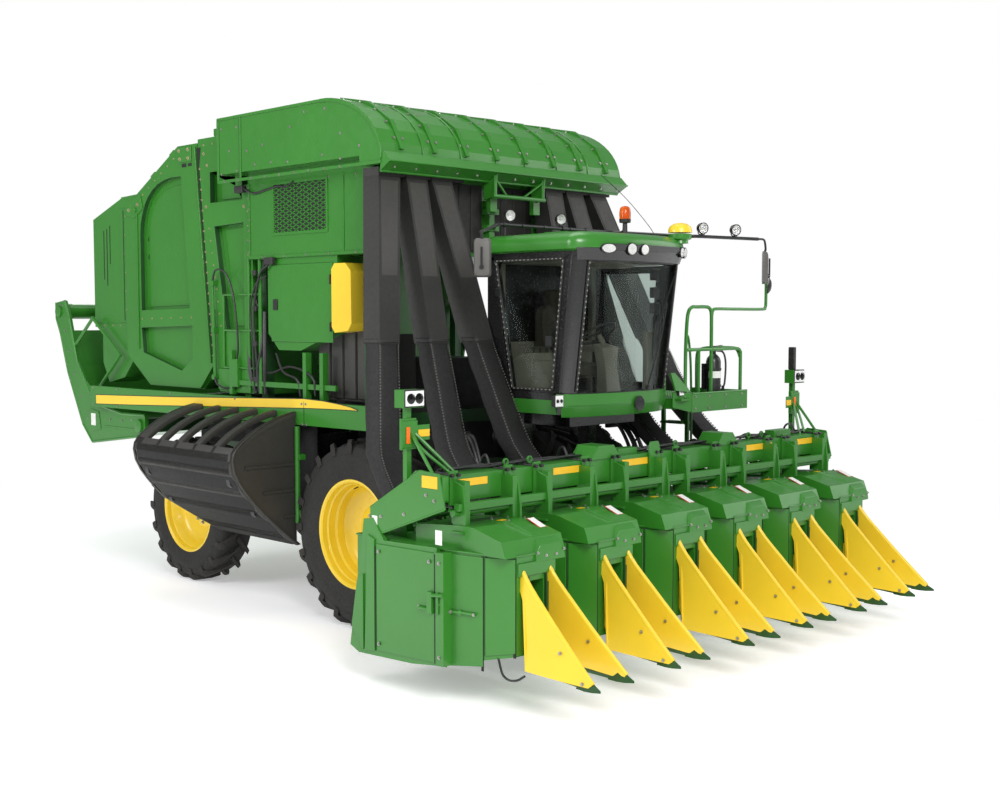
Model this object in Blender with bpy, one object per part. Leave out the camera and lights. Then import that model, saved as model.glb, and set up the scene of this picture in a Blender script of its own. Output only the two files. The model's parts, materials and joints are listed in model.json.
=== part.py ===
"""Six-row cotton picker with an on-board module chamber, modelled at its real size in metres.

+Z is up, the machine drives towards -Y, and its left side is at +X. Heights are above the
ground. Lengths are set out from the front axle; the empty "machine" then shifts everything so
that the origin lies on the ground under the middle of the whole machine.
"""

import math

import bmesh
import bpy
from mathutils import Matrix, Vector

RIGHT, LEFT = -1, 1
SIDES = (("right", RIGHT), ("left", LEFT))

SEAT_GAP = 0.0003        # between two pieces that rest on or bolt to each other
RUNNING_GAP = 0.0005     # between a shaft and the bore that turns on it
PANEL_GAP = 0.006        # between a moving panel and its frame
OVERLAP = 0.01           # how far fused pieces run into each other

# Ends of the machine, from the front axle
FRONT_END_Y = -4.14
REAR_END_Y = 6.78

# Drive wheels: twin tyres on one hub
DRIVE_TYRE_RADIUS = 0.978
DRIVE_TYRE_WIDTH = 0.52
DRIVE_RIM_RADIUS = 0.545
DRIVE_OUTER_X = 1.53
DRIVE_INNER_X = 0.89

# Steered wheels
STEER_AXLE_Y = 3.414
STEER_TYRE_RADIUS = 0.872
STEER_TYRE_WIDTH = 0.46
STEER_RIM_RADIUS = 0.50
STEER_WHEEL_X = 1.40
KINGPIN_X = 1.00

# Tyre section
LUG_HEIGHT = 0.045
LUG_COUNT = 16           # lugs on each half of a tyre
BEAD_WIDTH_SHARE = 0.80  # width over the beads, as a share of the tyre's width

# Axle stubs and hubs
STUB_RADIUS = 0.085
HUB_RADIUS = 0.17
STUB_SIDES = 18

# Body width, which the frame's posts and side beams follow
BODY_HALF_WIDTH = 1.60

# Main frame
RAIL_X = 0.50
RAIL_WIDTH = 0.12
RAIL_Z = (1.27, 1.60)
RAIL_Y = (-1.30, 4.62)
RAIL_INSET = 0.04        # members between the rails are this much shallower
CROSS_Z = (2.06, 2.20)
CROSS_HALF_DEPTH = 0.07
CROSS_Y = (-0.05, 1.05, 2.25, 4.40)
POST_HALF = 0.05
POST_X = BODY_HALF_WIDTH - 0.15
POST_Y = (0.06, 1.90)

# Side beams that carry the stripe
BEAM_X = (BODY_HALF_WIDTH + 0.02, BODY_HALF_WIDTH + 0.10)
BEAM_Y = (-0.42, 5.60)
BEAM_Z = (2.03, 2.30)

# Load spaces
WALL = 0.05
BODY_Y = (-0.20, 2.03)
BODY_Z = (3.85, 4.80)
HOOD_HALF_WIDTH = BODY_HALF_WIDTH + 0.20
HOOD_LIP_Z = 4.70
CHAMBER_HALF_WIDTH = 1.48
CHAMBER_Y = 2.04
CHAMBER_FLOOR_Z = 2.32
GATE_TOP = (3.17, 5.41)      # hinge line of the gate, along X
GATE_ROOF_Z = GATE_TOP[1] - 0.14
HINGE_RADIUS = 0.025
GATE_FOOT = (2.88, 2.62)     # lower end of the split between chamber and gate
CHAMBER_TOP_Z = GATE_TOP[1] - 0.10
HINGE_X = (-1.25, -0.42, 0.42, 1.25)

# Cab
CAB_HALF_WIDTH = 0.80
CAB_FLOOR_Z = 2.26
CAB_TOP_Z = 3.83
CAB_REAR_Y = -1.00
CAB_CORNER_Y = -1.94
CAB_NOSE_Y = -2.16
CAB_LEAN = 0.20
CAB_WALL = 0.05
GLASS_SETBACK = 0.014
GLASS_THICKNESS = 0.012
DOOR_Y = (-1.90, -1.14)
DOOR_Z = (2.36, 3.74)
DOOR_HINGE = (0.835, -1.12)  # x and y of the upright hinge line
DOOR_HINGE_Z = (2.65, 3.40)
DOOR_PIN_RADIUS = 0.012
CAB_FLOOR_THICKNESS = 0.06
ROOF_HEIGHT = 0.20
ROOF_PAD_HEIGHT = 0.02   # seat for an aerial or receiver, above the roof

# Header
ROW_X = (-2.475, -1.48, -0.435, 0.505, 1.46, 2.425)
HEADER_PIVOT = (-0.92, 1.36)
UNIT_HALF_WIDTH = 0.42
UNIT_REAR_Y = -1.50
UNIT_FRONT_Y = -3.27
UNIT_TOP_Z = 1.30
UNIT_WALL = 0.04
THROAT_HALF_WIDTH = 0.085
THROAT_TOP_Z = 1.08
TOOLBAR_Y = (-2.62, -2.40)
TOOLBAR_Z = (1.68, 1.90)
TOOLBAR_HALF_LENGTH = max(ROW_X) + 0.475     # past the outer unit
HANGER_Z = 1.50          # foot of the hangers, on the units
TIP_Y = -4.14
TIP_Z = 0.37

# Module handler at the rear
HANDLER_PIVOT = (4.55, 1.82)
HANDLER_PLATE_X = (CHAMBER_HALF_WIDTH + 0.05, CHAMBER_HALF_WIDTH + 0.10)

MATERIALS = {
    # name: (colour, metallic, roughness)
    "green": ((0.050, 0.300, 0.055), 0.0, 0.38),
    "dark_green": ((0.030, 0.180, 0.035), 0.0, 0.45),
    "yellow": ((1.000, 0.680, 0.015), 0.0, 0.40),
    "black_rubber": ((0.020, 0.020, 0.020), 0.0, 0.75),
    "tyre": ((0.018, 0.018, 0.018), 0.0, 0.85),
    "black_plastic": ((0.025, 0.025, 0.027), 0.0, 0.55),
    "grey_iron": ((0.100, 0.100, 0.100), 0.6, 0.55),
    "glass": ((0.600, 0.700, 0.700), 0.0, 0.05),
    "seat_cloth": ((0.090, 0.080, 0.065), 0.0, 0.90),
}


def clear_scene():
    for obj in list(bpy.data.objects):
        bpy.data.objects.remove(obj)


def material(name):
    known = bpy.data.materials.get(name)
    if known:
        return known
    colour, metallic, roughness = MATERIALS[name]
    made = bpy.data.materials.new(name)
    made.use_nodes = True
    shader = made.node_tree.nodes["Principled BSDF"]
    shader.inputs["Base Color"].default_value = (*colour, 1.0)
    shader.inputs["Metallic"].default_value = metallic
    shader.inputs["Roughness"].default_value = roughness
    return made


# Shapes: each function returns a bmesh of one closed body

def finished(bm):
    bmesh.ops.recalc_face_normals(bm, faces=bm.faces)
    return bm


def loft(sections):
    """Closed body through loops of equal length, capped at both ends."""
    bm = bmesh.new()
    loops = [[bm.verts.new(point) for point in section] for section in sections]
    count = len(loops[0])
    bm.faces.new(loops[0])
    bm.faces.new(loops[-1])
    for low, high in zip(loops, loops[1:]):
        for i in range(count):
            j = (i + 1) % count
            bm.faces.new((low[i], low[j], high[j], high[i]))
    return finished(bm)


def prism(outline, low, high, axis="X"):
    """Outline in the plane across the axis: (y, z), (x, z) or (x, y)."""
    place = {
        "X": lambda at, a, b: (at, a, b),
        "Y": lambda at, a, b: (a, at, b),
        "Z": lambda at, a, b: (a, b, at),
    }[axis]
    return loft([[place(at, a, b) for a, b in outline] for at in (low, high)])


def block(x, y, z):
    return prism([(y[0], z[0]), (y[1], z[0]), (y[1], z[1]), (y[0], z[1])], x[0], x[1])


def hull(points):
    bm = bmesh.new()
    for point in points:
        bm.verts.new(point)
    result = bmesh.ops.convex_hull(bm, input=bm.verts)
    unused = result["geom_interior"] + result["geom_unused"]
    inner = {item for item in unused if isinstance(item, bmesh.types.BMVert)}
    bmesh.ops.delete(bm, geom=list(inner), context="VERTS")
    return finished(bm)


def rod(start, end, radius, sides=8):
    start, end = Vector(start), Vector(end)
    bm = bmesh.new()
    bmesh.ops.create_cone(bm, cap_ends=True, segments=sides, radius1=radius, radius2=radius,
                          depth=(end - start).length)
    turn = (end - start).to_track_quat("Z", "Y").to_matrix().to_4x4()
    bmesh.ops.transform(bm, matrix=Matrix.Translation((start + end) / 2) @ turn, verts=bm.verts)
    return finished(bm)


def rods(points, radius, sides=6):
    """Rods from point to point, each run on a little so that neighbours overlap."""
    made = []
    for start, end in zip(points, points[1:]):
        start, end = Vector(start), Vector(end)
        reach = (end - start).normalized() * radius * 0.8
        made.append(rod(start - reach, end + reach, radius, sides))
    return made


def turned(profile, y, z, sides):
    """Ring turned about the axle line (y, z): the profile is a closed loop of (x, radius)."""
    bm = bmesh.new()
    rings = []
    for i in range(sides):
        angle = 2 * math.pi * i / sides
        rings.append([bm.verts.new((x, y + r * math.cos(angle), z + r * math.sin(angle)))
                      for x, r in profile])
    for i in range(sides):
        here, there = rings[i], rings[(i + 1) % sides]
        for j in range(len(profile)):
            k = (j + 1) % len(profile)
            bm.faces.new((here[j], here[k], there[k], there[j]))
    return finished(bm)


def moved(bm, offset):
    bmesh.ops.translate(bm, vec=offset, verts=bm.verts)
    return bm


# Objects

def as_object(bm, name):
    mesh = bpy.data.meshes.new(name)
    bm.to_mesh(mesh)
    bm.free()
    obj = bpy.data.objects.new(name, mesh)
    bpy.context.scene.collection.objects.link(obj)
    return obj


def combine(base, others, operation):
    """Applies one Boolean of several bodies to the base."""
    if not others:
        return
    group = bpy.data.collections.new("operands")
    bpy.context.scene.collection.children.link(group)
    for other in others:
        bpy.context.scene.collection.objects.unlink(other)
        group.objects.link(other)
    boolean = base.modifiers.new(operation.title(), "BOOLEAN")
    boolean.operation = operation
    boolean.operand_type = "COLLECTION"
    boolean.collection = group
    boolean.solver = "EXACT"
    depsgraph = bpy.context.evaluated_depsgraph_get()
    mesh = bpy.data.meshes.new_from_object(base.evaluated_get(depsgraph))
    base.modifiers.clear()
    base.data = mesh
    for other in others:
        bpy.data.objects.remove(other)
    bpy.data.collections.remove(group)


def node(name, look, add, cut=(), keep=(), then=(), bore=(), origin=(0, 0, 0)):
    """One named solid: shapes are added, cut and kept within others; later ones are added and bored."""
    obj = as_object(add[0], name)
    steps = ((add[1:], "UNION"), (cut, "DIFFERENCE"), (keep, "INTERSECT"), (then, "UNION"),
             (bore, "DIFFERENCE"))
    for shapes, operation in steps:
        combine(obj, [as_object(bm, "operand") for bm in shapes], operation)
    obj.data.name = name
    obj.data.materials.clear()
    obj.data.materials.append(material(look))
    obj.data.transform(Matrix.Translation(-Vector(origin)))
    obj.location = origin
    obj.data.shade_smooth()
    obj.data.set_sharp_from_angle(angle=math.radians(30))
    obj.parent = bpy.data.objects["machine"]
    return obj


def make_machine_empty():
    machine = bpy.data.objects.new("machine", None)
    machine.location.y = -(FRONT_END_Y + REAR_END_Y) / 2
    bpy.context.scene.collection.objects.link(machine)


# Wheels

def tyre_body(x, y, z, radius, width, rim_radius):
    """Tractor tyre: slanting lugs alternate across the middle of the tread."""
    segments = 2 * LUG_COUNT
    carcass = radius - LUG_HEIGHT
    half = width / 2
    bead = half * BEAD_WIDTH_SHARE
    belly = rim_radius + 0.45 * (carcass - rim_radius)
    slant = 2 * math.pi / segments
    centre = 0.10 * half
    # (offset from the wheel's middle, radius, share of the slant)
    section = (
        (-bead, rim_radius, 1),
        (-half, belly, 1),
        (-0.88 * half, carcass - 0.02, 1),
        (-centre, carcass, 0),
        (centre, carcass, 0),
        (0.88 * half, carcass - 0.02, 1),
        (half, belly, 1),
        (bead, rim_radius, 1),
    )
    bm = bmesh.new()
    rings = []
    for i in range(segments):
        ring = []
        for offset, r, share in section:
            angle = 2 * math.pi * i / segments + share * slant
            ring.append(bm.verts.new((x + offset, y + r * math.cos(angle), z + r * math.sin(angle))))
        rings.append(ring)
    lug_faces = []
    for i in range(segments):
        here, there = rings[i], rings[(i + 1) % segments]
        for j in range(len(section)):
            k = (j + 1) % len(section)
            face = bm.faces.new((here[j], here[k], there[k], there[j]))
            if (j == 2 and i % 2 == 0) or (j == 4 and i % 2 == 1):
                lug_faces.append(face)
    finished(bm)
    for face in lug_faces:
        made = bmesh.ops.extrude_discrete_faces(bm, faces=[face])["faces"][0]
        for vert in made.verts:
            out = Vector((0, vert.co.y - y, vert.co.z - z))
            vert.co += out.normalized() * (radius - out.length)
    return bm


def rim_section(x, outward, rim_radius, width, dish):
    """Half of a wheel rim and its disc as a closed loop of (x, radius), from the bore out."""
    half = width / 2 * BEAD_WIDTH_SHARE
    outer = rim_radius - SEAT_GAP
    inner = outer - 0.045
    disc = x + outward * dish
    thick = 0.03
    return [
        (disc - outward * thick, HUB_RADIUS - OVERLAP),
        (disc - outward * thick, inner),
        (x - outward * half, inner),
        (x - outward * half, outer),
        (x + outward * half, outer),
        (x + outward * half, inner),
        (disc, inner),
        (disc, HUB_RADIUS - OVERLAP),
    ]


def hub(low_x, high_x, y, z):
    bore = (STUB_RADIUS + RUNNING_GAP) / math.cos(math.pi / STUB_SIDES)
    section = [(low_x, bore), (low_x, HUB_RADIUS), (high_x, HUB_RADIUS), (high_x, bore)]
    return turned(section, y, z, STUB_SIDES)


def make_drive_wheels():
    z = DRIVE_TYRE_RADIUS
    for name, side in SIDES:
        axle = (0, 0, z)
        for place, x in (("outer", DRIVE_OUTER_X), ("inner", DRIVE_INNER_X)):
            body = tyre_body(side * x, 0, z, DRIVE_TYRE_RADIUS, DRIVE_TYRE_WIDTH, DRIVE_RIM_RADIUS)
            node(f"front_tyre_{name}_{place}", "tyre", [body], origin=axle)
        low, high = sorted((side * 0.72, side * 1.48))
        shapes = [hub(low, high, 0, z)]
        for x, dish in ((DRIVE_OUTER_X, -0.10), (DRIVE_INNER_X, 0.10)):
            section = rim_section(side * x, side, DRIVE_RIM_RADIUS, DRIVE_TYRE_WIDTH, dish)
            shapes.append(turned(section, 0, z, 2 * LUG_COUNT))
        node(f"front_rims_{name}", "yellow", shapes, origin=axle)


def make_steered_wheels():
    z = STEER_TYRE_RADIUS
    for name, side in SIDES:
        axle = (0, STEER_AXLE_Y, z)
        x = side * STEER_WHEEL_X
        body = tyre_body(x, STEER_AXLE_Y, z, STEER_TYRE_RADIUS, STEER_TYRE_WIDTH, STEER_RIM_RADIUS)
        node(f"rear_tyre_{name}", "tyre", [body], origin=axle)
        section = rim_section(x, side, STEER_RIM_RADIUS, STEER_TYRE_WIDTH, 0.02)
        low, high = sorted((side * 1.22, side * 1.50))
        shapes = [hub(low, high, STEER_AXLE_Y, z),
                  turned(section, STEER_AXLE_Y, z, 2 * LUG_COUNT)]
        node(f"rear_rim_{name}", "yellow", shapes, origin=axle)


# Axles and frame

def stub(start_x, end_x, y, z):
    return rod((start_x, y, z), (end_x, y, z), STUB_RADIUS, STUB_SIDES)


def make_front_axle():
    z = DRIVE_TYRE_RADIUS
    shapes = [rod((-0.60, 0, z), (0.60, 0, z), 0.15, 16)]
    for _, side in SIDES:
        low, high = sorted((side * 0.40, side * 0.60))
        shapes.append(hull([(x, y, h) for x in (low, high)
                            for y, h in ((-0.20, z - 0.16), (0.20, z - 0.16), (0.24, RAIL_Z[0] - SEAT_GAP),
                                         (-0.24, RAIL_Z[0] - SEAT_GAP))]))
        shapes.append(stub(side * 0.55, side * 1.40, 0, z))
    node("front_axle", "green", shapes)


def make_rear_axle():
    z = STEER_TYRE_RADIUS
    y = STEER_AXLE_Y
    beam = hull([(x, y + dy, h) for x, low, high in ((-0.86, z + 0.02, z + 0.18), (0.0, z - 0.02, z + 0.26),
                                                    (0.86, z + 0.02, z + 0.18))
                 for dy in (-0.10, 0.10) for h in (low, high)])
    shapes = [beam]
    for _, side in SIDES:
        low, high = sorted((side * 0.80, side * (KINGPIN_X + 0.07)))
        for z_low, z_high in ((z - 0.17, z - 0.10), (z + 0.10, z + 0.17)):
            shapes.append(block((low, high), (y - 0.08, y + 0.08), (z_low, z_high)))
        back = sorted((side * 0.80, side * 0.87))
        shapes.append(block(back, (y - 0.08, y + 0.08), (z - 0.17, z + 0.17)))
    shapes.append(block((-0.16, 0.16), (y - 0.14, y + 0.14), (z + 0.20, RAIL_Z[0] + RAIL_INSET - SEAT_GAP)))
    node("rear_axle", "green", shapes)


def make_knuckles():
    z = STEER_TYRE_RADIUS
    y = STEER_AXLE_Y
    for name, side in SIDES:
        x = side * KINGPIN_X
        shapes = [
            rod((x, y, z - 0.0995), (x, y, z + 0.0995), 0.06, 12),
            stub(x + side * 0.03, side * 1.42, y, z),
            rod((side * 1.08, y, z), (side * 1.20, y, z), 0.095, 12),
        ]
        node(f"knuckle_{name}", "green", shapes, origin=(x, y, z))


def make_main_frame():
    shapes = []
    for _, side in SIDES:
        x = sorted((side * (RAIL_X - RAIL_WIDTH / 2), side * (RAIL_X + RAIL_WIDTH / 2)))
        shapes.append(block(x, RAIL_Y, RAIL_Z))
    middle = (RAIL_Z[0] + RAIL_INSET, RAIL_Z[1] - RAIL_INSET)
    for y in (-0.45, STEER_AXLE_Y, 4.50):
        shapes.append(block((-RAIL_X, RAIL_X), (y - 0.16, y + 0.08), middle))
    for y in CROSS_Y:
        shapes.append(block((-BEAM_X[0] + SEAT_GAP, BEAM_X[0] - SEAT_GAP),
                            (y - CROSS_HALF_DEPTH, y + CROSS_HALF_DEPTH), CROSS_Z))
        for _, side in SIDES:
            x = sorted((side * (RAIL_X - 0.05), side * (RAIL_X + 0.05)))
            shapes.append(block(x, (y - 0.05, y + 0.05), (RAIL_Z[1] - OVERLAP, CROSS_Z[0] + OVERLAP)))
    for y in POST_Y:
        near = min(CROSS_Y, key=lambda cross: abs(cross - y))
        for _, side in SIDES:
            x = sorted((side * (POST_X - POST_HALF), side * (POST_X + POST_HALF)))
            shapes.append(block(x, (y - POST_HALF, y + POST_HALF), (CROSS_Z[0], BODY_Z[0] - SEAT_GAP)))
            reach = sorted((near, y))
            shapes.append(block(x, (reach[0] - POST_HALF, reach[1] + POST_HALF), CROSS_Z))
    pivot_y, pivot_z = HANDLER_PIVOT
    for _, side in SIDES:
        x = sorted((side * (RAIL_X - 0.05), side * (HANDLER_PLATE_X[0] - 0.03)))
        shapes.append(block(x, (pivot_y - 0.08, pivot_y + 0.08), (pivot_z - 0.09, pivot_z + 0.09)))
        shapes.append(block(sorted((side * (RAIL_X - 0.05), side * (RAIL_X + 0.05))),
                            (pivot_y - 0.07, pivot_y + 0.07), (RAIL_Z[1] - OVERLAP, pivot_z)))
        shapes.append(rod((side * (HANDLER_PLATE_X[0] - 0.08), pivot_y, pivot_z),
                          (side * (HANDLER_PLATE_X[1] + 0.01), pivot_y, pivot_z),
                          0.04, 16))
    head_y, head_z = HEADER_PIVOT
    shapes.append(rod((-RAIL_X, head_y, head_z), (RAIL_X, head_y, head_z), 0.045, 16))
    node("main_frame", "dark_green", shapes)


def make_engine():
    width = RAIL_X - RAIL_WIDTH / 2
    seat = RAIL_Z[1] + SEAT_GAP
    block_y = (0.12, 0.95)
    outline = [(-width - 0.08, seat), (width + 0.08, seat), (width + 0.08, 2.02), (0.35, 2.75),
               (-0.35, 2.75), (-width - 0.08, 2.02)]
    node("engine_block", "grey_iron", [prism(outline, *block_y, axis="Y")])


def make_side_beams():
    for name, side in SIDES:
        outline = [(BEAM_Y[0], BEAM_Z[0] + 0.02), (BEAM_Y[1] - 0.1, BEAM_Z[0]), (BEAM_Y[1], BEAM_Z[0] + 0.02),
                   (BEAM_Y[1], BEAM_Z[1]), (BEAM_Y[0], BEAM_Z[1])]
        x = sorted((side * BEAM_X[0], side * BEAM_X[1]))
        node(f"side_beam_{name}", "green", [prism(outline, *x)])


def guard_outline(inset):
    """Section of the side guard across the machine, (x, z) for the left side."""
    face = BEAM_X[1]
    centre = (face + 0.25, 1.45)
    points = ((0.00, 0.73), (0.44, 1.11), (0.65, 1.34), (0.80, 1.56), (0.82, 1.73), (0.71, 1.87),
              (0.51, 2.02), (0.25, 2.13), (SEAT_GAP, 2.19))
    made = []
    for x, z in [(face + out, height) for out, height in points]:
        away = Vector((x - centre[0], z - centre[1]))
        pulled = away * (1 - inset / away.length)
        made.append((centre[0] + pulled.x, centre[1] + pulled.y))
    return made


def make_side_guards():
    front, rear = 1.03, 3.07
    wall = 0.035
    for name, side in SIDES:
        outer = [(side * x, z) for x, z in guard_outline(0)]
        inner = [(side * x, z) for x, z in guard_outline(wall)]
        # the inner loop runs on past the open inboard side
        inner[0] = (side * (BEAM_X[1] - 0.10), 0.60)
        inner[-1] = (side * (BEAM_X[1] - 0.10), 2.19 - wall)
        shell = prism(outer, front, rear, "Y")
        hollow = prism(inner, front + wall, rear + wall, "Y")
        slots = []
        for i in range(5):
            y = front + 0.22 + 0.37 * i
            slots.append(hull([(side * (BEAM_X[1] + out), yy, z)
                               for out, z in ((0.10, 1.95), (0.66, 1.72), (1.00, 1.80), (0.16, 2.35))
                               for yy in (y, y + 0.27)]))
        arch = prism([(2.30, 0.50), (rear + 0.1, 0.50), (rear + 0.1, 1.02), (2.95, 1.02)],
                     *sorted((side * (BEAM_X[1] - 0.2), side * (BEAM_X[1] + 0.9))))
        node(f"side_guard_{name}", "black_plastic", [shell], [hollow, arch] + slots)


# Load spaces

def make_accumulator():
    w = BODY_HALF_WIDTH
    shell = block((-w, w), BODY_Y, BODY_Z)
    hollow = block((-w + WALL, w - WALL), (BODY_Y[0] + WALL, BODY_Y[1] + WALL), (BODY_Z[0] + WALL, BODY_Z[1] + WALL))
    windows = []
    for _, side in SIDES:
        for row in range(5):
            for column in range(5):
                y = 0.62 + 0.178 * column
                z = 4.15 + 0.10 * row
                x = sorted((side * (w - 2 * WALL), side * (w + WALL)))
                windows.append(block(x, (y, y + 0.14), (z, z + 0.06)))
    node("accumulator_body", "green", [shell], [hollow] + windows)


def hood_outline(inset):
    """Side outline (y, z) of the hood with its rounded front."""
    centre = (0.42, 4.76)
    radius = 0.97
    depth = 0.67
    points = [(2.34 - inset, BODY_Z[1] + SEAT_GAP + inset), (2.34 - inset, 5.43 - inset)]
    for i in range(8):
        angle = math.radians(90 + 90 * i / 7)
        points.append((centre[0] + (radius - inset) * math.cos(angle),
                       centre[1] + (depth - inset) * math.sin(angle)))
    points.append((centre[0] - radius + inset, HOOD_LIP_Z + inset))
    points.append((BODY_Y[0] - SEAT_GAP - inset, HOOD_LIP_Z + inset))
    points.append((BODY_Y[0] - SEAT_GAP - inset, BODY_Z[1] + SEAT_GAP + inset))
    return points


def make_hood():
    w = HOOD_HALF_WIDTH
    shell = prism(hood_outline(0), -w, w)
    hollow = prism(hood_outline(WALL), -w + WALL, w - WALL)
    mouth = block((-BODY_HALF_WIDTH + WALL, BODY_HALF_WIDTH - WALL), (BODY_Y[0] + WALL, BODY_Y[1]), (4.70, 4.90))
    rear = block((-1.30, 1.30), (2.20, 2.40), (4.95, 5.30))
    visor = prism([(-0.51, 4.63), (-0.67, 4.72), (-0.57, 4.82), (-0.52, 4.80), (-0.53, 4.72)], -w + 0.004, w - 0.004)
    ribs = []
    for i in range(8):
        x = (w - 0.25) * (2 * i / 7 - 1)
        outline = []
        for inset in (-0.035, 0.02):
            arc = [(0.42 + (0.97 - inset) * math.cos(math.radians(a)),
                    4.76 + (0.67 - inset) * math.sin(math.radians(a))) for a in (92, 118, 145, 172)]
            outline += arc if inset < 0 else arc[::-1]
        ribs.append(prism(outline, x - 0.025, x + 0.025))
    node("accumulator_hood", "green", [shell, visor] + ribs, [hollow, mouth, rear])


def make_chamber():
    w = CHAMBER_HALF_WIDTH
    half_gap = PANEL_GAP / 2
    top_y, top_z = GATE_TOP
    foot_y, foot_z = GATE_FOOT
    outline = [(CHAMBER_Y, CHAMBER_FLOOR_Z), (2.75, CHAMBER_FLOOR_Z), (foot_y - half_gap, foot_z),
               (top_y - half_gap, CHAMBER_TOP_Z - 0.09), (top_y - half_gap, CHAMBER_TOP_Z), (2.36, CHAMBER_TOP_Z),
               (2.36, BODY_Z[1] - 0.02), (CHAMBER_Y, BODY_Z[1] - 0.02)]
    shell = prism(outline, -w, w)
    hollow = block((-w + WALL, w - WALL), (CHAMBER_Y + WALL, 3.4), (CHAMBER_FLOOR_Z + WALL, CHAMBER_TOP_Z - 0.61))
    upper = block((-w + WALL, w - WALL), (2.36 + WALL, 3.4), (CHAMBER_TOP_Z - 0.71, CHAMBER_TOP_Z - WALL))
    inlet = block((-1.35, 1.35), (CHAMBER_Y - 0.1, CHAMBER_Y + 0.1), (4.0, 4.65))
    recesses = []
    for _, side in SIDES:
        x = sorted((side * (w - 0.03), side * (w + 0.1)))
        recesses.append(block(x, (2.24, 2.90), (CHAMBER_TOP_Z - 0.77, CHAMBER_TOP_Z - 0.41)))
        recesses.append(prism([(2.22, 3.06), (2.60, 3.06), (2.82, CHAMBER_TOP_Z - 1.05), (2.22, CHAMBER_TOP_Z - 1.03)], *x))
    feet = [block((-w, w), (2.20, 2.32), (CROSS_Z[1] + SEAT_GAP, CHAMBER_FLOOR_Z + OVERLAP))]
    ears = []
    for x in HINGE_X:
        ears.append(prism([(top_y - 0.30, CHAMBER_TOP_Z - OVERLAP), (top_y - 0.02, CHAMBER_TOP_Z - OVERLAP),
                           (top_y + 0.045, top_z - 0.03), (top_y + 0.045, top_z + 0.045),
                           (top_y - 0.06, top_z + 0.045)], x - 0.03, x + 0.03))
    ears.append(rod((HINGE_X[0], top_y, top_z), (HINGE_X[-1], top_y, top_z), HINGE_RADIUS, 12))
    node("chamber_front", "green", [shell] + feet, [hollow, upper, inlet] + recesses, then=ears)


def gate_outline(inset):
    half_gap = PANEL_GAP / 2
    top_y, top_z = GATE_TOP
    foot_y, foot_z = GATE_FOOT
    roof = GATE_ROOF_Z
    return [(foot_y + half_gap + inset * 0.2, foot_z + inset), (foot_y + 0.30, 2.34 + inset), (4.35, 2.34 + inset),
            (4.92 - inset, 2.72 + inset), (4.92 - inset, roof - 0.65 - inset), (4.70 - inset * 0.5, roof - 0.55 - inset),
            (3.62 - inset * 0.3, roof - inset), (top_y + half_gap, roof - inset), (top_y + half_gap, roof - 0.07)]


def make_gate():
    w = CHAMBER_HALF_WIDTH
    top_y, top_z = GATE_TOP
    shell = prism(gate_outline(0), -w, w)
    hollow = prism([(y - 0.3 if i in (0, 7, 8) else y, z) for i, (y, z) in enumerate(gate_outline(WALL))],
                   -w + WALL, w - WALL)
    recesses = []
    for _, side in SIDES:
        x = sorted((side * (w - 0.03), side * (w + 0.1)))
        arch = [(3.40, 3.31), (4.53, 3.29)]
        arch += [(y, GATE_ROOF_Z - drop) for y, drop in ((4.53, 1.02), (4.47, 0.77), (4.33, 0.57), (4.10, 0.43),
                                                         (3.80, 0.37), (3.55, 0.37))]
        recesses.append(prism(arch, *x))
        recesses.append(prism([(3.35, 3.10), (4.54, 3.07), (4.50, 2.76), (3.60, 2.55), (3.35, 2.70)], *x))
    cabinet = prism([(4.90, 3.05), (5.78, 3.05), (5.88, 3.15), (5.88, GATE_ROOF_Z - 0.77),
                     (5.12, GATE_ROOF_Z - 0.53), (4.90, GATE_ROOF_Z - 0.61)], -w + 0.02, w - 0.02)
    cabinet_space = prism([(4.80, 3.10), (5.76, 3.10), (5.83, 3.17), (5.83, GATE_ROOF_Z - 0.81),
                           (5.11, GATE_ROOF_Z - 0.58), (4.80, GATE_ROOF_Z - 0.69)], -w + 0.07, w - 0.07)
    latch_boxes = []
    for _, side in SIDES:
        x = sorted((side * (w - 0.40), side * (w - 0.01)))
        latch_boxes.append(prism([(4.70, 2.80), (5.10, 2.42), (5.50, 2.34), (5.66, 2.60), (5.66, 3.10),
                                  (4.85, 3.14)], *x))
    lugs = []
    for x in HINGE_X:
        near = x - math.copysign(0.10, x)
        lugs.append(prism([(top_y + 0.05, GATE_ROOF_Z - 0.02), (top_y + 0.30, GATE_ROOF_Z - 0.02),
                           (top_y + 0.06, top_z + 0.045), (top_y - 0.04, top_z + 0.045), (top_y - 0.03, top_z - 0.045)],
                          near - 0.035, near + 0.035))
    bore = (HINGE_RADIUS + RUNNING_GAP) / math.cos(math.pi / 12)
    node("rear_gate", "green", [shell, cabinet] + latch_boxes, [hollow, cabinet_space] + recesses, then=lugs,
         bore=[rod((-w, top_y, top_z), (w, top_y, top_z), bore, 12)], origin=(0, top_y, top_z))


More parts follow.
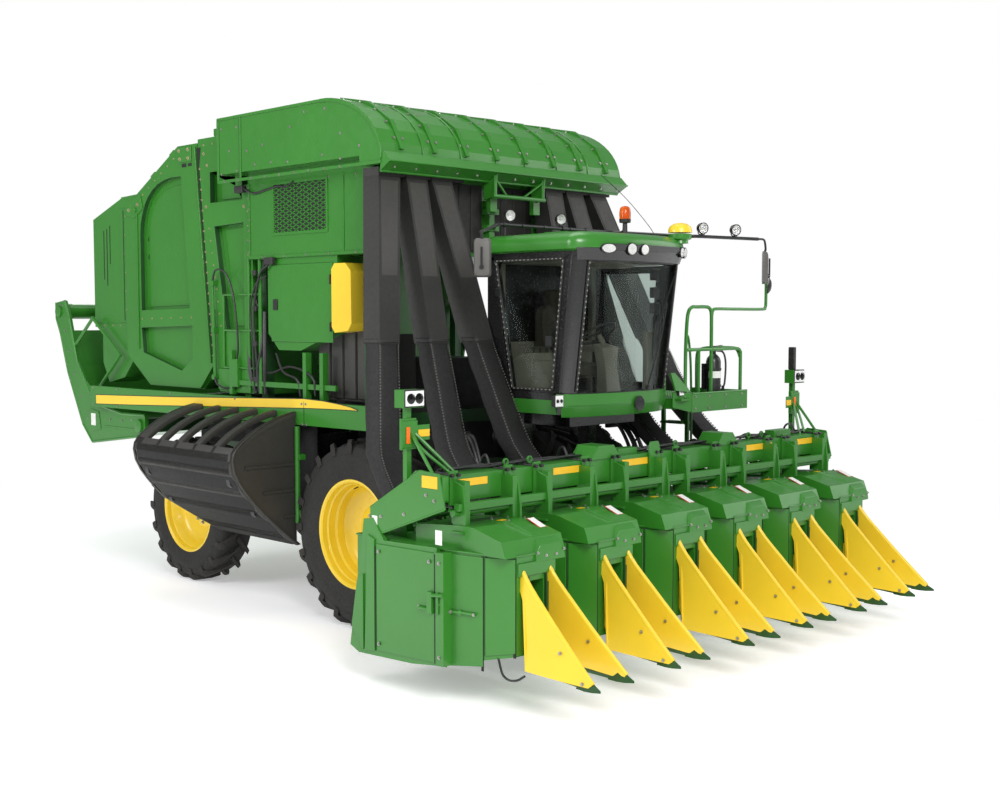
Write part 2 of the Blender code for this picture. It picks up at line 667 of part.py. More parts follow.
def make_handler():
    pivot_y, pivot_z = HANDLER_PIVOT
    low, high = HANDLER_PLATE_X
    plate = [(4.42, 1.70), (5.80, 1.53), (6.05, 1.75), (6.45, 2.45), (6.66, 2.98), (6.78, 3.18), (6.78, 3.40),
             (6.52, 3.43), (6.40, 3.20), (6.20, 2.60), (5.75, 2.06), (5.00, 1.95), (4.42, 1.96)]
    shapes = []
    holes = []
    for _, side in SIDES:
        x = sorted((side * low, side * high))
        shapes.append(prism(plate, *x))
        bore = (0.04 + RUNNING_GAP) / math.cos(math.pi / 16)
        holes.append(rod((side * (low - 0.05), pivot_y, pivot_z), (side * (high + 0.05), pivot_y, pivot_z), bore, 16))
        mid = side * (low + high) / 2
        rail = [(mid, 6.44, 2.70), (mid, 5.77, 3.19), (mid, 5.06, 2.71), (mid, 5.77, 2.16)]
        shapes += rods(rail + [rail[0]], 0.022)
        shapes += rods([(mid, 5.77, 2.17), (mid, 5.65, 2.0)], 0.017)
        shapes += rods([(mid, 6.43, 2.69), (mid, 6.35, 2.55)], 0.017)
    # the pan starts far enough back to clear the frame's rails when it is down
    pan = prism([(4.78, 1.71), (5.76, 1.56), (6.00, 1.78), (6.40, 2.50), (6.62, 3.00), (6.57, 3.02), (6.33, 2.53),
                 (5.94, 1.83), (5.74, 1.62), (4.78, 1.76)], -low - OVERLAP, low + OVERLAP)
    shapes.append(pan)
    shapes.append(rod((-low - 0.02, 6.66, 3.28), (low + 0.02, 6.66, 3.28), 0.10, 16))
    node("module_handler", "green", shapes, holes, origin=(0, pivot_y, pivot_z))


# Side boxes and tanks

def make_side_boxes():
    x = (-BODY_HALF_WIDTH + 0.02, -1.18)
    outline = [(0.45, 3.06), (0.80, 2.94), (1.10, 2.84), (1.50, 2.84), (1.70, 3.02), (1.70, BODY_Z[0] - SEAT_GAP),
               (0.45, BODY_Z[0] - SEAT_GAP)]
    node("service_box", "green", [prism(outline, *x)])
    tank = prism([(0.12, 3.14), (0.18, 3.06), (0.40, 3.04), (0.4497, 3.10), (0.4497, 3.70), (0.40, 3.76), (0.22, 3.76),
                  (0.13, 3.68)], -BODY_HALF_WIDTH - 0.06, -BODY_HALF_WIDTH + 0.32)
    node("wash_tank", "yellow", [tank])
    node("intake_box", "black_plastic", [
        block((-1.16, -0.72), (0.20, 0.98), (CROSS_Z[1] + 0.12, 3.02)),
        block((-1.12, -0.76), (-0.10, 1.08), (CROSS_Z[1] + SEAT_GAP, CROSS_Z[1] + 0.13)),
    ])


# Ducts

def duct_section(x, y, z, half_width, half_depth):
    return [(x - half_width, y - half_depth, z), (x + half_width, y - half_depth, z),
            (x + half_width, y + half_depth, z), (x - half_width, y + half_depth, z)]


DUCT_DEPTH = 0.12
DUCT_TOP_Z = 4.60
DUCT_JOINT_Z = 2.95
# For each duct: its unit, then (x, y, z, half width) at the top, joint, knee and foot
DUCTS = (
    (0, (-1.62, -0.33, DUCT_TOP_Z, 0.14), (-2.21, -1.02, DUCT_JOINT_Z, 0.12),
     (-2.56, -1.45, 1.95, 0.13), (-2.56, -1.86, 1.42, 0.16)),
    (1, (-1.26, -0.33, DUCT_TOP_Z, 0.14), (-1.58, -1.02, DUCT_JOINT_Z, 0.12),
     (-1.73, -1.45, 1.95, 0.13), (-1.62, -1.86, 1.42, 0.16)),
    (2, (-0.92, -0.33, DUCT_TOP_Z, 0.14), (-0.95, -1.00, DUCT_JOINT_Z, 0.12),
     (-0.95, -1.52, 1.95, 0.13), (-0.68, -1.86, 1.42, 0.16)),
    (3, (0.77, -0.33, DUCT_TOP_Z, 0.14), (0.78, -0.72, DUCT_JOINT_Z, 0.13),
     (0.79, -0.84, 2.02, 0.14), (0.76, -1.86, 1.42, 0.16)),
    (4, (1.12, -0.33, DUCT_TOP_Z, 0.14), (1.34, -0.78, DUCT_JOINT_Z, 0.13),
     (1.44, -1.06, 2.12, 0.14), (1.50, -1.86, 1.42, 0.16)),
    (5, (1.52, -0.33, DUCT_TOP_Z, 0.14), (2.10, -0.78, DUCT_JOINT_Z, 0.13),
     (2.38, -1.06, 2.12, 0.14), (2.44, -1.86, 1.42, 0.16)),
)


def make_ducts():
    for name, side in SIDES:
        shapes = []
        for _, top, joint, _, _ in DUCTS:
            if top[0] * side > 0:
                head = (top[0], top[1], BODY_Z[1] - 0.12, top[3])
                stations = (joint, top, head)
                shapes.append(loft([duct_section(x, y, z, half, DUCT_DEPTH) for x, y, z, half in stations]))
        # a collar under the hood's lip joins the ducts of a side
        collar_x = sorted((side * 0.60, side * 1.74))
        shapes.append(block(collar_x, (-0.44, BODY_Y[0] - SEAT_GAP), (DUCT_TOP_Z, HOOD_LIP_Z - 0.025)))
        node(f"duct_bank_{name}", "black_rubber", shapes)
    for unit, _, joint, knee, foot in DUCTS:
        top = (joint[0], joint[1], joint[2] - SEAT_GAP, joint[3])
        stations = (foot, knee, top)
        node(f"lower_duct_{unit + 1}", "black_rubber",
             [loft([duct_section(x, y, z, half, DUCT_DEPTH) for x, y, z, half in stations])])


# Cab

def cab_loop(z, inset):
    """Plan loop of the cab at a height: the bowed front leans forward with height."""
    lean = CAB_LEAN * (z - CAB_FLOOR_Z) / (CAB_TOP_Z - CAB_FLOOR_Z)
    half = CAB_HALF_WIDTH - inset
    corner = CAB_CORNER_Y - lean + inset
    nose = CAB_NOSE_Y - lean + inset
    points = [(half, CAB_REAR_Y - inset), (half, corner)]
    for i in range(1, 8):
        angle = math.pi * i / 8
        points.append((half * math.cos(angle), corner + (nose - corner) * math.sin(angle)))
    points += [(-half, corner), (-half, CAB_REAR_Y - inset)]
    return [(x, y, z) for x, y in points]


def cab_layer(outer, inner, low=CAB_FLOOR_Z, high=CAB_TOP_Z):
    """Outer body and inner body of a layer of the cab's wall."""
    return (loft([cab_loop(low, outer), cab_loop(high, outer)]),
            loft([cab_loop(low - 0.1, inner), cab_loop(high + 0.1, inner)]))


def window_cutters(gap):
    """Openings in the cab's wall for the windscreen and the right window."""
    def side_window(side, outline):
        return prism(outline, *sorted((side * 0.60, side * 1.0)))
    corners = ((-0.66 + gap, 2.47 + gap), (0.66 - gap, 2.47 + gap), (0.68 - gap, 3.73 - gap),
               (-0.68 + gap, 3.73 - gap))
    front = hull([(x, y, z) for x, z in corners for y in (-3.0, -2.0)])
    right = side_window(RIGHT, [(-1.13 - gap, 3.76 - gap), (-1.36 - gap, 2.50 + gap), (-1.90 + gap, 2.50 + gap),
                                (-2.04 + gap, 3.76 - gap)])
    return {"front": front, "right": right}


def door_outline(gap):
    return [(DOOR_Y[0] + gap, DOOR_Z[0] + gap), (DOOR_Y[1] - gap, DOOR_Z[0] + gap),
            (DOOR_Y[1] - gap, DOOR_Z[1] - gap), (DOOR_Y[0] - 0.12 + gap, DOOR_Z[1] - gap)]


def door_window(gap):
    return prism([(DOOR_Y[0] + 0.07 + gap, 2.52 + gap), (DOOR_Y[1] - 0.08 - gap, 2.52 + gap),
                  (DOOR_Y[1] - 0.08 - gap, 3.66 - gap), (DOOR_Y[0] - 0.03 + gap, 3.66 - gap)], 0.6, 1.0)


def make_cab():
    shell, hollow = cab_layer(0, CAB_WALL)
    openings = list(window_cutters(0).values()) + [prism(door_outline(0), 0.6, 1.0)]
    floor = loft([cab_loop(CAB_FLOOR_Z - 0.002, 0.02), cab_loop(CAB_FLOOR_Z + CAB_FLOOR_THICKNESS, 0.02)])
    legs = [block((-0.50, 0.50), (-1.85, -1.10), (2.12, CAB_FLOOR_Z + OVERLAP))]
    for _, side in SIDES:
        leg_x = sorted((side * (RAIL_X - RAIL_WIDTH / 2), side * (RAIL_X + RAIL_WIDTH / 2)))
        legs.append(block(leg_x, (-1.28, -1.12), (RAIL_Z[1] + SEAT_GAP, CAB_FLOOR_Z + OVERLAP)))
    hinge_x, hinge_y = DOOR_HINGE
    for z in DOOR_HINGE_Z:
        legs.append(block((CAB_HALF_WIDTH - OVERLAP, hinge_x + 0.02), (hinge_y - 0.018, hinge_y + 0.08),
                          (z - 0.06, z - 0.02)))
        legs.append(rod((hinge_x, hinge_y, z - 0.05), (hinge_x, hinge_y, z + 0.03), DOOR_PIN_RADIUS, 10))
    node("cab_shell", "black_plastic", [shell], [hollow] + openings, then=[floor] + legs)
    for kind, name in (("front", "windscreen"), ("right", "side_glass_right")):
        pane, inside = cab_layer(GLASS_SETBACK, GLASS_SETBACK + GLASS_THICKNESS)
        node(name, "glass", [pane], [inside], [window_cutters(SEAT_GAP)[kind]])


def make_cab_door():
    skin, inside = cab_layer(0, CAB_WALL)
    hinge_x, hinge_y = DOOR_HINGE
    hinge = (hinge_x, hinge_y, 0)
    lugs = []
    bores = []
    bore = (DOOR_PIN_RADIUS + RUNNING_GAP) / math.cos(math.pi / 10)
    for z in DOOR_HINGE_Z:
        lugs.append(block((CAB_HALF_WIDTH - OVERLAP, hinge_x + 0.02), (hinge_y - 0.08, hinge_y + 0.018),
                          (z - 0.015, z + 0.025)))
        bores.append(rod((hinge_x, hinge_y, z - 0.1), (hinge_x, hinge_y, z + 0.1), bore, 10))
    # the lugs stand clear of the door's frame
    bores += [block((CAB_HALF_WIDTH - 0.02, CAB_HALF_WIDTH + 2 * PANEL_GAP), (DOOR_Y[1] - PANEL_GAP, 0),
                    (z - 0.1, z + 0.1)) for z in DOOR_HINGE_Z]
    node("cab_door", "black_plastic", [skin], [inside, door_window(0)], [prism(door_outline(PANEL_GAP), 0.6, 1.0)],
         lugs, bores, hinge)
    pane, inside = cab_layer(GLASS_SETBACK, GLASS_SETBACK + GLASS_THICKNESS)
    node("door_glass", "glass", [pane], [inside], [door_window(SEAT_GAP)], origin=hinge)


def make_cab_roof():
    low = CAB_TOP_Z + SEAT_GAP
    base = loft([cab_loop(low, 0.03), cab_loop(low + 0.09, -0.05)])
    top = loft([[(x, y, low + 0.08) for x, y, _ in cab_loop(low, -0.05)],
                [(x, y, low + 0.15) for x, y, _ in cab_loop(low, -0.03)],
                [(x * 0.96, y, low + ROOF_HEIGHT) for x, y, _ in cab_loop(low, 0.04)]])
    lamps = []
    for x in (-0.53, -0.45, -0.23, -0.05, 0.62):
        lamps.append(rod((x, -2.42, low + 0.055), (x, -2.20, low + 0.055), 0.05, 12))
    dome = turned([(0.0, 0.02), (0.0, 0.12), (0.05, 0.11), (0.09, 0.07), (0.10, 0.02)], 0, 0, 16)
    bmesh.ops.rotate(dome, matrix=Matrix.Rotation(math.radians(-90), 3, "Y"), verts=dome.verts)
    moved(dome, (0.68, -2.26, low + 0.19))
    plug = rod((0.68, -2.26, low + 0.10), (0.68, -2.26, low + 0.26), 0.05, 12)
    beacon = [rod((0.45, -1.75, low + 0.15), (0.45, -1.75, low + 0.38), 0.05, 12),
              rod((0.45, -1.75, low + 0.37), (0.45, -1.75, low + 0.52), 0.065, 12)]
    pad = block((-0.44, -0.16), (-1.72, -1.44), (low + ROOF_HEIGHT - OVERLAP, low + ROOF_HEIGHT + ROOF_PAD_HEIGHT))
    node("cab_roof", "green", [base, top, dome, plug, pad] + lamps + beacon)


def make_roof_bars():
    """Tubes behind and beside the roof with work lamps and mirrors."""
    z = CAB_TOP_Z + 0.30
    y = CAB_REAR_Y - 0.12
    low = z - 0.09
    shapes = rods([(-1.40, -1.52, low - 0.03), (-0.75, y, z), (0.97, y, z), (0.99, -2.22, low), (2.02, -2.42, low),
                   (2.00, -2.43, low - 0.14)], 0.018)
    for x in (-0.55, 0.55):
        shapes.append(rod((x, y, z), (x, y, CAB_TOP_Z + ROOF_HEIGHT + 2 * SEAT_GAP), 0.018))
    for x, lamp_y, bar in ((-0.62, y, z), (0.14, y, z), (1.10, -2.242, low), (1.56, -2.331, low)):
        shapes.append(rod((x, lamp_y, bar), (x, lamp_y, bar + 0.07), 0.013))
        shapes.append(block((x - 0.055, x + 0.055), (lamp_y - 0.045, lamp_y + 0.045), (bar + 0.05, bar + 0.16)))
    # mirrors: the right one faces the picture, the left one is turned away from it
    for (x, y_mid), (across_x, across_y), (bottom, top) in (((-1.40, -1.54), (0.070, -0.070), (3.58, 3.95)),
                                                            ((1.99, -2.44), (0.075, 0.075), (3.56, 3.91))):
        thick = Vector((-across_y, across_x)).normalized() * 0.022
        shapes.append(hull([(x + s * across_x + t * thick.x, y_mid + s * across_y + t * thick.y, h)
                            for s in (-1, 1) for t in (-1, 1) for h in (bottom, top)]))
    shapes.append(rod((-1.40, -1.525, low), (-1.40, -1.53, 3.90), 0.016))
    node("roof_bars", "black_plastic", shapes)


def make_cab_interior():
    floor = CAB_FLOOR_Z + CAB_FLOOR_THICKNESS + SEAT_GAP
    seat = [
        block((-0.16, 0.16), (-1.50, -1.20), (floor, floor + 0.28)),
        block((-0.25, 0.25), (-1.66, -1.14), (floor + 0.26, floor + 0.42)),
        prism([(-1.20, floor + 0.38), (-1.10, floor + 1.02), (-1.06, floor + 1.02), (-1.08, floor + 0.38)], -0.24, 0.24),
        block((-0.46, -0.22), (-1.75, -1.20), (floor + 0.30, floor + 0.62)),
    ]
    node("driver_seat", "seat_cloth", seat)
    column = [
        block((-0.12, 0.12), (-2.06, -1.94), (floor, floor + 0.30)),
        rod((0, -1.99, floor + 0.25), (0, -1.86, floor + 0.70), 0.045, 10),
    ]
    wheel = turned([(-0.015, 0.15), (-0.015, 0.18), (0.015, 0.18), (0.015, 0.15)], 0, 0, 20)
    spokes = rod((0, -0.16, 0), (0, 0.16, 0), 0.012, 6)
    for bm in (wheel, spokes):
        bmesh.ops.rotate(bm, matrix=Matrix.Rotation(math.radians(-90), 3, "Y"), verts=bm.verts)
        bmesh.ops.rotate(bm, matrix=Matrix.Rotation(math.radians(-18), 3, "X"), verts=bm.verts)
        moved(bm, (0, -1.86, floor + 0.70))
    node("steering_column", "black_plastic", column + [wheel, spokes])


PLATFORM_FRONT_Y = -2.20     # behind the raised toolbar
PLATFORM_OUTER_X = 2.00
DECK_THICKNESS = 0.05
KICK_Z = (2.215, 2.41)       # of the plates along the deck's front and outer edges


def make_platform():
    z = CAB_FLOOR_Z + 0.10
    inner = CAB_HALF_WIDTH + SEAT_GAP
    outer = PLATFORM_OUTER_X
    front = PLATFORM_FRONT_Y
    post = 0.019
    shapes = [block((inner, outer), (front, -1.20), (z - DECK_THICKNESS, z)),
              block((inner + 0.02, outer - 0.02), (-1.34, -1.24), (z - 0.16, z - DECK_THICKNESS / 2)),
              block((inner + 0.04, outer), (front, front + 0.03), KICK_Z),
              block((outer - 0.03, outer), (front, -1.50), KICK_Z)]
    line = front + 0.05
    top, middle, foot = z + 0.95, z + 0.50, z - 0.02
    # front rail: a hoop, two short posts and the arm of the second mirror
    rails = [
        [(0.97, foot), (0.97, top), (1.42, top), (1.42, foot)],
        [(0.97, middle), (1.42, middle)],
        [(1.20, foot), (1.20, middle)],
        [(1.42, middle), (outer - 0.04, middle), (outer - 0.04, foot)],
        [(1.42, top), (2.44, top)],
        [(2.44, top - 0.02), (2.44, top + 0.30)],
    ]
    for rail in rails:
        for (x_a, z_a), (x_b, z_b) in zip(rail, rail[1:]):
            low_x, high_x = sorted((x_a, x_b))
            low_z, high_z = sorted((z_a, z_b))
            shapes.append(block((low_x - post, high_x + post), (line - post, line + post), (low_z - post, high_z + post)))
    shapes.append(block((2.44 - 0.075, 2.44 + 0.075), (line - 0.055, line - post + 0.005), (top + 0.12, top + 0.37)))
    # side rail along the outer edge
    side_line = (outer - 0.04 - post, outer - 0.04 + post)
    shapes.append(block(side_line, (line - post, -1.56), (middle - post, middle + post)))
    shapes.append(block(side_line, (-1.60, -1.56), (foot, middle + post)))
    for y in (-1.40, -1.06):
        shapes.append(block((outer - 0.03, outer + 0.03), (y - 0.02, y + 0.02), (0.78, z - DECK_THICKNESS / 2)))
    for i in range(5):
        step = 0.84 + 0.29 * i
        shapes.append(block((outer - 0.09, outer + 0.09), (-1.41, -1.05), (step, step + 0.04)))
    shapes.append(block((outer - 0.04, outer + 0.04), (-1.44, -1.02), (z - 0.08, z - 0.015)))
    node("platform", "green", shapes)


# Header

def make_toolbar():
    w = TOOLBAR_HALF_LENGTH
    y, z = TOOLBAR_Y, TOOLBAR_Z
    shapes = [block((-w, w), y, z)]
    for x, half in ((-0.865, 0.205), (1.055, 0.185)):
        shapes.append(prism([(x - half, z[1] - OVERLAP), (x - half + 0.10, z[1] + 0.115), (x + half - 0.10, z[1] + 0.115),
                             (x + half, z[1] - OVERLAP)], y[0] - 0.01, y[1] + 0.01, "Y"))
    rail_y = (y[0] - 0.14, y[0] - 0.08)
    for x in ROW_X:
        for dx in (-0.28, 0.28):
            shapes.append(block((x + dx - 0.03, x + dx + 0.03), (rail_y[0], y[0] + 0.02), (HANGER_Z, 1.86)))
    shapes.append(block((-w + 0.05, w - 0.05), rail_y, (1.62, 1.68)))
    head_y, head_z = HEADER_PIVOT
    pin = (0.045 + RUNNING_GAP) / math.cos(math.pi / 16)
    for _, side in SIDES:
        x = sorted((side * 0.30, side * 0.38))
        shapes.append(prism([(y[1] - 0.05, z[0]), (y[1] - 0.05, z[1]), (head_y + 0.08, head_z + 0.09),
                             (head_y + 0.10, head_z - 0.08), (head_y - 0.12, head_z - 0.06)], *x))
        arm = sorted((side * (w - 0.03), side * (w + 0.04)))
        shapes.append(prism([(-1.78, 1.30), (-1.72, 1.46), (-2.33, 1.93), (-2.66, 1.90), (-2.66, 1.70)], *arm))
        plate = sorted((side * (w + 0.03), side * (w + 0.07)))
        shapes.append(prism([(-1.48, 0.32), (-1.60, 0.27), (-2.30, 0.30), (-2.62, 0.34), (-2.62, 1.32), (-1.95, 1.30),
                             (-1.80, 1.48), (-1.68, 1.46)], *plate))
        shapes += lamp_post(side * (w + 0.02))
    cuts = [rod((-1, head_y, head_z), (1, head_y, head_z), pin, 16)]
    node("toolbar", "green", shapes, cuts, origin=(0, head_y, head_z))


def lamp_post(x):
    y = -2.20
    return [
        block((x - 0.025, x + 0.025), (y - 0.025, y + 0.025), (1.78, 2.47)),
        block((x - 0.11, x + 0.11), (y - 0.09, y + 0.03), (2.45, 2.60)),
        rod((x, y, 2.30), (x * 0.90, -2.50, 1.88), 0.015, 8),
        rod((x, y, 2.30), (x, -2.55, 1.88), 0.015, 8),
        block((x - 0.10, x + 0.06), (y - 0.05, y - 0.02), (2.10, 2.36)),
    ]


def make_row_units():
    half = UNIT_HALF_WIDTH
    for i, x in enumerate(ROW_X):
        plan = [(-half, UNIT_REAR_Y), (-half, -2.66), (-0.34, -3.02), (-0.22, UNIT_FRONT_Y), (0.22, UNIT_FRONT_Y),
                (0.34, -3.02), (half, -2.66), (half, UNIT_REAR_Y)]
        cabinet = prism([(x + dx, y) for dx, y in plan], 0.28, UNIT_TOP_Z, "Z")
        skirt = prism([(UNIT_REAR_Y + 0.1, 0.20), (-2.30, 0.29), (UNIT_FRONT_Y - 0.1, 0.50),
                       (UNIT_FRONT_Y - 0.1, 0.20)], x - half - 0.1, x + half + 0.1)
        housing = prism([(-2.20, UNIT_TOP_Z - OVERLAP), (-2.20, 1.46), (-2.72, HANGER_Z - SEAT_GAP),
                         (-2.90, HANGER_Z - SEAT_GAP), (-3.22, 1.42), (UNIT_FRONT_Y, UNIT_TOP_Z - OVERLAP)],
                        x - 0.35, x + 0.35)
        elbow_x = DUCTS[i][4][0]
        elbow = block((elbow_x - 0.19, elbow_x + 0.19), (-1.99, -1.73), (UNIT_TOP_Z - OVERLAP, 1.42 - SEAT_GAP))
        throat = block((x - THROAT_HALF_WIDTH, x + THROAT_HALF_WIDTH), (-4, 0), (0, THROAT_TOP_Z))
        drum_spaces = [block(sorted((x + side * (THROAT_HALF_WIDTH + UNIT_WALL), x + side * (half - UNIT_WALL))),
                             (-2.64, UNIT_REAR_Y - UNIT_WALL), (0, UNIT_TOP_Z - UNIT_WALL))
                       for _, side in SIDES]
        node(f"row_unit_{i + 1}", "green", [cabinet, housing, elbow], [skirt, throat] + drum_spaces)


def make_dividers():
    """Two yellow fairings for each row, on a cross plate above the throat."""
    for i, x in enumerate(ROW_X):
        shapes = []
        front = UNIT_FRONT_Y - SEAT_GAP
        for side in (RIGHT, LEFT):
            # (offset from the row, y, z) of the ridge, the inner foot and the outer foot
            shapes.append(hull([(x + side * dx, y, z) for dx, y, z in (
                (0.13, front, 1.26), (0.18, front, 1.26), (0.13, front, 0.70), (0.19, front, 0.70),
                (0.15, -3.45, 0.47), (0.30, -3.45, 0.49), (0.19, TIP_Y + 0.10, 0.38), (0.24, TIP_Y + 0.10, 0.39),
                (0.195, TIP_Y, TIP_Z), (0.205, TIP_Y, TIP_Z), (0.19, TIP_Y + 0.10, 0.47), (0.22, TIP_Y + 0.10, 0.47))]))
        shapes.append(block((x - 0.16, x + 0.16), (front - 0.03, front), (THROAT_TOP_Z + 0.02, 1.20)))
        node(f"dividers_{i + 1}", "yellow", shapes)


def main():
    clear_scene()
    make_machine_empty()
    make_main_frame()
    make_front_axle()
    make_rear_axle()
    make_knuckles()
    make_drive_wheels()
    make_steered_wheels()
    make_engine()
    make_side_beams()
    make_side_guards()
    make_accumulator()
    make_hood()
    make_chamber()
    make_gate()
    make_handler()
    make_side_boxes()
    make_ducts()
    make_cab()
    make_cab_door()
    make_cab_roof()
    make_roof_bars()
    make_cab_interior()
    make_platform()
    make_toolbar()
    make_row_units()
    make_dividers()


main()
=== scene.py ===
"""Dressed cotton picker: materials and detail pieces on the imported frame, studio floor, lights, camera.

Points are written from the front axle, as in the part's source, and OFFSET moves them into the row frame.
"""

import json
import math

import bmesh
import bpy
from mathutils import Matrix, Vector
from mathutils.geometry import tessellate_polygon


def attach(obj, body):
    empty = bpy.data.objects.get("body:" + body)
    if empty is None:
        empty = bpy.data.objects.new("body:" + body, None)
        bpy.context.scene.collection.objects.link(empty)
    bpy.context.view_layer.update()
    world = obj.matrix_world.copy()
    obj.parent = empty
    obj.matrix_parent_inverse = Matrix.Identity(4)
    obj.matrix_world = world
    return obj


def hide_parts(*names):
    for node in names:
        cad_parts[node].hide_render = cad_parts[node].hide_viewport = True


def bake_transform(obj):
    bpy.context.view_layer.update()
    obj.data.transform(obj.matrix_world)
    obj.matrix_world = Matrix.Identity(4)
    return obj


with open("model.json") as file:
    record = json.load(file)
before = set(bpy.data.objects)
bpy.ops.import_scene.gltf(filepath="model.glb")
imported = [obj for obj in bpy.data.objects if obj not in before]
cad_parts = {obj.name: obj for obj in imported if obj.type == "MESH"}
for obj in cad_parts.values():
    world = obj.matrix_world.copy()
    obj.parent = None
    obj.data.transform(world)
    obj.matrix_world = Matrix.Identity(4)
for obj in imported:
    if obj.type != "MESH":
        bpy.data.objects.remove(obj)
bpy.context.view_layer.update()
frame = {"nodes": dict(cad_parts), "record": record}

OFFSET = Vector((0, -1.32, 0))
RIGHT, LEFT = -1, 1
SIDES = (("right", RIGHT), ("left", LEFT))
FRONT, UP = (0, -1, 0), (0, 0, 1)

GREEN = (0.030, 0.196, 0.017)
# dark green paint of the dark green parts, also used as painted shade on the walls of the side skins' holes
DARK_GREEN_PAINT_AND_SHADE = (0.013, 0.070, 0.014)
YELLOW = (0.870, 0.600, 0.030)
ROW_X = (-2.475, -1.48, -0.435, 0.505, 1.46, 2.425)


# Materials

def shader_of(mat):
    mat.use_nodes = True
    return mat.node_tree, mat.node_tree.nodes["Principled BSDF"]


def noise_node(tree, scale, detail=4.0):
    place = tree.nodes.new("ShaderNodeTexCoord")
    noise = tree.nodes.new("ShaderNodeTexNoise")
    noise.inputs["Scale"].default_value = scale
    noise.inputs["Detail"].default_value = detail
    tree.links.new(place.outputs["Object"], noise.inputs["Vector"])
    return noise


def ramp_node(tree, source, stops):
    ramp = tree.nodes.new("ShaderNodeValToRGB")
    ramp.color_ramp.elements[0].position = stops[0][0]
    ramp.color_ramp.elements[1].position = stops[-1][0]
    for place, _ in stops[1:-1]:
        ramp.color_ramp.elements.new(place)
    for element, (_, colour) in zip(ramp.color_ramp.elements, stops):
        element.color = (*colour, 1.0)
    tree.links.new(source, ramp.inputs["Fac"])
    return ramp


def bump_node(tree, shader, source, strength, distance):
    bump = tree.nodes.new("ShaderNodeBump")
    bump.inputs["Strength"].default_value = strength
    bump.inputs["Distance"].default_value = distance
    tree.links.new(source, bump.inputs["Height"])
    tree.links.new(bump.outputs["Normal"], shader.inputs["Normal"])


def shade(colour, factor):
    return tuple(min(1.0, c * factor) for c in colour)


def mottled(name, colour, rough, vary=0.10, metallic=0.0, coat=0.0, scale=3.0, grain=None, rough_vary=0.08):
    """Surface with uneven colour and roughness at two scales, and grain as (scale, strength, distance)."""
    mat = bpy.data.materials.new(name)
    tree, shader = shader_of(mat)
    shader.inputs["Metallic"].default_value = metallic
    shader.inputs["Coat Weight"].default_value = coat
    shader.inputs["Coat Roughness"].default_value = 0.12
    broad = noise_node(tree, scale)
    ramp = ramp_node(tree, broad.outputs["Fac"], [(0.30, shade(colour, 1 - vary)), (0.55, colour),
                                                 (0.75, shade(colour, 1 + vary))])
    tree.links.new(ramp.outputs["Color"], shader.inputs["Base Color"])
    fine = noise_node(tree, scale * 9)
    low, high = max(0.02, rough - rough_vary), min(1.0, rough + rough_vary)
    dull = ramp_node(tree, fine.outputs["Fac"], [(0.3, (low,) * 3), (0.7, (high,) * 3)])
    tree.links.new(dull.outputs["Color"], shader.inputs["Roughness"])
    if grain:
        grit = noise_node(tree, grain[0], 3.0)
        bump_node(tree, shader, grit.outputs["Fac"], grain[1], grain[2])
    return mat


def clear(name, colour, rough=0.02, transmission=1.0, see_through=0.0):
    """Glass or lens; see_through lets that share of the light pass straight, as a thin pane does."""
    mat = bpy.data.materials.new(name)
    tree, shader = shader_of(mat)
    shader.inputs["Base Color"].default_value = (*colour, 1.0)
    shader.inputs["Transmission Weight"].default_value = transmission
    shader.inputs["IOR"].default_value = 1.45
    smear = noise_node(tree, 3.0)
    film = ramp_node(tree, smear.outputs["Fac"], [(0.4, (rough,) * 3), (0.7, (rough + 0.02,) * 3)])
    tree.links.new(film.outputs["Color"], shader.inputs["Roughness"])
    if see_through:
        pane = tree.nodes.new("ShaderNodeBsdfTransparent")
        pane.inputs["Color"].default_value = (*colour, 1.0)
        mix = tree.nodes.new("ShaderNodeMixShader")
        mix.inputs["Fac"].default_value = see_through
        out = tree.nodes["Material Output"]
        tree.links.new(shader.outputs[0], mix.inputs[1])
        tree.links.new(pane.outputs[0], mix.inputs[2])
        tree.links.new(mix.outputs[0], out.inputs["Surface"])
    return mat


def rubber(name, colour, rough):
    return mottled(name, colour, rough, vary=0.22, scale=4.0, grain=(260.0, 0.25, 0.0015))


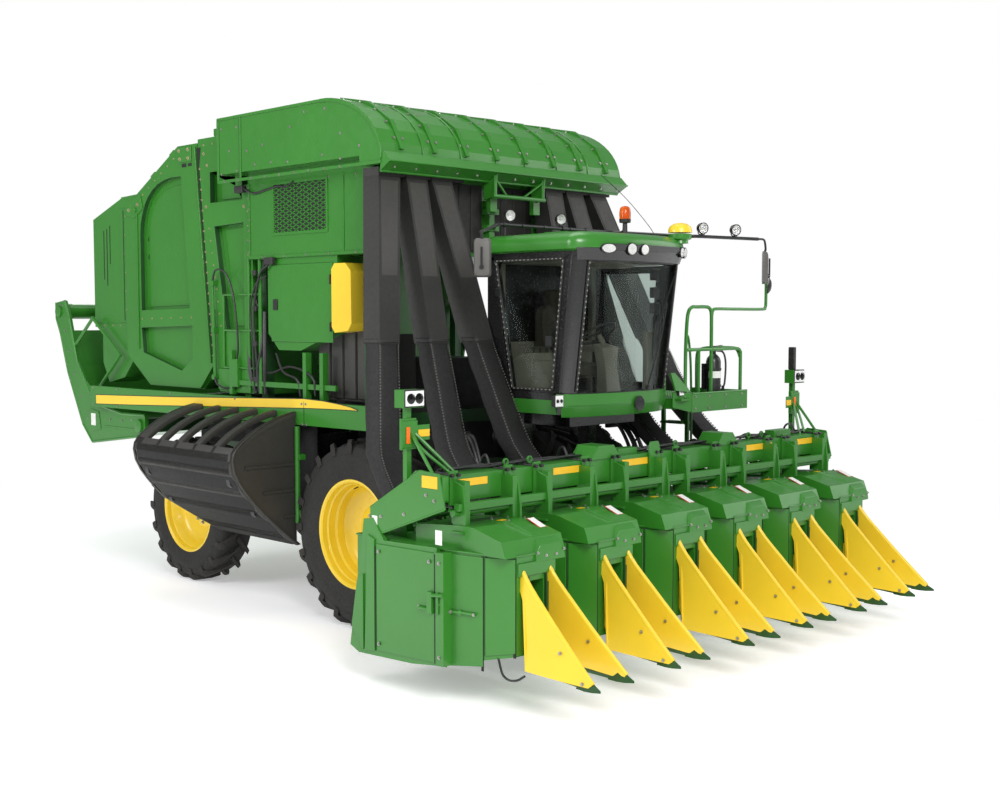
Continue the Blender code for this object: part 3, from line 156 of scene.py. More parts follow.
MATS = {
    "green": mottled("paint_green", GREEN, 0.34, vary=0.06, coat=0.25, scale=1.1, rough_vary=0.05),
    # dark green paint; on the walls of the side skins' holes it is painted shade
    "dark_green": mottled("dark_green_paint_and_shade", DARK_GREEN_PAINT_AND_SHADE, 0.45, vary=0.18, coat=0.1, scale=2.5),
    "yellow": mottled("paint_yellow", YELLOW, 0.34, vary=0.04, coat=0.25, scale=2.0, rough_vary=0.05),
    "black_rubber": mottled("duct_plastic", (0.022, 0.021, 0.019), 0.60, vary=0.16, scale=2.2, grain=(180.0,
        0.12, 0.001)),
    "duct_dark": mottled("duct_flexible", (0.008, 0.008, 0.007), 0.66, vary=0.2, scale=3.0, grain=(160.0,
        0.25, 0.0015)),
    "tyre": rubber("tyre_rubber", (0.016, 0.015, 0.014), 0.80),
    "tyre_tread": rubber("tread_rubber", (0.024, 0.022, 0.020), 0.88),
    "black_plastic": mottled("moulded_plastic", (0.024, 0.023, 0.022), 0.50, vary=0.15, scale=3.0,
                             grain=(220.0, 0.22, 0.0010)),
    "guard_plastic": mottled("guard_plastic", (0.034, 0.032, 0.028), 0.52, vary=0.14, scale=2.0,
                             grain=(200.0, 0.18, 0.0010)),
    "frame_black": mottled("paint_black", (0.012, 0.012, 0.012), 0.38, vary=0.1, coat=0.2, scale=5.0),
    "grey_iron": mottled("engine_iron", (0.055, 0.058, 0.055), 0.60, vary=0.25, metallic=0.5, scale=6.0,
                         grain=(120.0, 0.3, 0.002)),
    "steel": mottled("zinc_steel", (0.42, 0.41, 0.38), 0.35, vary=0.15, metallic=0.9, scale=20.0),
    "chrome": mottled("rod_chrome", (0.75, 0.75, 0.75), 0.12, vary=0.04, metallic=1.0, scale=8.0,
        rough_vary=0.04),
    "hose": mottled("hose_rubber", (0.018, 0.018, 0.018), 0.42, vary=0.2, scale=14.0, grain=(300.0, 0.2,
        0.001)),
    "seat_cloth": mottled("seat_cloth", (0.075, 0.062, 0.045), 0.92, vary=0.25, scale=30.0, grain=(420.0,
        0.5, 0.002)),
    "cab_trim": mottled("cab_trim", (0.16, 0.14, 0.11), 0.75, vary=0.12, scale=12.0, grain=(260.0, 0.3,
        0.001)),
    "glass": clear("window_glass", (0.80, 0.84, 0.82), 0.0, see_through=0.93),
    "lens": clear("lamp_lens", (0.95, 0.95, 0.95), 0.03),
    "amber": clear("amber_lens", (0.95, 0.18, 0.01), 0.15, 0.55),
    "amber_plate": mottled("amber_reflector", (0.85, 0.16, 0.01), 0.25, vary=0.12, scale=60.0),
    "red_plate": mottled("red_border", (0.55, 0.02, 0.01), 0.45, vary=0.05, scale=10.0),
    "white_plate": mottled("blank_plate", (0.80, 0.80, 0.76), 0.42, vary=0.05, scale=18.0),
    "yellow_plate": mottled("blank_yellow_plate", (0.90, 0.52, 0.02), 0.42, vary=0.06, scale=14.0),
    "reflector": mottled("lamp_reflector", (0.86, 0.86, 0.84), 0.14, vary=0.06, metallic=0.9, scale=30.0,
        rough_vary=0.05),
    "mirror": mottled("mirror_face", (0.82, 0.84, 0.86), 0.05, vary=0.02, metallic=1.0, scale=6.0,
        rough_vary=0.02),
    "duct_face": mottled("duct_front_panel", (0.048, 0.045, 0.041), 0.62, vary=0.10, scale=2.0, grain=(180.0,
        0.10, 0.001)),
    "duct_stitch": mottled("duct_sewn_edge", (0.10, 0.097, 0.088), 0.60, vary=0.25, scale=20.0),
    "lamp_white": mottled("lamp_bowl", (0.88, 0.88, 0.86), 0.30, vary=0.05, metallic=0.15, scale=20.0),
    "panel_plastic": mottled("ribbed_panel", (0.048, 0.046, 0.042), 0.55, vary=0.12, scale=2.5, grain=(200.0,
        0.15, 0.001)),
    "brass": mottled("zinc_bolts", (0.46, 0.42, 0.26), 0.38, vary=0.15, metallic=0.6, scale=20.0),
    "red_lens": mottled("red_lens", (0.50, 0.010, 0.008), 0.18, vary=0.10, coat=0.5, scale=40.0),
    "cab_black": mottled("cab_gloss_black", (0.010, 0.010, 0.010), 0.22, vary=0.10, coat=0.4, scale=4.0),
    "seal_clip": mottled("seal_clip", (0.30, 0.29, 0.25), 0.55, vary=0.10, scale=30.0),
    "mirror_shell": mottled("mirror_shell", (0.105, 0.100, 0.092), 0.55, vary=0.12, scale=6.0, grain=(260.0,
        0.15, 0.0008)),
    "screen": mottled("screen_glass", (0.010, 0.014, 0.016), 0.12, vary=0.10, coat=0.5, scale=10.0),
    # near-black painted shade for gaps, grooves, slots, holes and what shows through openings
    "dark_inside": mottled("dark_inside", (0.010, 0.011, 0.010), 0.8, vary=0.2, scale=4.0),
}


# Shapes

class Shapes:
    """Collects closed bodies of one piece, then makes the object."""

    def __init__(self):
        self.bm = bmesh.new()
        self.slot = 0

    def _tag(self, faces):
        for face in faces:
            face.material_index = self.slot

    def loft(self, sections, closed=False):
        """Skin over rings of equally many points, capped at both ends or closed to a loop."""
        rings = [[self.bm.verts.new(p) for p in section] for section in sections]
        count = len(rings[0])
        faces = []
        if not closed:
            faces += [self.bm.faces.new(rings[0][::-1]), self.bm.faces.new(rings[-1])]
        pairs = list(zip(rings, rings[1:])) + ([(rings[-1], rings[0])] if closed else [])
        for low, high in pairs:
            for i in range(count):
                j = (i + 1) % count
                faces.append(self.bm.faces.new((low[i], low[j], high[j], high[i])))
        self._tag(faces)
        return self

    def prism(self, outline, low, high, axis="X"):
        place = {"X": lambda at, a, b: (at, a, b), "Y": lambda at, a, b: (a, at, b), "Z": lambda at, a,
                 b: (a, b, at)}[axis]
        return self.loft([[place(at, a, b) for a, b in outline] for at in (low, high)])

    def block(self, x, y, z):
        return self.prism([(y[0], z[0]), (y[1], z[0]), (y[1], z[1]), (y[0], z[1])], x[0], x[1])

    def rod(self, start, end, radius, sides=12, end_radius=None):
        start, end = Vector(start), Vector(end)
        along = (end - start).normalized()
        side = along.orthogonal().normalized()
        up = along.cross(side)
        rings = []
        for centre, r in ((start, radius), (end, radius if end_radius is None else end_radius)):
            rings.append([tuple(centre + (side * math.cos(a) + up * math.sin(a)) * r)
                          for a in (2 * math.pi * i / sides for i in range(sides))])
        return self.loft(rings)

    def tube(self, points, radius, sides, smooth=0):
        """Tube along points; smooth adds that many points between two of them on a Catmull-Rom curve."""
        path = [Vector(p) for p in points]
        if smooth:
            ends = [path[0] * 2 - path[1]] + path + [path[-1] * 2 - path[-2]]
            path = []
            for a, b, c, d in zip(ends, ends[1:], ends[2:], ends[3:]):
                for k in range(smooth + 1):
                    t = k / (smooth + 1)
                    path.append(0.5 * ((2 * b) + (c - a) * t + (2 * a - 5 * b + 4 * c - d) * t * t
                                       + (3 * b - a - 3 * c + d) * t ** 3))
            path.append(ends[-2])
        rings = []
        side = None
        for i, point in enumerate(path):
            before = path[max(i - 1, 0)]
            after = path[min(i + 1, len(path) - 1)]
            along = (after - before).normalized()
            side = along.orthogonal().normalized() if side is None else (side
                    - along * side.dot(along)).normalized()
            up = along.cross(side)
            rings.append([tuple(point + (side * math.cos(a) + up * math.sin(a)) * radius)
                          for a in (2 * math.pi * k / sides for k in range(sides))])
        return self.loft(rings)

    def lathe(self, profile, origin, axis, steps=48):
        """Closed profile of (distance along the axis, radius) turned about the axis through origin."""
        origin, along = Vector(origin), Vector(axis).normalized()
        side = along.orthogonal().normalized()
        up = along.cross(side)
        rings = []
        for i in range(steps):
            a = 2 * math.pi * i / steps
            out = side * math.cos(a) + up * math.sin(a)
            rings.append([tuple(origin + along * d + out * r) for d, r in profile])
        return self.loft(rings, closed=True)

    def disc(self, origin, axis, radius, thick, steps=32, dome=0.0):
        """Round plate with a slightly domed top."""
        profile_points = [(0.0, radius), (thick, radius), (thick + dome * 0.75, radius * 0.7),
                (thick + dome, radius * 0.02), (0.0, radius * 0.02)]
        return self.lathe(profile_points, origin, axis, steps)

    def bolt(self, at, axis, radius=0.011, height=0.009):
        at, along = Vector(at), Vector(axis).normalized()
        self.rod(at - along * 0.002, at + along * 0.0025, radius * 1.5, 12)
        self.rod(at + along * 0.0005, at + along * (0.0025 + height), radius, 6, radius * 0.92)
        return self

    def done(self, name, mats, body, bevel=0.0, sharp=30):
        """The finished object, riding its body, with slots for one material or several."""
        bmesh.ops.recalc_face_normals(self.bm, faces=self.bm.faces)
        mesh = bpy.data.meshes.new(name)
        self.bm.to_mesh(mesh)
        self.bm.free()
        mesh.transform(Matrix.Translation(OFFSET))
        for key in ([mats] if isinstance(mats, str) else mats):
            mesh.materials.append(MATS[key])
        obj = bpy.data.objects.new(name, mesh)
        bpy.context.scene.collection.objects.link(obj)
        mesh.shade_smooth()
        mesh.set_sharp_from_angle(angle=math.radians(sharp))
        if bevel:
            soften(obj, bevel)
        if body:
            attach(obj, body)
        return obj


def soften(obj, width):
    """Rounds the sharp edges by a bevel of the given width."""
    bevel = obj.modifiers.new("edges", "BEVEL")
    bevel.width = width
    bevel.segments = 2
    bevel.limit_method = "ANGLE"
    bevel.angle_limit = math.radians(30)
    bevel.use_clamp_overlap = True
    bevel.harden_normals = True


def span(side, a, b):
    """Extent across the machine on one side, lower end first."""
    return sorted((side * a, side * b))


def about(centre, half):
    return (centre - half, centre + half)


def on_side(side, *points):
    """Points written for the left side, brought to the given side."""
    return [(side * x, y, z) for x, y, z in points]


def flat(x0, x1, y0, y1, z):
    """Level rectangle; upright and sideways are those that face the front and a side."""
    return [(x0, y0, z), (x1, y0, z), (x1, y1, z), (x0, y1, z)]


def upright(x0, x1, y, z0, z1):
    return [(x0, y, z0), (x1, y, z0), (x1, y, z1), (x0, y, z1)]


def sideways(x, y0, y1, z0, z1):
    return [(x, y0, z0), (x, y1, z0), (x, y1, z1), (x, y0, z1)]


# Stage

CAMERA_LENS, CAMERA_SHIFT = 47.306, (-0.0013, 0.0080)
CAMERA_PLACE, CAMERA_PITCH, CAMERA_TURN = (-10.1101, -10.5266, 3.2029), 0.0687, -0.7842
SHADOW_REACH, WHITE_FROM = 5.0, 13.0
FLOOR_HALF = 60


def make_camera():
    """The camera as solved from the photograph."""
    camera = bpy.data.cameras.new("camera")
    camera.sensor_width = 36.0
    camera.lens = CAMERA_LENS
    camera.shift_x, camera.shift_y = CAMERA_SHIFT
    camera.clip_end = 200.0
    obj = bpy.data.objects.new("camera", camera)
    obj.location = Vector(CAMERA_PLACE) + OFFSET
    obj.rotation_euler = (math.pi / 2 - CAMERA_PITCH, 0.0, CAMERA_TURN)
    bpy.context.scene.collection.objects.link(obj)
    bpy.context.scene.camera = obj


def make_light(name, place, target, size, power, colour=(1, 1, 1)):
    light = bpy.data.lights.new(name, "AREA")
    light.shape = "DISK"
    light.size = size
    light.energy = power
    light.color = colour
    obj = bpy.data.objects.new(name, light)
    obj.location = place
    obj.rotation_euler = (Vector(target) - Vector(place)).to_track_quat("-Z", "Y").to_euler()
    bpy.context.scene.collection.objects.link(obj)


def white_where_seen(tree, lit, bright, out, kind):
    """Shows plain white to the camera and in gloss and glass, and the lit shader to everything else."""
    path = tree.nodes.new("ShaderNodeLightPath")
    total = tree.nodes.new("ShaderNodeMath")
    total.operation = "MAXIMUM"
    tree.links.new(path.outputs["Is Camera Ray"], total.inputs[0])
    tree.links.new(path.outputs["Is Transmission Ray"], total.inputs[1])
    mix = tree.nodes.new("ShaderNodeMixShader")
    tree.links.new(total.outputs[0], mix.inputs["Fac"])
    tree.links.new(lit, mix.inputs[1])
    tree.links.new(bright, mix.inputs[2])
    tree.links.new(mix.outputs[0], out.inputs[kind])


def make_stage():
    world = bpy.data.worlds.new("studio")
    bpy.context.scene.world = world
    world.use_nodes = True
    tree = world.node_tree
    tree.nodes.clear()
    out = tree.nodes.new("ShaderNodeOutputWorld")
    soft = tree.nodes.new("ShaderNodeBackground")
    soft.inputs["Color"].default_value = (0.94, 0.97, 1.0, 1.0)
    soft.inputs["Strength"].default_value = 0.34
    white = tree.nodes.new("ShaderNodeBackground")
    white.inputs["Color"].default_value = (1.0, 1.0, 1.0, 1.0)
    white.inputs["Strength"].default_value = 1.0
    white_where_seen(tree, soft.outputs[0], white.outputs[0], out, "Surface")
    floor = bpy.data.meshes.new("floor")
    size = FLOOR_HALF
    floor.from_pydata(flat(-size, size, -size, size, 0), [], [(0, 1, 2, 3)])
    obj = bpy.data.objects.new("floor", floor)
    floor.materials.append(floor_material())
    bpy.context.scene.collection.objects.link(obj)
    make_light("key", (-8, -14, 10), (0, -1, 2), 6.0, 1600)
    make_light("fill_left", (12, -9, 8), (0, 0, 2), 9.0, 420)
    make_light("side", (-14, 3, 8), (0, 1, 3), 7.0, 900)
    make_light("rim_back", (6, 13, 9), (0, 1, 3), 8.0, 480)
    make_light("top", (0, 0, 14), (0, 0, 0), 10.0, 700)
    bpy.context.scene.view_settings.view_transform = "Standard"


def floor_material():
    """Pale floor that catches the shadows near the machine and goes over into the white background."""
    mat = bpy.data.materials.new("floor_white")
    tree, shader = shader_of(mat)
    shader.inputs["Base Color"].default_value = (0.90, 0.90, 0.90, 1.0)
    shader.inputs["Roughness"].default_value = 0.9
    shader.inputs["Emission Color"].default_value = (1.0, 1.0, 1.0, 1.0)
    shader.inputs["Emission Strength"].default_value = 0.34
    place = tree.nodes.new("ShaderNodeTexCoord")
    reach = tree.nodes.new("ShaderNodeVectorMath")
    reach.operation = "LENGTH"
    tree.links.new(place.outputs["Object"], reach.inputs[0])
    fade = tree.nodes.new("ShaderNodeMapRange")
    fade.interpolation_type = "SMOOTHSTEP"
    fade.inputs["From Min"].default_value = SHADOW_REACH
    fade.inputs["From Max"].default_value = WHITE_FROM
    tree.links.new(reach.outputs["Value"], fade.inputs["Value"])
    path = tree.nodes.new("ShaderNodeLightPath")
    seen = tree.nodes.new("ShaderNodeMath")
    seen.operation = "MULTIPLY"
    tree.links.new(fade.outputs["Result"], seen.inputs[0])
    tree.links.new(path.outputs["Is Camera Ray"], seen.inputs[1])
    white = tree.nodes.new("ShaderNodeEmission")
    white.inputs["Color"].default_value = (1.0, 1.0, 1.0, 1.0)
    white.inputs["Strength"].default_value = 1.0
    mix = tree.nodes.new("ShaderNodeMixShader")
    tree.links.new(seen.outputs[0], mix.inputs["Fac"])
    tree.links.new(shader.outputs[0], mix.inputs[1])
    tree.links.new(white.outputs[0], mix.inputs[2])
    tree.links.new(mix.outputs[0], tree.nodes["Material Output"].inputs["Surface"])
    return mat


# Wheels

def tyre_piece(name, x, y, z, radius, width, rim_radius, lugs, body):
    """Tractor tyre with bulging sidewalls, bead rings and curved lugs that alternate across the tread."""
    s = Shapes()
    half = width / 2
    carcass = radius - 0.045
    wall = carcass - rim_radius
    side = [(-0.78, 0.00), (-0.83, 0.045), (-0.88, 0.06), (-0.90, 0.12), (-0.95, 0.28), (-0.99, 0.42),
            (-1.0, 0.50), (-0.995, 0.58), (-0.965, 0.70), (-0.955, 0.715), (-0.965, 0.73), (-0.93, 0.84),
            (-0.85, 0.93), (-0.70, 0.975), (-0.35, 0.995), (0.0, 1.0)]
    profile = [(o * half, rim_radius + h * wall) for o, h in side]
    profile += [(-o, r) for o, r in profile[-2::-1]]
    profile += [(0.70 * half, rim_radius - 0.004), (-0.70 * half, rim_radius - 0.004)]
    s.lathe(profile, (x, y, z), (1, 0, 0), 96)
    s.slot = 1
    pitch = 2 * math.pi / lugs
    for i in range(lugs):
        for flip in (RIGHT, LEFT):
            base = pitch * (i + (0.5 if flip > 0 else 0.0))
            sections = []
            for k in range(9):
                t = k / 8
                off = -0.02 + t * (half + 0.012)
                angle = base + 0.95 * pitch * (t ** 0.9)
                top = radius - 0.006 * t * t if t < 0.95 else radius - 0.035
                root = carcass - 0.012 - 0.05 * max(0.0, t - 0.6)
                wide = (0.052 + 0.012 * t) / radius / 2
                foot = wide * 1.35
                ring = []
                for a, r in ((angle - foot, root), (angle - wide, top), (angle + wide, top),
                             (angle + foot, root)):
                    ring.append((x + flip * off, y + r * math.cos(a), z + r * math.sin(a)))
                sections.append(ring)
            # the lug runs on down the shoulder
            last = []
            for a, r in ((angle - foot, carcass - 0.10), (angle - wide * 0.8, radius - 0.10),
                         (angle + wide * 0.8, radius - 0.10), (angle + foot, carcass - 0.10)):
                last.append((x + flip * half, y + r * math.cos(a), z + r * math.sin(a)))
            sections.append(last)
            s.loft(sections)
    s.slot = 0
    return s.done(name, ["tyre", "tyre_tread"], body, sharp=35)


def rim_profile(width, r, d):
    """Closed loop of (distance outward, radius): flange, barrel, disc and their backs.

    r is the rim's radius and d how far out the disc stands.
    """
    h = width / 2 * 0.80
    return [(h + 0.018, r + 0.026), (h + 0.024, r + 0.018), (h + 0.020, r + 0.002), (h + 0.004, r - 0.014),
            (h - 0.045, r - 0.022), (h - 0.060, r - 0.038), (h * 0.35 + d * 0.5 + 0.05, r - 0.046),
            (h * 0.35 + d * 0.5 + 0.03, r - 0.064), (d + 0.075, r - 0.072), (d + 0.045, r - 0.095),
            (d + 0.02, r - 0.125), (d + 0.008, r - 0.19), (d - 0.008, r * 0.52), (d + 0.004, r * 0.48),
            (d + 0.004, 0.02), (d - 0.02, 0.02), (d - 0.02, r * 0.50), (d - 0.012, r - 0.13), (d, r - 0.085),
            (-h * 0.9, r - 0.04), (-h, r - 0.014), (-h - 0.020, r + 0.002), (-h - 0.024, r + 0.018),
            (-h - 0.018, r + 0.026), (-h + 0.01, r - 0.002), (h - 0.01, r - 0.002)]


def rims_piece(name, wheels, y, z, body):
    """Rims on one hub; each wheel is (x, outward sign, width, rim radius, dish)."""
    s = Shapes()
    bolts = []
    for x, out, width, rim_radius, dish in wheels:
        s.lathe(rim_profile(width, rim_radius, dish), (x, y, z), (out, 0, 0), 72)
        face = x + out * (dish + 0.004)
        count = 10
        for k in range(count):
            a = 2 * math.pi * (k + 0.5) / count
            bolts.append(((face, y + 0.185 * math.cos(a), z + 0.185 * math.sin(a)), (out, 0, 0), 0.017))
            b = 2 * math.pi * k / count
            at = Vector((face - out * 0.012, y + rim_radius * 0.66 * math.cos(b),
                         z + rim_radius * 0.66 * math.sin(b)))
            s.disc(at, (out, 0, 0), 0.024, 0.014, 20, 0.004)
    s.done(name, "yellow", body, bevel=0.003)
    g = Shapes()
    for at, axis, r in bolts:
        g.bolt(at, axis, r, 0.02)
    x, out, width, rim_radius, dish = wheels[0]
    face = x + out * (dish + 0.004)
    g.done(f"{name}_bolts", "steel", body)
    h = Shapes()
    h.lathe([(-0.02, 0.15), (0.03, 0.15), (0.045, 0.135), (0.05, 0.10), (0.11, 0.094), (0.122, 0.08),
             (0.126, 0.02), (-0.02, 0.02)], (face, y, z), (out, 0, 0), 48)
    h.done(f"{name}_cap", "green", body, bevel=0.003)
    v = Shapes()
    v.rod((x + out * width * 0.30, y, z + rim_radius - 0.06),
          (x + out * width * 0.40, y, z + rim_radius - 0.075), 0.007, 8)
    v.done(f"{name}_valve", "hose", body)


FRONT_RADIUS, FRONT_WIDTH, FRONT_RIM, FRONT_DISH, FRONT_LUGS = 0.978, 0.52, 0.545, -0.10, 20
REAR_RADIUS, REAR_WIDTH, REAR_RIM, REAR_DISH, REAR_LUGS = 0.872, 0.46, 0.50, -0.02, 19
OUTER_X, INNER_X = 1.53, 0.89
REAR_X, REAR_Y = 1.40, 3.414


def dress_wheels():
    """Twin drive wheels with their hub, and the steered wheels."""
    for name, side in SIDES:
        body = f"front_wheel_{name}"
        for place, x in (("outer", OUTER_X), ("inner", INNER_X)):
            piece = tyre_piece(f"tyre_front_{name}_{place}", side * x, 0, FRONT_RADIUS, FRONT_RADIUS,
                    FRONT_WIDTH, FRONT_RIM, FRONT_LUGS, body)
            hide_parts(f"front_tyre_{name}_{place}")
        wheels = [(side * x, out, FRONT_WIDTH, FRONT_RIM, FRONT_DISH) for x,
                  out in ((OUTER_X, side), (INNER_X, -side))]
        rims_piece(f"rims_front_{name}", wheels, 0, FRONT_RADIUS, body)
        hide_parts(f"front_rims_{name}")
        hub = Shapes()
        hub.lathe([(0.0, 0.17), (0.40, 0.17), (0.40, 0.10), (0.0, 0.10)], (side * 0.96, 0, FRONT_RADIUS),
                  (side, 0, 0), 32)
        hub.done(f"hub_front_{name}", "yellow", body, bevel=0.004)
        body = f"rear_wheel_{name}"
        piece = tyre_piece(f"tyre_rear_{name}", side * REAR_X, REAR_Y, REAR_RADIUS, REAR_RADIUS, REAR_WIDTH,
                REAR_RIM, REAR_LUGS, body)
        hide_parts(f"rear_tyre_{name}")
        rims_piece(f"rim_rear_{name}", [(side * REAR_X, side, REAR_WIDTH, REAR_RIM, REAR_DISH)], REAR_Y,
                   REAR_RADIUS, body)
        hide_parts(f"rear_rim_{name}")


# Header

RIDGE = ((0.155, -3.20, 1.25), (0.158, -3.28, 1.155), (0.163, -3.36, 1.055), (0.172, -3.52, 0.90),
         (0.182, -3.72, 0.71), (0.194, -3.92, 0.53), (0.200, -4.06, 0.405))


def divider_piece(row, x):
    """Two sheet-metal fairings beside the throat: rolled ridge, full inner panel, cut-away outer panel."""
    s = Shapes()
    bolts = Shapes()
    for side in (RIGHT, LEFT):
        def at(dx, y, z):
            return (x + side * dx, y, z)
        ridge = [at(*p) for p in RIDGE]
        s.tube([at(0.153, -3.185, 1.262)] + ridge, 0.021, 10, 1)
        inner = ((0.132, -3.20, 0.80), (0.132, -3.24, 0.62), (0.133, -3.32, 0.44), (0.142, -3.50, 0.415),
                 (0.156, -3.72, 0.40), (0.170, -3.92, 0.385), (0.184, -4.05, 0.375))
        sections = []
        for (rx, ry, rz), (dx, y, z) in zip(RIDGE, inner):
            sections.append([at(rx - 0.020, ry, rz), at(rx - 0.014, ry, rz), at(dx + 0.006, y, z),
                    at(dx, y, z)])
        s.loft(sections)
        outer = ((0.176, -3.215, 1.125), (0.182, -3.255, 1.04), (0.192, -3.305, 0.945), (0.262, -3.40, 0.40),
                 (0.262, -3.62, 0.395), (0.245, -3.84, 0.388), (0.222, -4.03, 0.380))
        tops = (RIDGE[0], RIDGE[1], (0.162, -3.345, 1.072), (0.163, -3.36, 1.055), RIDGE[4], RIDGE[5],
                RIDGE[6])
        sections = []
        for (rx, ry, rz), (dx, y, z) in zip(tops, outer):
            sections.append([at(rx + 0.019, ry, rz), at(rx + 0.012, ry, rz), at(dx - 0.006, y, z),
                    at(dx, y, z)])
        s.loft(sections)
        # folded rear edge of the outer panel
        s.tube([at(0.190, -3.335, 0.95), at(0.215, -3.355, 0.80), at(0.245, -3.385, 0.60),
                at(0.258, -3.405, 0.40)], 0.007, 6)
        for dx, y, z in ((0.228, -3.745, 0.60), (0.180, -3.245, 1.10), (0.234, -3.98, 0.405)):
            bolts.bolt(at(dx, y, z), (side, -0.15, 0.1), 0.010, 0.007)
        bolts.bolt(at(0.150, -3.70, 0.62), (-side, -0.1, 0.1), 0.010, 0.007)
    obj = s.done(f"dividers_{row}_sheet", "yellow", "header", sharp=40)
    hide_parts(f"dividers_{row}")
    bolts.done(f"dividers_{row}_bolts", "steel", "header")
    g = Shapes()
    for side in (RIGHT, LEFT):
        def at(dx, y, z):
            return (x + side * dx, y, z)
        # tip shoe
        sections = []
        for y, low, high, half in ((-3.90, 0.352, 0.372, 0.030), (-3.99, 0.348, 0.43, 0.030),
                (-4.06, 0.350, 0.412, 0.022), (-4.138, 0.358, 0.376, 0.004)):
            centre = 0.188 + 0.012 * (-3.9 - y) / 0.24
            sections.append([at(centre - half, y, low), at(centre + half, y, low),
                    at(centre + half * 0.5, y, high), at(centre - half * 0.5, y, high)])
        g.loft(sections)
        # skid strip under both panels
        g.loft([[at(0.150, -3.40, 0.375), at(0.162, -3.40, 0.375), at(0.162, -3.40, 0.405),
                 at(0.150, -3.40, 0.405)], [at(0.180, -3.95, 0.352), at(0.192, -3.95, 0.352),
                at(0.192, -3.95, 0.382), at(0.180, -3.95, 0.382)]])
        # throat plate with a rounded foot
        outline = [(-3.265, 1.12), (-3.265, 0.52), (-3.27, 0.44), (-3.30, 0.385), (-3.34, 0.36),
                   (-3.40, 0.355), (-3.43, 0.37), (-3.42, 0.40), (-3.38, 0.43), (-3.34, 0.50), (-3.31, 0.62),
                   (-3.30, 0.85), (-3.295, 1.12)]
        low, high = sorted((x + side * 0.098, x + side * 0.112))
        g.prism(outline, low, high)
        low, high = sorted((x + side * 0.112, x + side * 0.150))
        g.prism([(-3.265, 1.05), (-3.265, 0.80), (-3.285, 0.80), (-3.285, 1.05)], low, high)
    g.done(f"dividers_{row}_shoes", "dark_green", "header", bevel=0.002)


def plate_on(s, centre, across, up, width, height, thick):
    """Flat plate by its centre, its direction across and up, and its size."""
    centre, across, up = Vector(centre), Vector(across).normalized(), Vector(up).normalized()
    normal = across.cross(up)
    points = []
    for a, b in ((-1, -1), (1, -1), (1, 1), (-1, 1)):
        points.append(centre + across * a * width / 2 + up * b * height / 2)
    s.loft([[tuple(p) for p in points], [tuple(p + normal * thick) for p in points]])


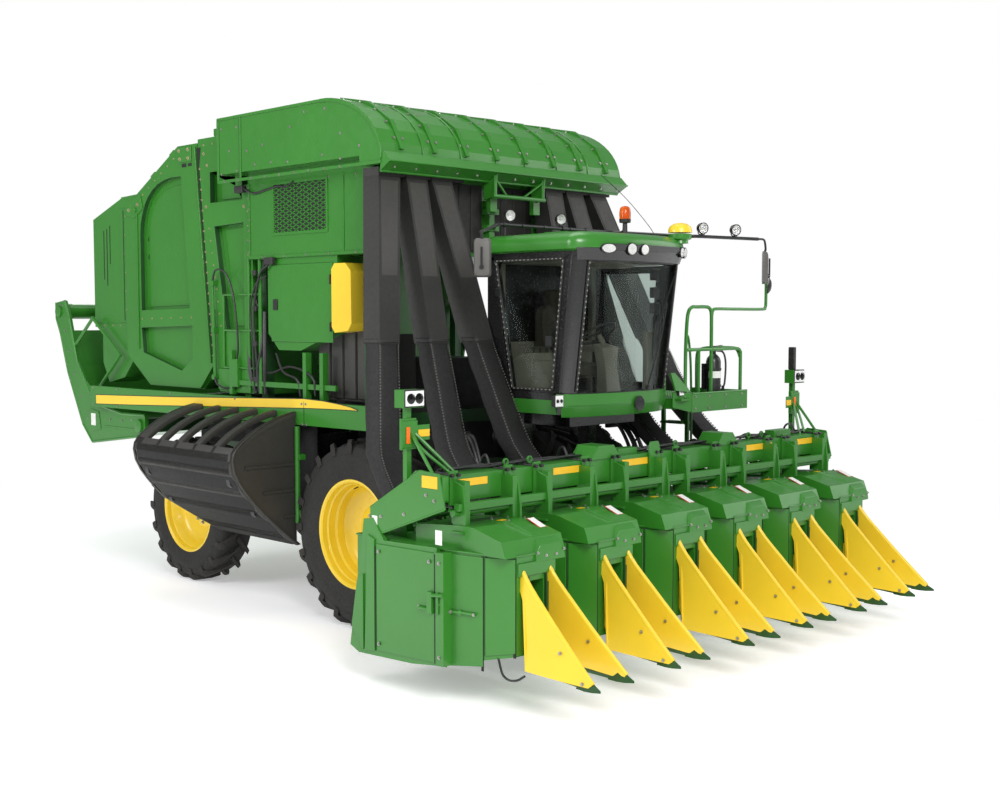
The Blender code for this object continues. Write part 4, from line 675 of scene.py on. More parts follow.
def unit_pieces(row, x):
    """Cladding, latches, cover, plates, drives and hoses of one picking unit."""
    half = 0.42
    s = Shapes()
    dark = Shapes()
    bolts = Shapes()
    # ledge round the top of the cabinet
    plan = [(-half - 0.012, -1.49), (-half - 0.012, -2.664), (-0.351, -3.028), (-0.228, -3.283),
            (0.228, -3.283), (0.351, -3.028), (half + 0.012, -2.664), (half + 0.012, -1.49)]
    s.prism([(x + a, b) for a, b in plan], 1.290, 1.304, "Z")
    for side in (RIGHT, LEFT):
        facets = (((half, -2.10), (half, -2.655)), ((half, -2.67), (0.343, -3.012)),
                  ((0.337, -3.03), (0.226, -3.262)))
        for number, ((xa, ya), (xb, yb)) in enumerate(facets):
            a = Vector((x + side * xa, ya, 0))
            b = Vector((x + side * xb, yb, 0))
            along = (b - a).normalized()
            out = Vector((side, 0, 0)) if number == 0 else Vector((along.y * -side, along.x * side,
                    0)).normalized()
            if out.x * side < 0:
                out = -out
            thick = 0.010
            bottom = (0.32, 0.34, 0.47)[number]
            corners = [a + Vector((0, 0, bottom)), b + Vector((0, 0, bottom + 0.04 * (number > 0))),
                       b + Vector((0, 0, 1.272)), a + Vector((0, 0, 1.272))]
            s.loft([[tuple(p) for p in corners], [tuple(p + out * thick) for p in corners]])
            # dark seam strip at each panel's edge, painted shade of the gap between the panels
            for p in (a, b):
                q = p + along * (0.006 if p == a else -0.006)
                dark.loft([[tuple(q + along * d + Vector((0, 0, z)) + out * o) for d,
                            o in ((-0.012, 0.001), (0.012, 0.001), (0.012, 0.004),
                        (-0.012, 0.004))] for z in (bottom, 1.28)])
            if number == 1:
                # latch: bar with its handle and bolt
                mid = a.lerp(b, 0.45) + out * (thick + 0.012) + Vector((0, 0, 0.80))
                s.rod(mid - along * 0.11, mid + along * 0.13, 0.014, 10)
                s.rod(mid - along * 0.02 - out * 0.012, mid - along * 0.02 + out * 0.012, 0.022, 12)
                bolts.bolt(mid - along * 0.11 + out * 0.012, out, 0.011)
                bolts.bolt(mid + along * 0.12 + out * 0.012, out, 0.009)
    # hump cover with chamfered sides, and the lower box beside it
    cover = []
    for y, z, a, b in ((-2.24, 1.30, -0.02, 0.31), (-2.30, 1.455, 0.02, 0.29), (-2.62, 1.495, 0.02, 0.29),
                       (-2.93, 1.515, 0.02, 0.29), (-3.16, 1.455, 0.03, 0.28), (-3.285, 1.36, 0.04, 0.27),
                       (-3.292, 1.24, 0.04, 0.27)):
        cover.append([(x + a - 0.06, y, 1.225 if y < -3.2 else 1.29),
                      (x + a - 0.055, y, max(1.24, z - 0.075)), (x + a, y, z), (x + b, y, z),
                      (x + b + 0.055, y, max(1.24, z - 0.075)),
                      (x + b + 0.06, y, 1.225 if y < -3.2 else 1.29)])
    s.loft(cover)
    s.block((x - 0.345, x - 0.045), (-2.96, -2.26), (1.295, 1.452))
    s.loft([upright(x - 0.345, x - 0.045, -2.955, 1.30, 1.450),
            [(x - 0.27, -3.20, 1.30), (x - 0.045, -3.20, 1.30), (x - 0.045, -3.12, 1.40),
             (x - 0.27, -3.12, 1.40)]])
    # frame on the lower box's top and its front
    for ya, yb in ((-2.93, -2.90), (-2.36, -2.33)):
        s.block((x - 0.33, x - 0.06), (ya, yb), (1.448, 1.458))
    for xa in (-0.33, -0.09):
        s.block((x + xa, x + xa + 0.03), (-2.93, -2.33), (1.448, 1.458))
    for bx, by in ((-0.29, -2.87), (-0.10, -2.87), (-0.29, -2.42), (-0.10, -2.42), (-0.195, -2.65)):
        bolts.bolt((x + bx, by, 1.459), UP, 0.009)
    for bx, by, bz in ((0.06, -2.70, 1.503), (0.25, -2.70, 1.503), (0.06, -2.90, 1.516), (0.25, -2.90, 1.516),
            (0.155, -2.60, 1.495)):
        bolts.bolt((x + bx, by, bz), (0, 0.05, 1), 0.009)
    for bx, bz in ((0.00, 1.30), (0.31, 1.30), (0.10, 1.27), (0.22, 1.27)):
        bolts.bolt((x + bx, -3.293, bz), FRONT, 0.009)
    # sight hole on the cover's shoulder: its dark disc is painted shade inside the hole
    dark.disc((x - 0.028, -2.985, 1.437), (-0.78, -0.28, 0.56), 0.028, 0.004, 24)
    s.lathe([(0.0, 0.028), (0.006, 0.028), (0.006, 0.036), (0.0, 0.036)], (x - 0.028, -2.985, 1.435),
            (-0.78, -0.28, 0.56), 28)
    # front plate above the throat
    s.block(about(x, 0.215), (-3.288, -3.268), (1.13, 1.235))
    s.done(f"unit_{row}_panels", "green", "header", bevel=0.004)
    dark.done(f"unit_{row}_seams", "dark_inside", "header")
    bolts.done(f"unit_{row}_bolts", "steel", "header")
    label = Shapes()
    plate_on(label, (x + 0.245, -3.045, 1.492), (1, 0, 0), (0, 0.93, 0.37), 0.085, 0.17, 0.003)
    label.done(f"unit_{row}_plate_rim", "red_plate", "header")
    label = Shapes()
    plate_on(label, (x + 0.245, -3.046, 1.4955), (1, 0, 0), (0, 0.93, 0.37), 0.070, 0.155, 0.003)
    label.done(f"unit_{row}_plate", "white_plate", "header")
    label = Shapes()
    plate_on(label, (x + 0.055, -2.82, 1.510), (1, 0, 0), (0, 1, -0.05), 0.07, 0.05, 0.003)
    label.done(f"unit_{row}_plate_small", "yellow_plate", "header")
    # drives and fittings behind the cover
    k = Shapes()
    for dx, y, r, h in ((-0.20, -2.12, 0.075, 0.17), (0.14, -2.14, 0.085, 0.20), (-0.02, -2.08, 0.045, 0.13),
            (0.30, -2.06, 0.04, 0.11)):
        k.lathe([(0, r), (h * 0.6, r), (h * 0.65, r * 1.15), (h * 0.75, r * 1.15), (h * 0.8, r * 0.8),
                 (h, r * 0.75), (h, 0.006), (0, 0.006)], (x + dx, y, 1.30), UP, 20)
    k.block((x - 0.30, x + 0.34), (-2.20, -2.02), (1.30, 1.36))
    k.rod((x - 0.36, -2.16, 1.50), (x + 0.36, -2.16, 1.50), 0.022, 12)
    for dx in (-0.30, -0.16, 0.02, 0.20, 0.33):
        k.rod((x + dx, -2.16, 1.36), (x + dx, -2.16, 1.50), 0.012, 8)
        k.rod((x + dx, -2.16, 1.49), (x + dx, -2.16, 1.55), 0.018, 6)
        k.rod((x + dx, -2.16, 1.53), (x + dx, -2.10, 1.56), 0.010, 8)
    k.done(f"unit_{row}_drives", "green", "header", bevel=0.003)
    p = Shapes()
    for dx, lean in ((-0.30, 0.05), (-0.16, -0.03), (0.02, 0.06), (0.20, -0.05), (0.33, 0.02)):
        p.tube([(x + dx, -2.10, 1.56), (x + dx + lean, -2.06, 1.64), (x + dx + 2 * lean, -2.16, 1.74),
                (x + dx + 2.4 * lean, -2.34, 1.76), (x + dx + 2.4 * lean, -2.41, 1.75)], 0.010, 8, 3)
    p.tube([(x - 0.34, -1.75, 1.315), (x - 0.20, -1.70, 1.34), (x + 0.05, -2.00, 1.40),
            (x + 0.30, -2.04, 1.42)], 0.014, 8, 4)
    p.done(f"unit_{row}_hoses", "hose", "header")
    w = Shapes()
    w.tube([(x - 0.28, -3.10, 0.52), (x - 0.285, -3.16, 0.36), (x - 0.285, -3.20, 0.315),
            (x - 0.28, -3.26, 0.30), (x - 0.27, -3.33, 0.315), (x - 0.262, -3.40, 0.36)], 0.010, 8, 3)
    w.done(f"unit_{row}_skid", "frame_black", "header")


HEADER_HALF, COVER_OUT = 2.90, 0.07
COVER_FACE = HEADER_HALF + COVER_OUT


def toolbar_pieces():
    """Hangers, plates and hoses of the toolbar, the header's end covers and the lamp posts."""
    s = Shapes()
    bolts = Shapes()
    black = Shapes()
    # tube below the toolbar, plates and hangers
    s.rod((-HEADER_HALF + 0.03, -2.70, 1.60), (HEADER_HALF - 0.03, -2.70, 1.60), 0.030, 16)
    for x in ROW_X:
        for dx in (-0.32, 0.32):
            low, high = x + dx - 0.012, x + dx + 0.012
            s.prism([(-2.79, 1.44), (-2.79, 1.60), (-2.76, 1.82), (-2.60, 1.88), (-2.60, 1.60),
                     (-2.66, 1.44)], low, high)
            s.block((x + dx - 0.045, x + dx + 0.045), (-2.645, -2.622), (1.60, 1.94))
            s.block((x + dx - 0.055, x + dx + 0.055), (-2.80, -2.66), (1.435, 1.452))
            for bx in (x + dx - 0.036, x + dx + 0.036):
                for z in (1.645, 1.905):
                    black.rod((bx, -2.66, z), (bx, -2.38, z), 0.009, 8)
                    black.rod((bx, -2.676, z), (bx, -2.640, z), 0.017, 6)
            bolts.bolt((x + dx, -2.78, 1.453), UP, 0.012)
    for x, wide in ((-0.865, 0.205), (1.055, 0.185)):
        for y in (-2.634, -2.378):
            s.prism([(x - wide, 1.895), (x - wide + 0.10, 2.017), (x + wide - 0.10, 2.017),
                     (x + wide, 1.895)], y - 0.005, y + 0.005, "Y")
    s.prism([(-0.24, 1.50), (-0.24, 1.97), (-0.22, 2.01), (-0.12, 2.01), (-0.10, 1.97), (-0.10, 1.50)], -2.66,
            -2.632, "Y")
    # small upright eyes and a valve block on top
    for x in (1.62, 1.86, -1.75, -2.05, 0.35):
        s.lathe([(-0.008, 0.018), (0.008, 0.018), (0.008, 0.034), (-0.008, 0.034)], (x, -2.50, 1.945),
                (0, 1, 0), 20)
        s.rod((x, -2.50, 1.895), (x, -2.50, 1.92), 0.010, 8)
    s.block((2.02, 2.34), (-2.56, -2.44), (1.895, 1.975))
    s.block((-0.60, -0.32), (-2.56, -2.44), (1.895, 1.96))
    s.done("toolbar_brackets", "green", "header", bevel=0.003)
    black.done("toolbar_u_bolts", "frame_black", "header")
    for number, (low, high) in enumerate(((-2.84, -2.39), (-1.57, -1.12), (-0.62, -0.24), (1.41, 1.88),
            (2.38, 2.80))):
        y = Shapes()
        y.block((low, high), (-2.6235, -2.6205), (1.800, 1.862))
        y.done(f"toolbar_plate_{number + 1}", "yellow_plate", "header")
    # hoses laid along the toolbar
    p = Shapes()
    for k in range(3):
        points = []
        for i in range(23):
            x = -2.75 + 5.5 * i / 22
            points.append((x, -2.47 + 0.035 * k + 0.010 * math.sin(i * 1.7 + k),
                           1.914 + 0.008 * math.sin(i * 2.3 + 2 * k) + 0.012))
        p.tube(points, 0.011, 8, 2)
    for x in (-2.2, -1.2, -0.1, 0.8, 1.75, 2.6):
        rise = 0.06 if 0.7 < x < 2.0 else 0.0
        p.tube([(x, -2.45, 1.93), (x + 0.05, -2.36, 2.00 - rise), (x + 0.12, -2.24, 1.96 - rise),
                (x + 0.14, -2.18, 1.80), (x + 0.10, -2.14, 1.62)], 0.012, 8, 4)
    p.done("toolbar_hoses", "hose", "header")
    for side_name, side in SIDES:
        def at(dx, y, z):
            return (side * (HEADER_HALF + dx), y, z)
        e = Shapes()
        d = Shapes()
        b = Shapes()
        # end cover with its folds
        low, high = span(side, COVER_FACE, COVER_FACE + 0.012)
        e.prism([(-1.86, 0.335), (-2.60, 0.365), (-2.60, 1.275), (-1.86, 1.262)], low, high)
        low2, high2 = span(side, COVER_FACE, COVER_FACE + 0.018)
        e.prism([(-1.70, 0.31), (-1.835, 0.325), (-1.835, 1.30), (-1.745, 1.33)], low2, high2)
        e.prism([(-1.52, 0.50), (-1.68, 0.31), (-1.68, 0.98), (-1.60, 0.92)], low2, high2)
        for y in (-1.82, -2.62, -2.60):
            e.rod(at(COVER_OUT + 0.004, y, 0.345), at(COVER_OUT + 0.004, y, 1.27), 0.009, 8)
        # front corner post and its fold
        corner = span(side, HEADER_HALF - 0.02, COVER_FACE + 0.02)
        e.prism([(-2.61, 0.345), (-2.72, 0.350), (-2.72, 1.29), (-2.61, 1.285)], *corner)
        # dark lines at the folds: painted shade of their gaps
        d.block(span(side, COVER_FACE + 0.019, COVER_FACE + 0.022), (-2.622, -2.612), (0.36, 1.27))
        d.block(span(side, COVER_FACE + 0.0125, COVER_FACE + 0.0145), (-1.856, -1.846), (0.36, 1.24))
        # swing latch
        e.rod(at(COVER_OUT + 0.03, -2.42, 0.805), at(COVER_OUT + 0.03, -2.60, 0.80), 0.012, 10)
        e.block(span(side, COVER_FACE + 0.012, COVER_FACE + 0.045), (-2.60, -2.54), (0.775, 0.955))
        e.rod(at(COVER_OUT + 0.035, -2.60, 0.93), at(COVER_OUT + 0.035, -2.73, 0.945), 0.016, 10)
        e.rod(at(COVER_OUT + 0.03, -2.66, 0.78), at(COVER_OUT + 0.03, -2.66, 0.96), 0.012, 8)
        for y, z in ((-2.42, 0.805), (-2.57, 0.94), (-2.66, 0.86), (-2.67, 1.20), (-2.67, 0.42),
                     (-1.90, 1.20), (-1.90, 0.40), (-2.55, 1.20)):
            b.bolt(at(COVER_OUT + 0.022, y, z), (side, 0, 0), 0.011)
        # arm cover from the toolbar's end down to the back
        arm_low, arm_high = span(side, HEADER_HALF + 0.045, HEADER_HALF + 0.058)
        e.prism([(-1.75, 1.575), (-2.40, 1.94), (-2.64, 1.925), (-2.71, 1.64), (-2.60, 1.60), (-1.84, 1.33),
                 (-1.76, 1.31)], arm_low, arm_high)
        e.rod(at(0.052, -1.76, 1.57), at(0.052, -2.40, 1.935), 0.010, 8)
        e.rod(at(0.052, -1.84, 1.335), at(0.052, -2.70, 1.64), 0.010, 8)
        for y, z in ((-2.48, 1.74), (-1.90, 1.50), (-2.20, 1.55), (-2.58, 1.70)):
            b.bolt(at(0.060, y, z), (side, 0, 0), 0.011)
        e.done(f"header_end_{side_name}", "green", "header", bevel=0.003)
        d.done(f"header_end_{side_name}_seams", "dark_inside", "header")
        b.done(f"header_end_{side_name}_bolts", "steel", "header")
        for key, label, y0, y1, z0, z1 in (("rim", "yellow_plate", -2.43, -2.62, 1.80, 1.90),
                ("plate", "white_plate", -1.78, -1.85, 1.36, 1.50), ("label", "white_plate", -2.62, -2.70,
                1.35, 1.47)):
            q = Shapes()
            dx = 0.0585 if key != "label" else COVER_OUT + 0.012
            q.block(span(side, HEADER_HALF + dx, HEADER_HALF + dx + 0.003), sorted((y0, y1)), (z0, z1))
            q.done(f"header_end_{side_name}_{key}", label, "header")
        # lamp post: lamp in its housing, braces, marker plate
        x = side * (HEADER_HALF + 0.02)
        m = Shapes()
        m.tube([(x, -2.20, 2.30), (x * 0.985, -2.32, 2.12), (x * 0.93, -2.50, 1.91)], 0.014, 8, 2)
        m.block((x - 0.105, x + 0.065), (-2.262, -2.255), (2.12, 2.34))
        m.rod((x, -2.20, 1.90), (x, -2.20, 2.46), 0.024, 12)
        m.done(f"lamp_post_{side_name}", "green", "header", bevel=0.003)
        h = Shapes()
        h.loft([upright(x - 0.085, x + 0.085, -2.20, 2.465, 2.590),
                upright(x - 0.108, x + 0.108, -2.295, 2.450, 2.605)])
        h.done(f"lamp_housing_{side_name}", "black_plastic", "header", bevel=0.010)
        f = Shapes()
        f.block(about(x, 0.100), (-2.306, -2.296), (2.464, 2.591))
        f.done(f"lamp_face_{side_name}", "lamp_white", "header", bevel=0.004)
        for kx in (-0.045, 0.045):
            f = Shapes()
            f.lathe([(0, 0.044), (0.004, 0.044), (0.010, 0.030), (0.012, 0.004), (0, 0.004)],
                    (x + kx, -2.306, 2.527), FRONT, 24)
            f.done(f"lamp_bowl_{side_name}_{'a' if kx < 0 else 'b'}", "lens", "header")
        a = Shapes()
        a.block((x - 0.065, x - 0.025), (-2.272, -2.263), (2.15, 2.29))
        a.done(f"marker_{side_name}", "amber_plate", "header", bevel=0.003)
        a = Shapes()
        a.block((x + 0.075, x + 0.20) if side < 0 else (x - 0.20, x - 0.11), (-2.262, -2.256), (2.20, 2.26))
        a.done(f"marker_plate_{side_name}", "yellow_plate", "header")
        a = Shapes()
        a.block((x + 0.060, x + 0.205) if side < 0 else (x - 0.205, x - 0.10), (-2.256, -2.250), (2.17, 2.30))
        a.done(f"marker_board_{side_name}", "green", "header", bevel=0.002)
        if side > 0:
            mirror = Shapes()
            mirror.block((x - 0.03, x + 0.02), (-2.24, -2.16), (2.60, 2.86))
            mirror.done("header_mirror", "black_plastic", "header", bevel=0.01)


def dress_header():
    for i, x in enumerate(ROW_X):
        divider_piece(i + 1, x)
        unit_pieces(i + 1, x)
    toolbar_pieces()


# Side guards and side beams

GUARD = ((1.700, 0.730), (1.820, 0.828), (1.980, 0.964), (2.140, 1.110), (2.255, 1.230), (2.350, 1.340),
         (2.435, 1.455), (2.497, 1.575), (2.520, 1.700), (2.505, 1.775), (2.460, 1.838), (2.400, 1.890),
         (2.310, 1.955), (2.210, 2.015), (2.085, 2.075), (1.950, 2.125), (1.830, 2.160), (1.705, 2.185))
GUARD_Y = (1.032, 3.068)
LEDGE = 9


def guard_end(z, y1):
    """Rear end of the shell at a height: its low corner is cut off for the steered wheel."""
    return min(y1, 2.29 + max(0.0, z - 0.50) * 1.25) if z < 1.02 else y1


def guard_strip(s, side, first, last, y0, y1, thick, round_edge):
    """Part of the curved shell between two places of its section, from y0 to y1, with rounded long edges."""
    sections = []
    full = y1
    for k in range(first, last + 1):
        x, z = GUARD[k]
        y1 = guard_end(z, full)
        xa, za = GUARD[max(k - 1, 0)]
        xb, zb = GUARD[min(k + 1, len(GUARD) - 1)]
        length = math.hypot(xb - xa, zb - za)
        nx, nz = (zb - za) / length, -(xb - xa) / length
        r = round_edge
        ring = []
        for y, depth in ((y0, thick), (y0, r), (y0 + r * 0.3, r * 0.3), (y0 + r, 0.0), (y1 - r, 0.0),
                (y1 - r * 0.3, r * 0.3), (y1, r), (y1, thick)):
            ring.append((side * (x - nx * depth), y, z - nz * depth))
        sections.append(ring)
    s.loft(sections)


def guard_pieces(name, side):
    """Slotted plastic shell over the side: lower wall, ledge, ribs, ends and tabs."""
    s = Shapes()
    y0, y1 = GUARD_Y
    slots = [(1.115 + 0.37 * i, 1.385 + 0.37 * i) for i in range(5)]
    # lower wall as stepped panels, with a dark strip behind them that shows in the grooves between two of
    # them as painted shade
    groove = Shapes()
    for a, b in ((0, 2), (2, 4), (4, 6), (6, 8)):
        sections = []
        for t in range(7):
            f = a + (b - a) * t / 6
            k = min(int(f), b - 1)
            u = f - k
            x = GUARD[k][0] * (1 - u) + GUARD[k + 1][0] * u
            z = GUARD[k][1] * (1 - u) + GUARD[k + 1][1] * u
            inset = 0.026 if t in (0, 6) else (0.006 if t in (1, 5) else 0.0)
            nx, nz = 0.72, -0.69
            ring = []
            end = guard_end(z, y1)
            for y, depth in ((y0 + 0.05, 0.033), (y0 + 0.05, min(inset + 0.02, 0.032)), (y0 + 0.07, inset),
                    (end - 0.07, inset), (end - 0.05, min(inset + 0.02, 0.032)), (end - 0.05, 0.033)):
                ring.append((side * (x - nx * depth), y, z - nz * depth))
            sections.append(ring)
        s.loft(sections)
    # dark strip behind the panels: painted shade in the grooves
    guard_strip(groove, side, 0, 9, y0 + 0.06, y1 - 0.06, 0.034, 0.030)
    # ledge below the slots, then the ribs
    guard_strip(s, side, 8, 10, y0 + 0.02, y1 - 0.02, 0.045, 0.012)
    edges = [y0 + 0.004] + [y for pair in slots for y in pair] + [y1 - 0.004]
    for a, b in zip(edges[::2], edges[1::2]):
        guard_strip(s, side, LEDGE, len(GUARD) - 1, a, b, 0.060, 0.022)
    # front end wall, and the rounded band round both ends
    for y, way in ((y0, 1), (y1, -1)):
        if way > 0:
            s.prism([(side * x, z) for x, z in GUARD], y + 0.012, y + 0.045, "Y")
        deep = 0.05 if way > 0 else 0.033
        band = []
        for x, z in GUARD:
            e = y if way > 0 else guard_end(z, y)
            band.append(on_side(side, (x, e + way * 0.012, z), ((x - 0.012), e, z + 0.004),
                    ((x - deep), e + way * 0.004, z + 0.006), ((x - deep), e + way * 0.020, z + 0.006),
                    (x, e + way * 0.05, z)))
        s.loft(band)
    # level ribs on the front end wall
    for z in (1.06, 1.34, 1.62):
        reach = 1.70 + (z - 0.73) * (0.66 if z < 1.2 else 0.80)
        lo, hi = sorted((side * 1.72, side * (min(reach, 2.46) - 0.05)))
        s.loft([upright(lo, hi, y0 - 0.006, z - 0.012, z + 0.012),
                upright(lo, hi, y0 + 0.014, z - 0.022, z + 0.022)])
    obj = s.done(f"guard_{name}_shell", "guard_plastic", "chassis", sharp=38)
    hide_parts(f"side_guard_{name}")
    groove.done(f"guard_{name}_groove_shade", "dark_inside", "chassis")
    # folded tabs that carry the wall at its corners
    t = Shapes()
    for y in (y0 + 0.16, y1 - 0.22):
        for k in (3, 6):
            x, z = GUARD[k]
            t.loft([on_side(side, ((x - 0.03), y, z - 0.05), ((x - 0.03), y + 0.07, z - 0.05),
                            ((x + 0.004), y + 0.07, z - 0.02), ((x + 0.004), y, z - 0.02)),
                            on_side(side, ((x + 0.02), y, z + 0.06), ((x + 0.02), y + 0.05, z + 0.06),
                    ((x + 0.035), y + 0.05, z + 0.09), ((x + 0.035), y, z + 0.09))])
    t.done(f"guard_{name}_tabs", "black_plastic", "chassis", bevel=0.004)


BEAM_FACE, STRIPE_FACE = 1.700, 1.7008


def beam_pieces(name, side):
    """Stripe, brackets, bolts and seam of a side beam."""
    stripe_top = ((5.445, 2.182), (4.60, 2.205), (3.60, 2.233), (2.60, 2.268), (1.60, 2.303), (0.893, 2.328),
                  (0.55, 2.318), (0.27, 2.296), (0.10, 2.276), (-0.012, 2.252))
    stripe_low = ((5.445, 2.070), (4.60, 2.096), (3.60, 2.132), (2.60, 2.170), (1.60, 2.208), (0.893, 2.234),
                  (0.55, 2.243), (0.27, 2.248), (0.10, 2.250), (-0.012, 2.250))
    s = Shapes()
    black = Shapes()
    for target, grow, depth in ((s, 0.0, 0.0016), (black, 0.009, 0.0008)):
        sections = []
        for (y, top), (_, low) in zip(stripe_top, stripe_low):
            if y > 5:
                y += grow * 0.8
            if y < 0:
                y -= grow * 2
            a, b = STRIPE_FACE, STRIPE_FACE + depth
            sections.append(upright(side * a, side * b, y, low - grow, top + grow))
        target.loft(sections)
    s.done(f"stripe_{name}", "yellow", "chassis")
    black.done(f"stripe_{name}_border", "frame_black", "chassis")
    # hangers and post that carry the guard, and the beam's bolts
    p = Shapes()
    bolts = Shapes()
    for y in (1.30, 2.05, 2.80):
        p.block(span(side, 1.62, 1.70), about(y, 0.03), (1.95, 2.03))
    p.rod((side * 1.715, 1.00, 0.98), (side * 1.715, 1.00, 2.03), 0.030, 16)
    for z in (1.10, 1.70):
        p.block(span(side, 1.64, 1.72), (0.95, 1.05), about(z, 0.03))
    for y in (-0.36, 0.86, 0.93, 2.20, 3.60, 4.90, 5.52):
        for z in (2.055, 2.275):
            bolts.bolt((side * BEAM_FACE, y, z), (side, 0, 0), 0.010)
    # dark strip on the beam's joint: painted shade of its gap
    seam = Shapes()
    seam.block(span(side, BEAM_FACE, 1.7026), (0.890, 0.897), (2.031, 2.299))
    p.done(f"beam_{name}_brackets", "green", "chassis", bevel=0.004)
    seam.done(f"beam_{name}_seam", "dark_inside", "chassis")
    bolts.done(f"beam_{name}_bolts", "steel", "chassis")


# Ducts

DUCT_PATHS = ((0, (-1.62, -0.33, 4.60, 0.14), (-2.21, -1.02, 2.95, 0.12), (-2.56, -1.45, 1.95, 0.13),
               (-2.56, -1.86, 1.42, 0.16)), (1, (-1.26, -0.33, 4.60, 0.14), (-1.58, -1.02, 2.95, 0.12),
        (-1.73, -1.45, 1.95, 0.13), (-1.62, -1.86, 1.42, 0.16)),
        (2, (-0.92, -0.33, 4.60, 0.14), (-0.95, -1.00, 2.95, 0.12), (-0.95, -1.52, 1.95, 0.13),
         (-0.68, -1.86, 1.42, 0.16)), (3, (0.77, -0.33, 4.60, 0.14), (0.78, -0.72, 2.95, 0.13),
        (0.79, -0.84, 2.02, 0.14), (0.76, -1.86, 1.42, 0.16)),
        (4, (1.12, -0.33, 4.60, 0.14), (1.34, -0.78, 2.95, 0.13), (1.44, -1.06, 2.12, 0.14),
         (1.50, -1.86, 1.42, 0.16)), (5, (1.52, -0.33, 4.60, 0.14), (2.10, -0.78, 2.95, 0.13),
        (2.38, -1.06, 2.12, 0.14), (2.44, -1.86, 1.42, 0.16)), )


def duct_ring(x, y, z, half, deep, corner=0.032):
    """Level section of a duct: a rounded rectangle, flat in front."""
    ring = []
    for cx, cy, start in ((1, 1, 0), (-1, 1, 90), (-1, -1, 180), (1, -1, 270)):
        for k in range(4):
            a = math.radians(start + 30 * k)
            ring.append((x + cx * (half - corner) + corner * math.cos(a),
                         y + cy * (deep - corner) + corner * math.sin(a), z))
    return ring


def duct_pieces():
    """The six ducts: hard upper part with its front panel, flexible sleeve and strap."""
    for unit, top, joint, knee, foot in DUCT_PATHS:
        s = Shapes()
        deep = 0.116
        # hard upper duct, slightly bellied
        sections = []
        for i in range(9):
            t = i / 8
            half = top[3] * (1 - t) + joint[3] * t
            bow = 0.008 * math.sin(math.pi * t)
            sections.append(duct_ring(*[top[k] * (1 - t) + joint[k] * t for k in range(3)],
                    half - 0.006 + bow * 0.3, deep + bow * 0.5 - 0.012 * t))
        s.loft(sections)
        s.done(f"duct_{unit + 1}_upper", "black_rubber", "chassis", sharp=50)
        # flat panel pressed into the front face, a lighter strip
        f = Shapes()
        rings = []
        for i in range(9):
            t = 0.03 + 0.95 * i / 8
            half = (top[3] * (1 - t) + joint[3] * t) * 0.80
            x, y, z = (top[k] * (1 - t) + joint[k] * t for k in range(3))
            front = y - deep - 0.004 * math.sin(math.pi * t) + 0.012 * t
            rings.append([(x - half, front - 0.001, z), (x - half + 0.006, front - 0.0075, z),
                          (x + half - 0.006, front - 0.0075, z), (x + half, front - 0.001, z)])
        f.loft(rings)
        f.done(f"duct_{unit + 1}_face", "duct_face", "chassis")
        # flexible lower sleeve: wider than the duct it hangs on, with a sewn edge on each front corner
        g = Shapes()
        path = []
        start = tuple(joint[k] + (top[k] - joint[k]) * 0.03 for k in range(3)) + (joint[3] + 0.010,)
        for a, b, steps in ((start, joint, 2), (joint, knee, 9), (knee, foot, 7)):
            for i in range(steps):
                t = i / steps
                path.append([a[k] * (1 - t) + b[k] * t for k in range(4)])
        path.append(list(foot))
        for _ in range(2):
            smooth = [path[0]]
            for a, b, c in zip(path, path[1:], path[2:]):
                smooth.append([(a[k] + 2 * b[k] + c[k]) / 4 for k in range(4)])
            smooth.append(path[-1])
            path = smooth
        rings = []
        for i, (x, y, z, half) in enumerate(path):
            swell = 0.004 * math.sin(i * 1.9)
            rings.append(duct_ring(x, y, z, half - 0.002 + swell, 0.118 + swell * 0.7 - 0.004, 0.040))
        g.loft(rings)
        g.slot = 1
        for side in (RIGHT, LEFT):
            for (xa, ya, za, ha), (xb, yb, zb, hb) in zip(path, path[1:]):
                count = 4
                for k in range(count):
                    t0, t1 = (k + 0.1) / count, (k + 0.62) / count
                    ends = []
                    for t in (t0, t1):
                        x, y, z, h = xa * (1 - t) + xb * t, ya * (1 - t) + yb * t, za * (1
                                - t) + zb * t, ha * (1 - t) + hb * t
                        ends.append((x + side * (h - 0.012), y - 0.112, z))
                    g.rod(ends[0], ends[1], 0.0065, 5)
        g.slot = 0
        obj = g.done(f"duct_{unit + 1}_sleeve", ["duct_dark", "duct_stitch"], None, sharp=50)
        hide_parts(f"lower_duct_{unit + 1}")
        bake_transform(obj)
        # strap round the joint
        b = Shapes()
        x, y, z, half = joint
        b.loft([duct_ring(x, y, z + dz, half + 0.012, 0.1252, 0.045) for dz in (0.016, 0.044)])
        b.done(f"duct_{unit + 1}_strap", "black_plastic", "chassis", bevel=0.003)


def dress_sides():
    for name, side in SIDES:
        guard_pieces(name, side)
        beam_pieces(name, side)
    duct_pieces()


# Hood, accumulator and grille

HOOD_Y, HOOD_Z, HOOD_REACH, HOOD_RISE = 0.42, 4.76, 0.97, 0.67


def hood_point(degrees):
    a = math.radians(degrees)
    return HOOD_Y - HOOD_REACH * math.sin(a), HOOD_Z + HOOD_RISE * math.cos(a)


HOOD_ARC = [hood_point(a) for a in range(0, 91, 6)]


HOOD_HALF = 1.80
PLATE_LOW, PLATE_TOP = 5.4545, 5.4605


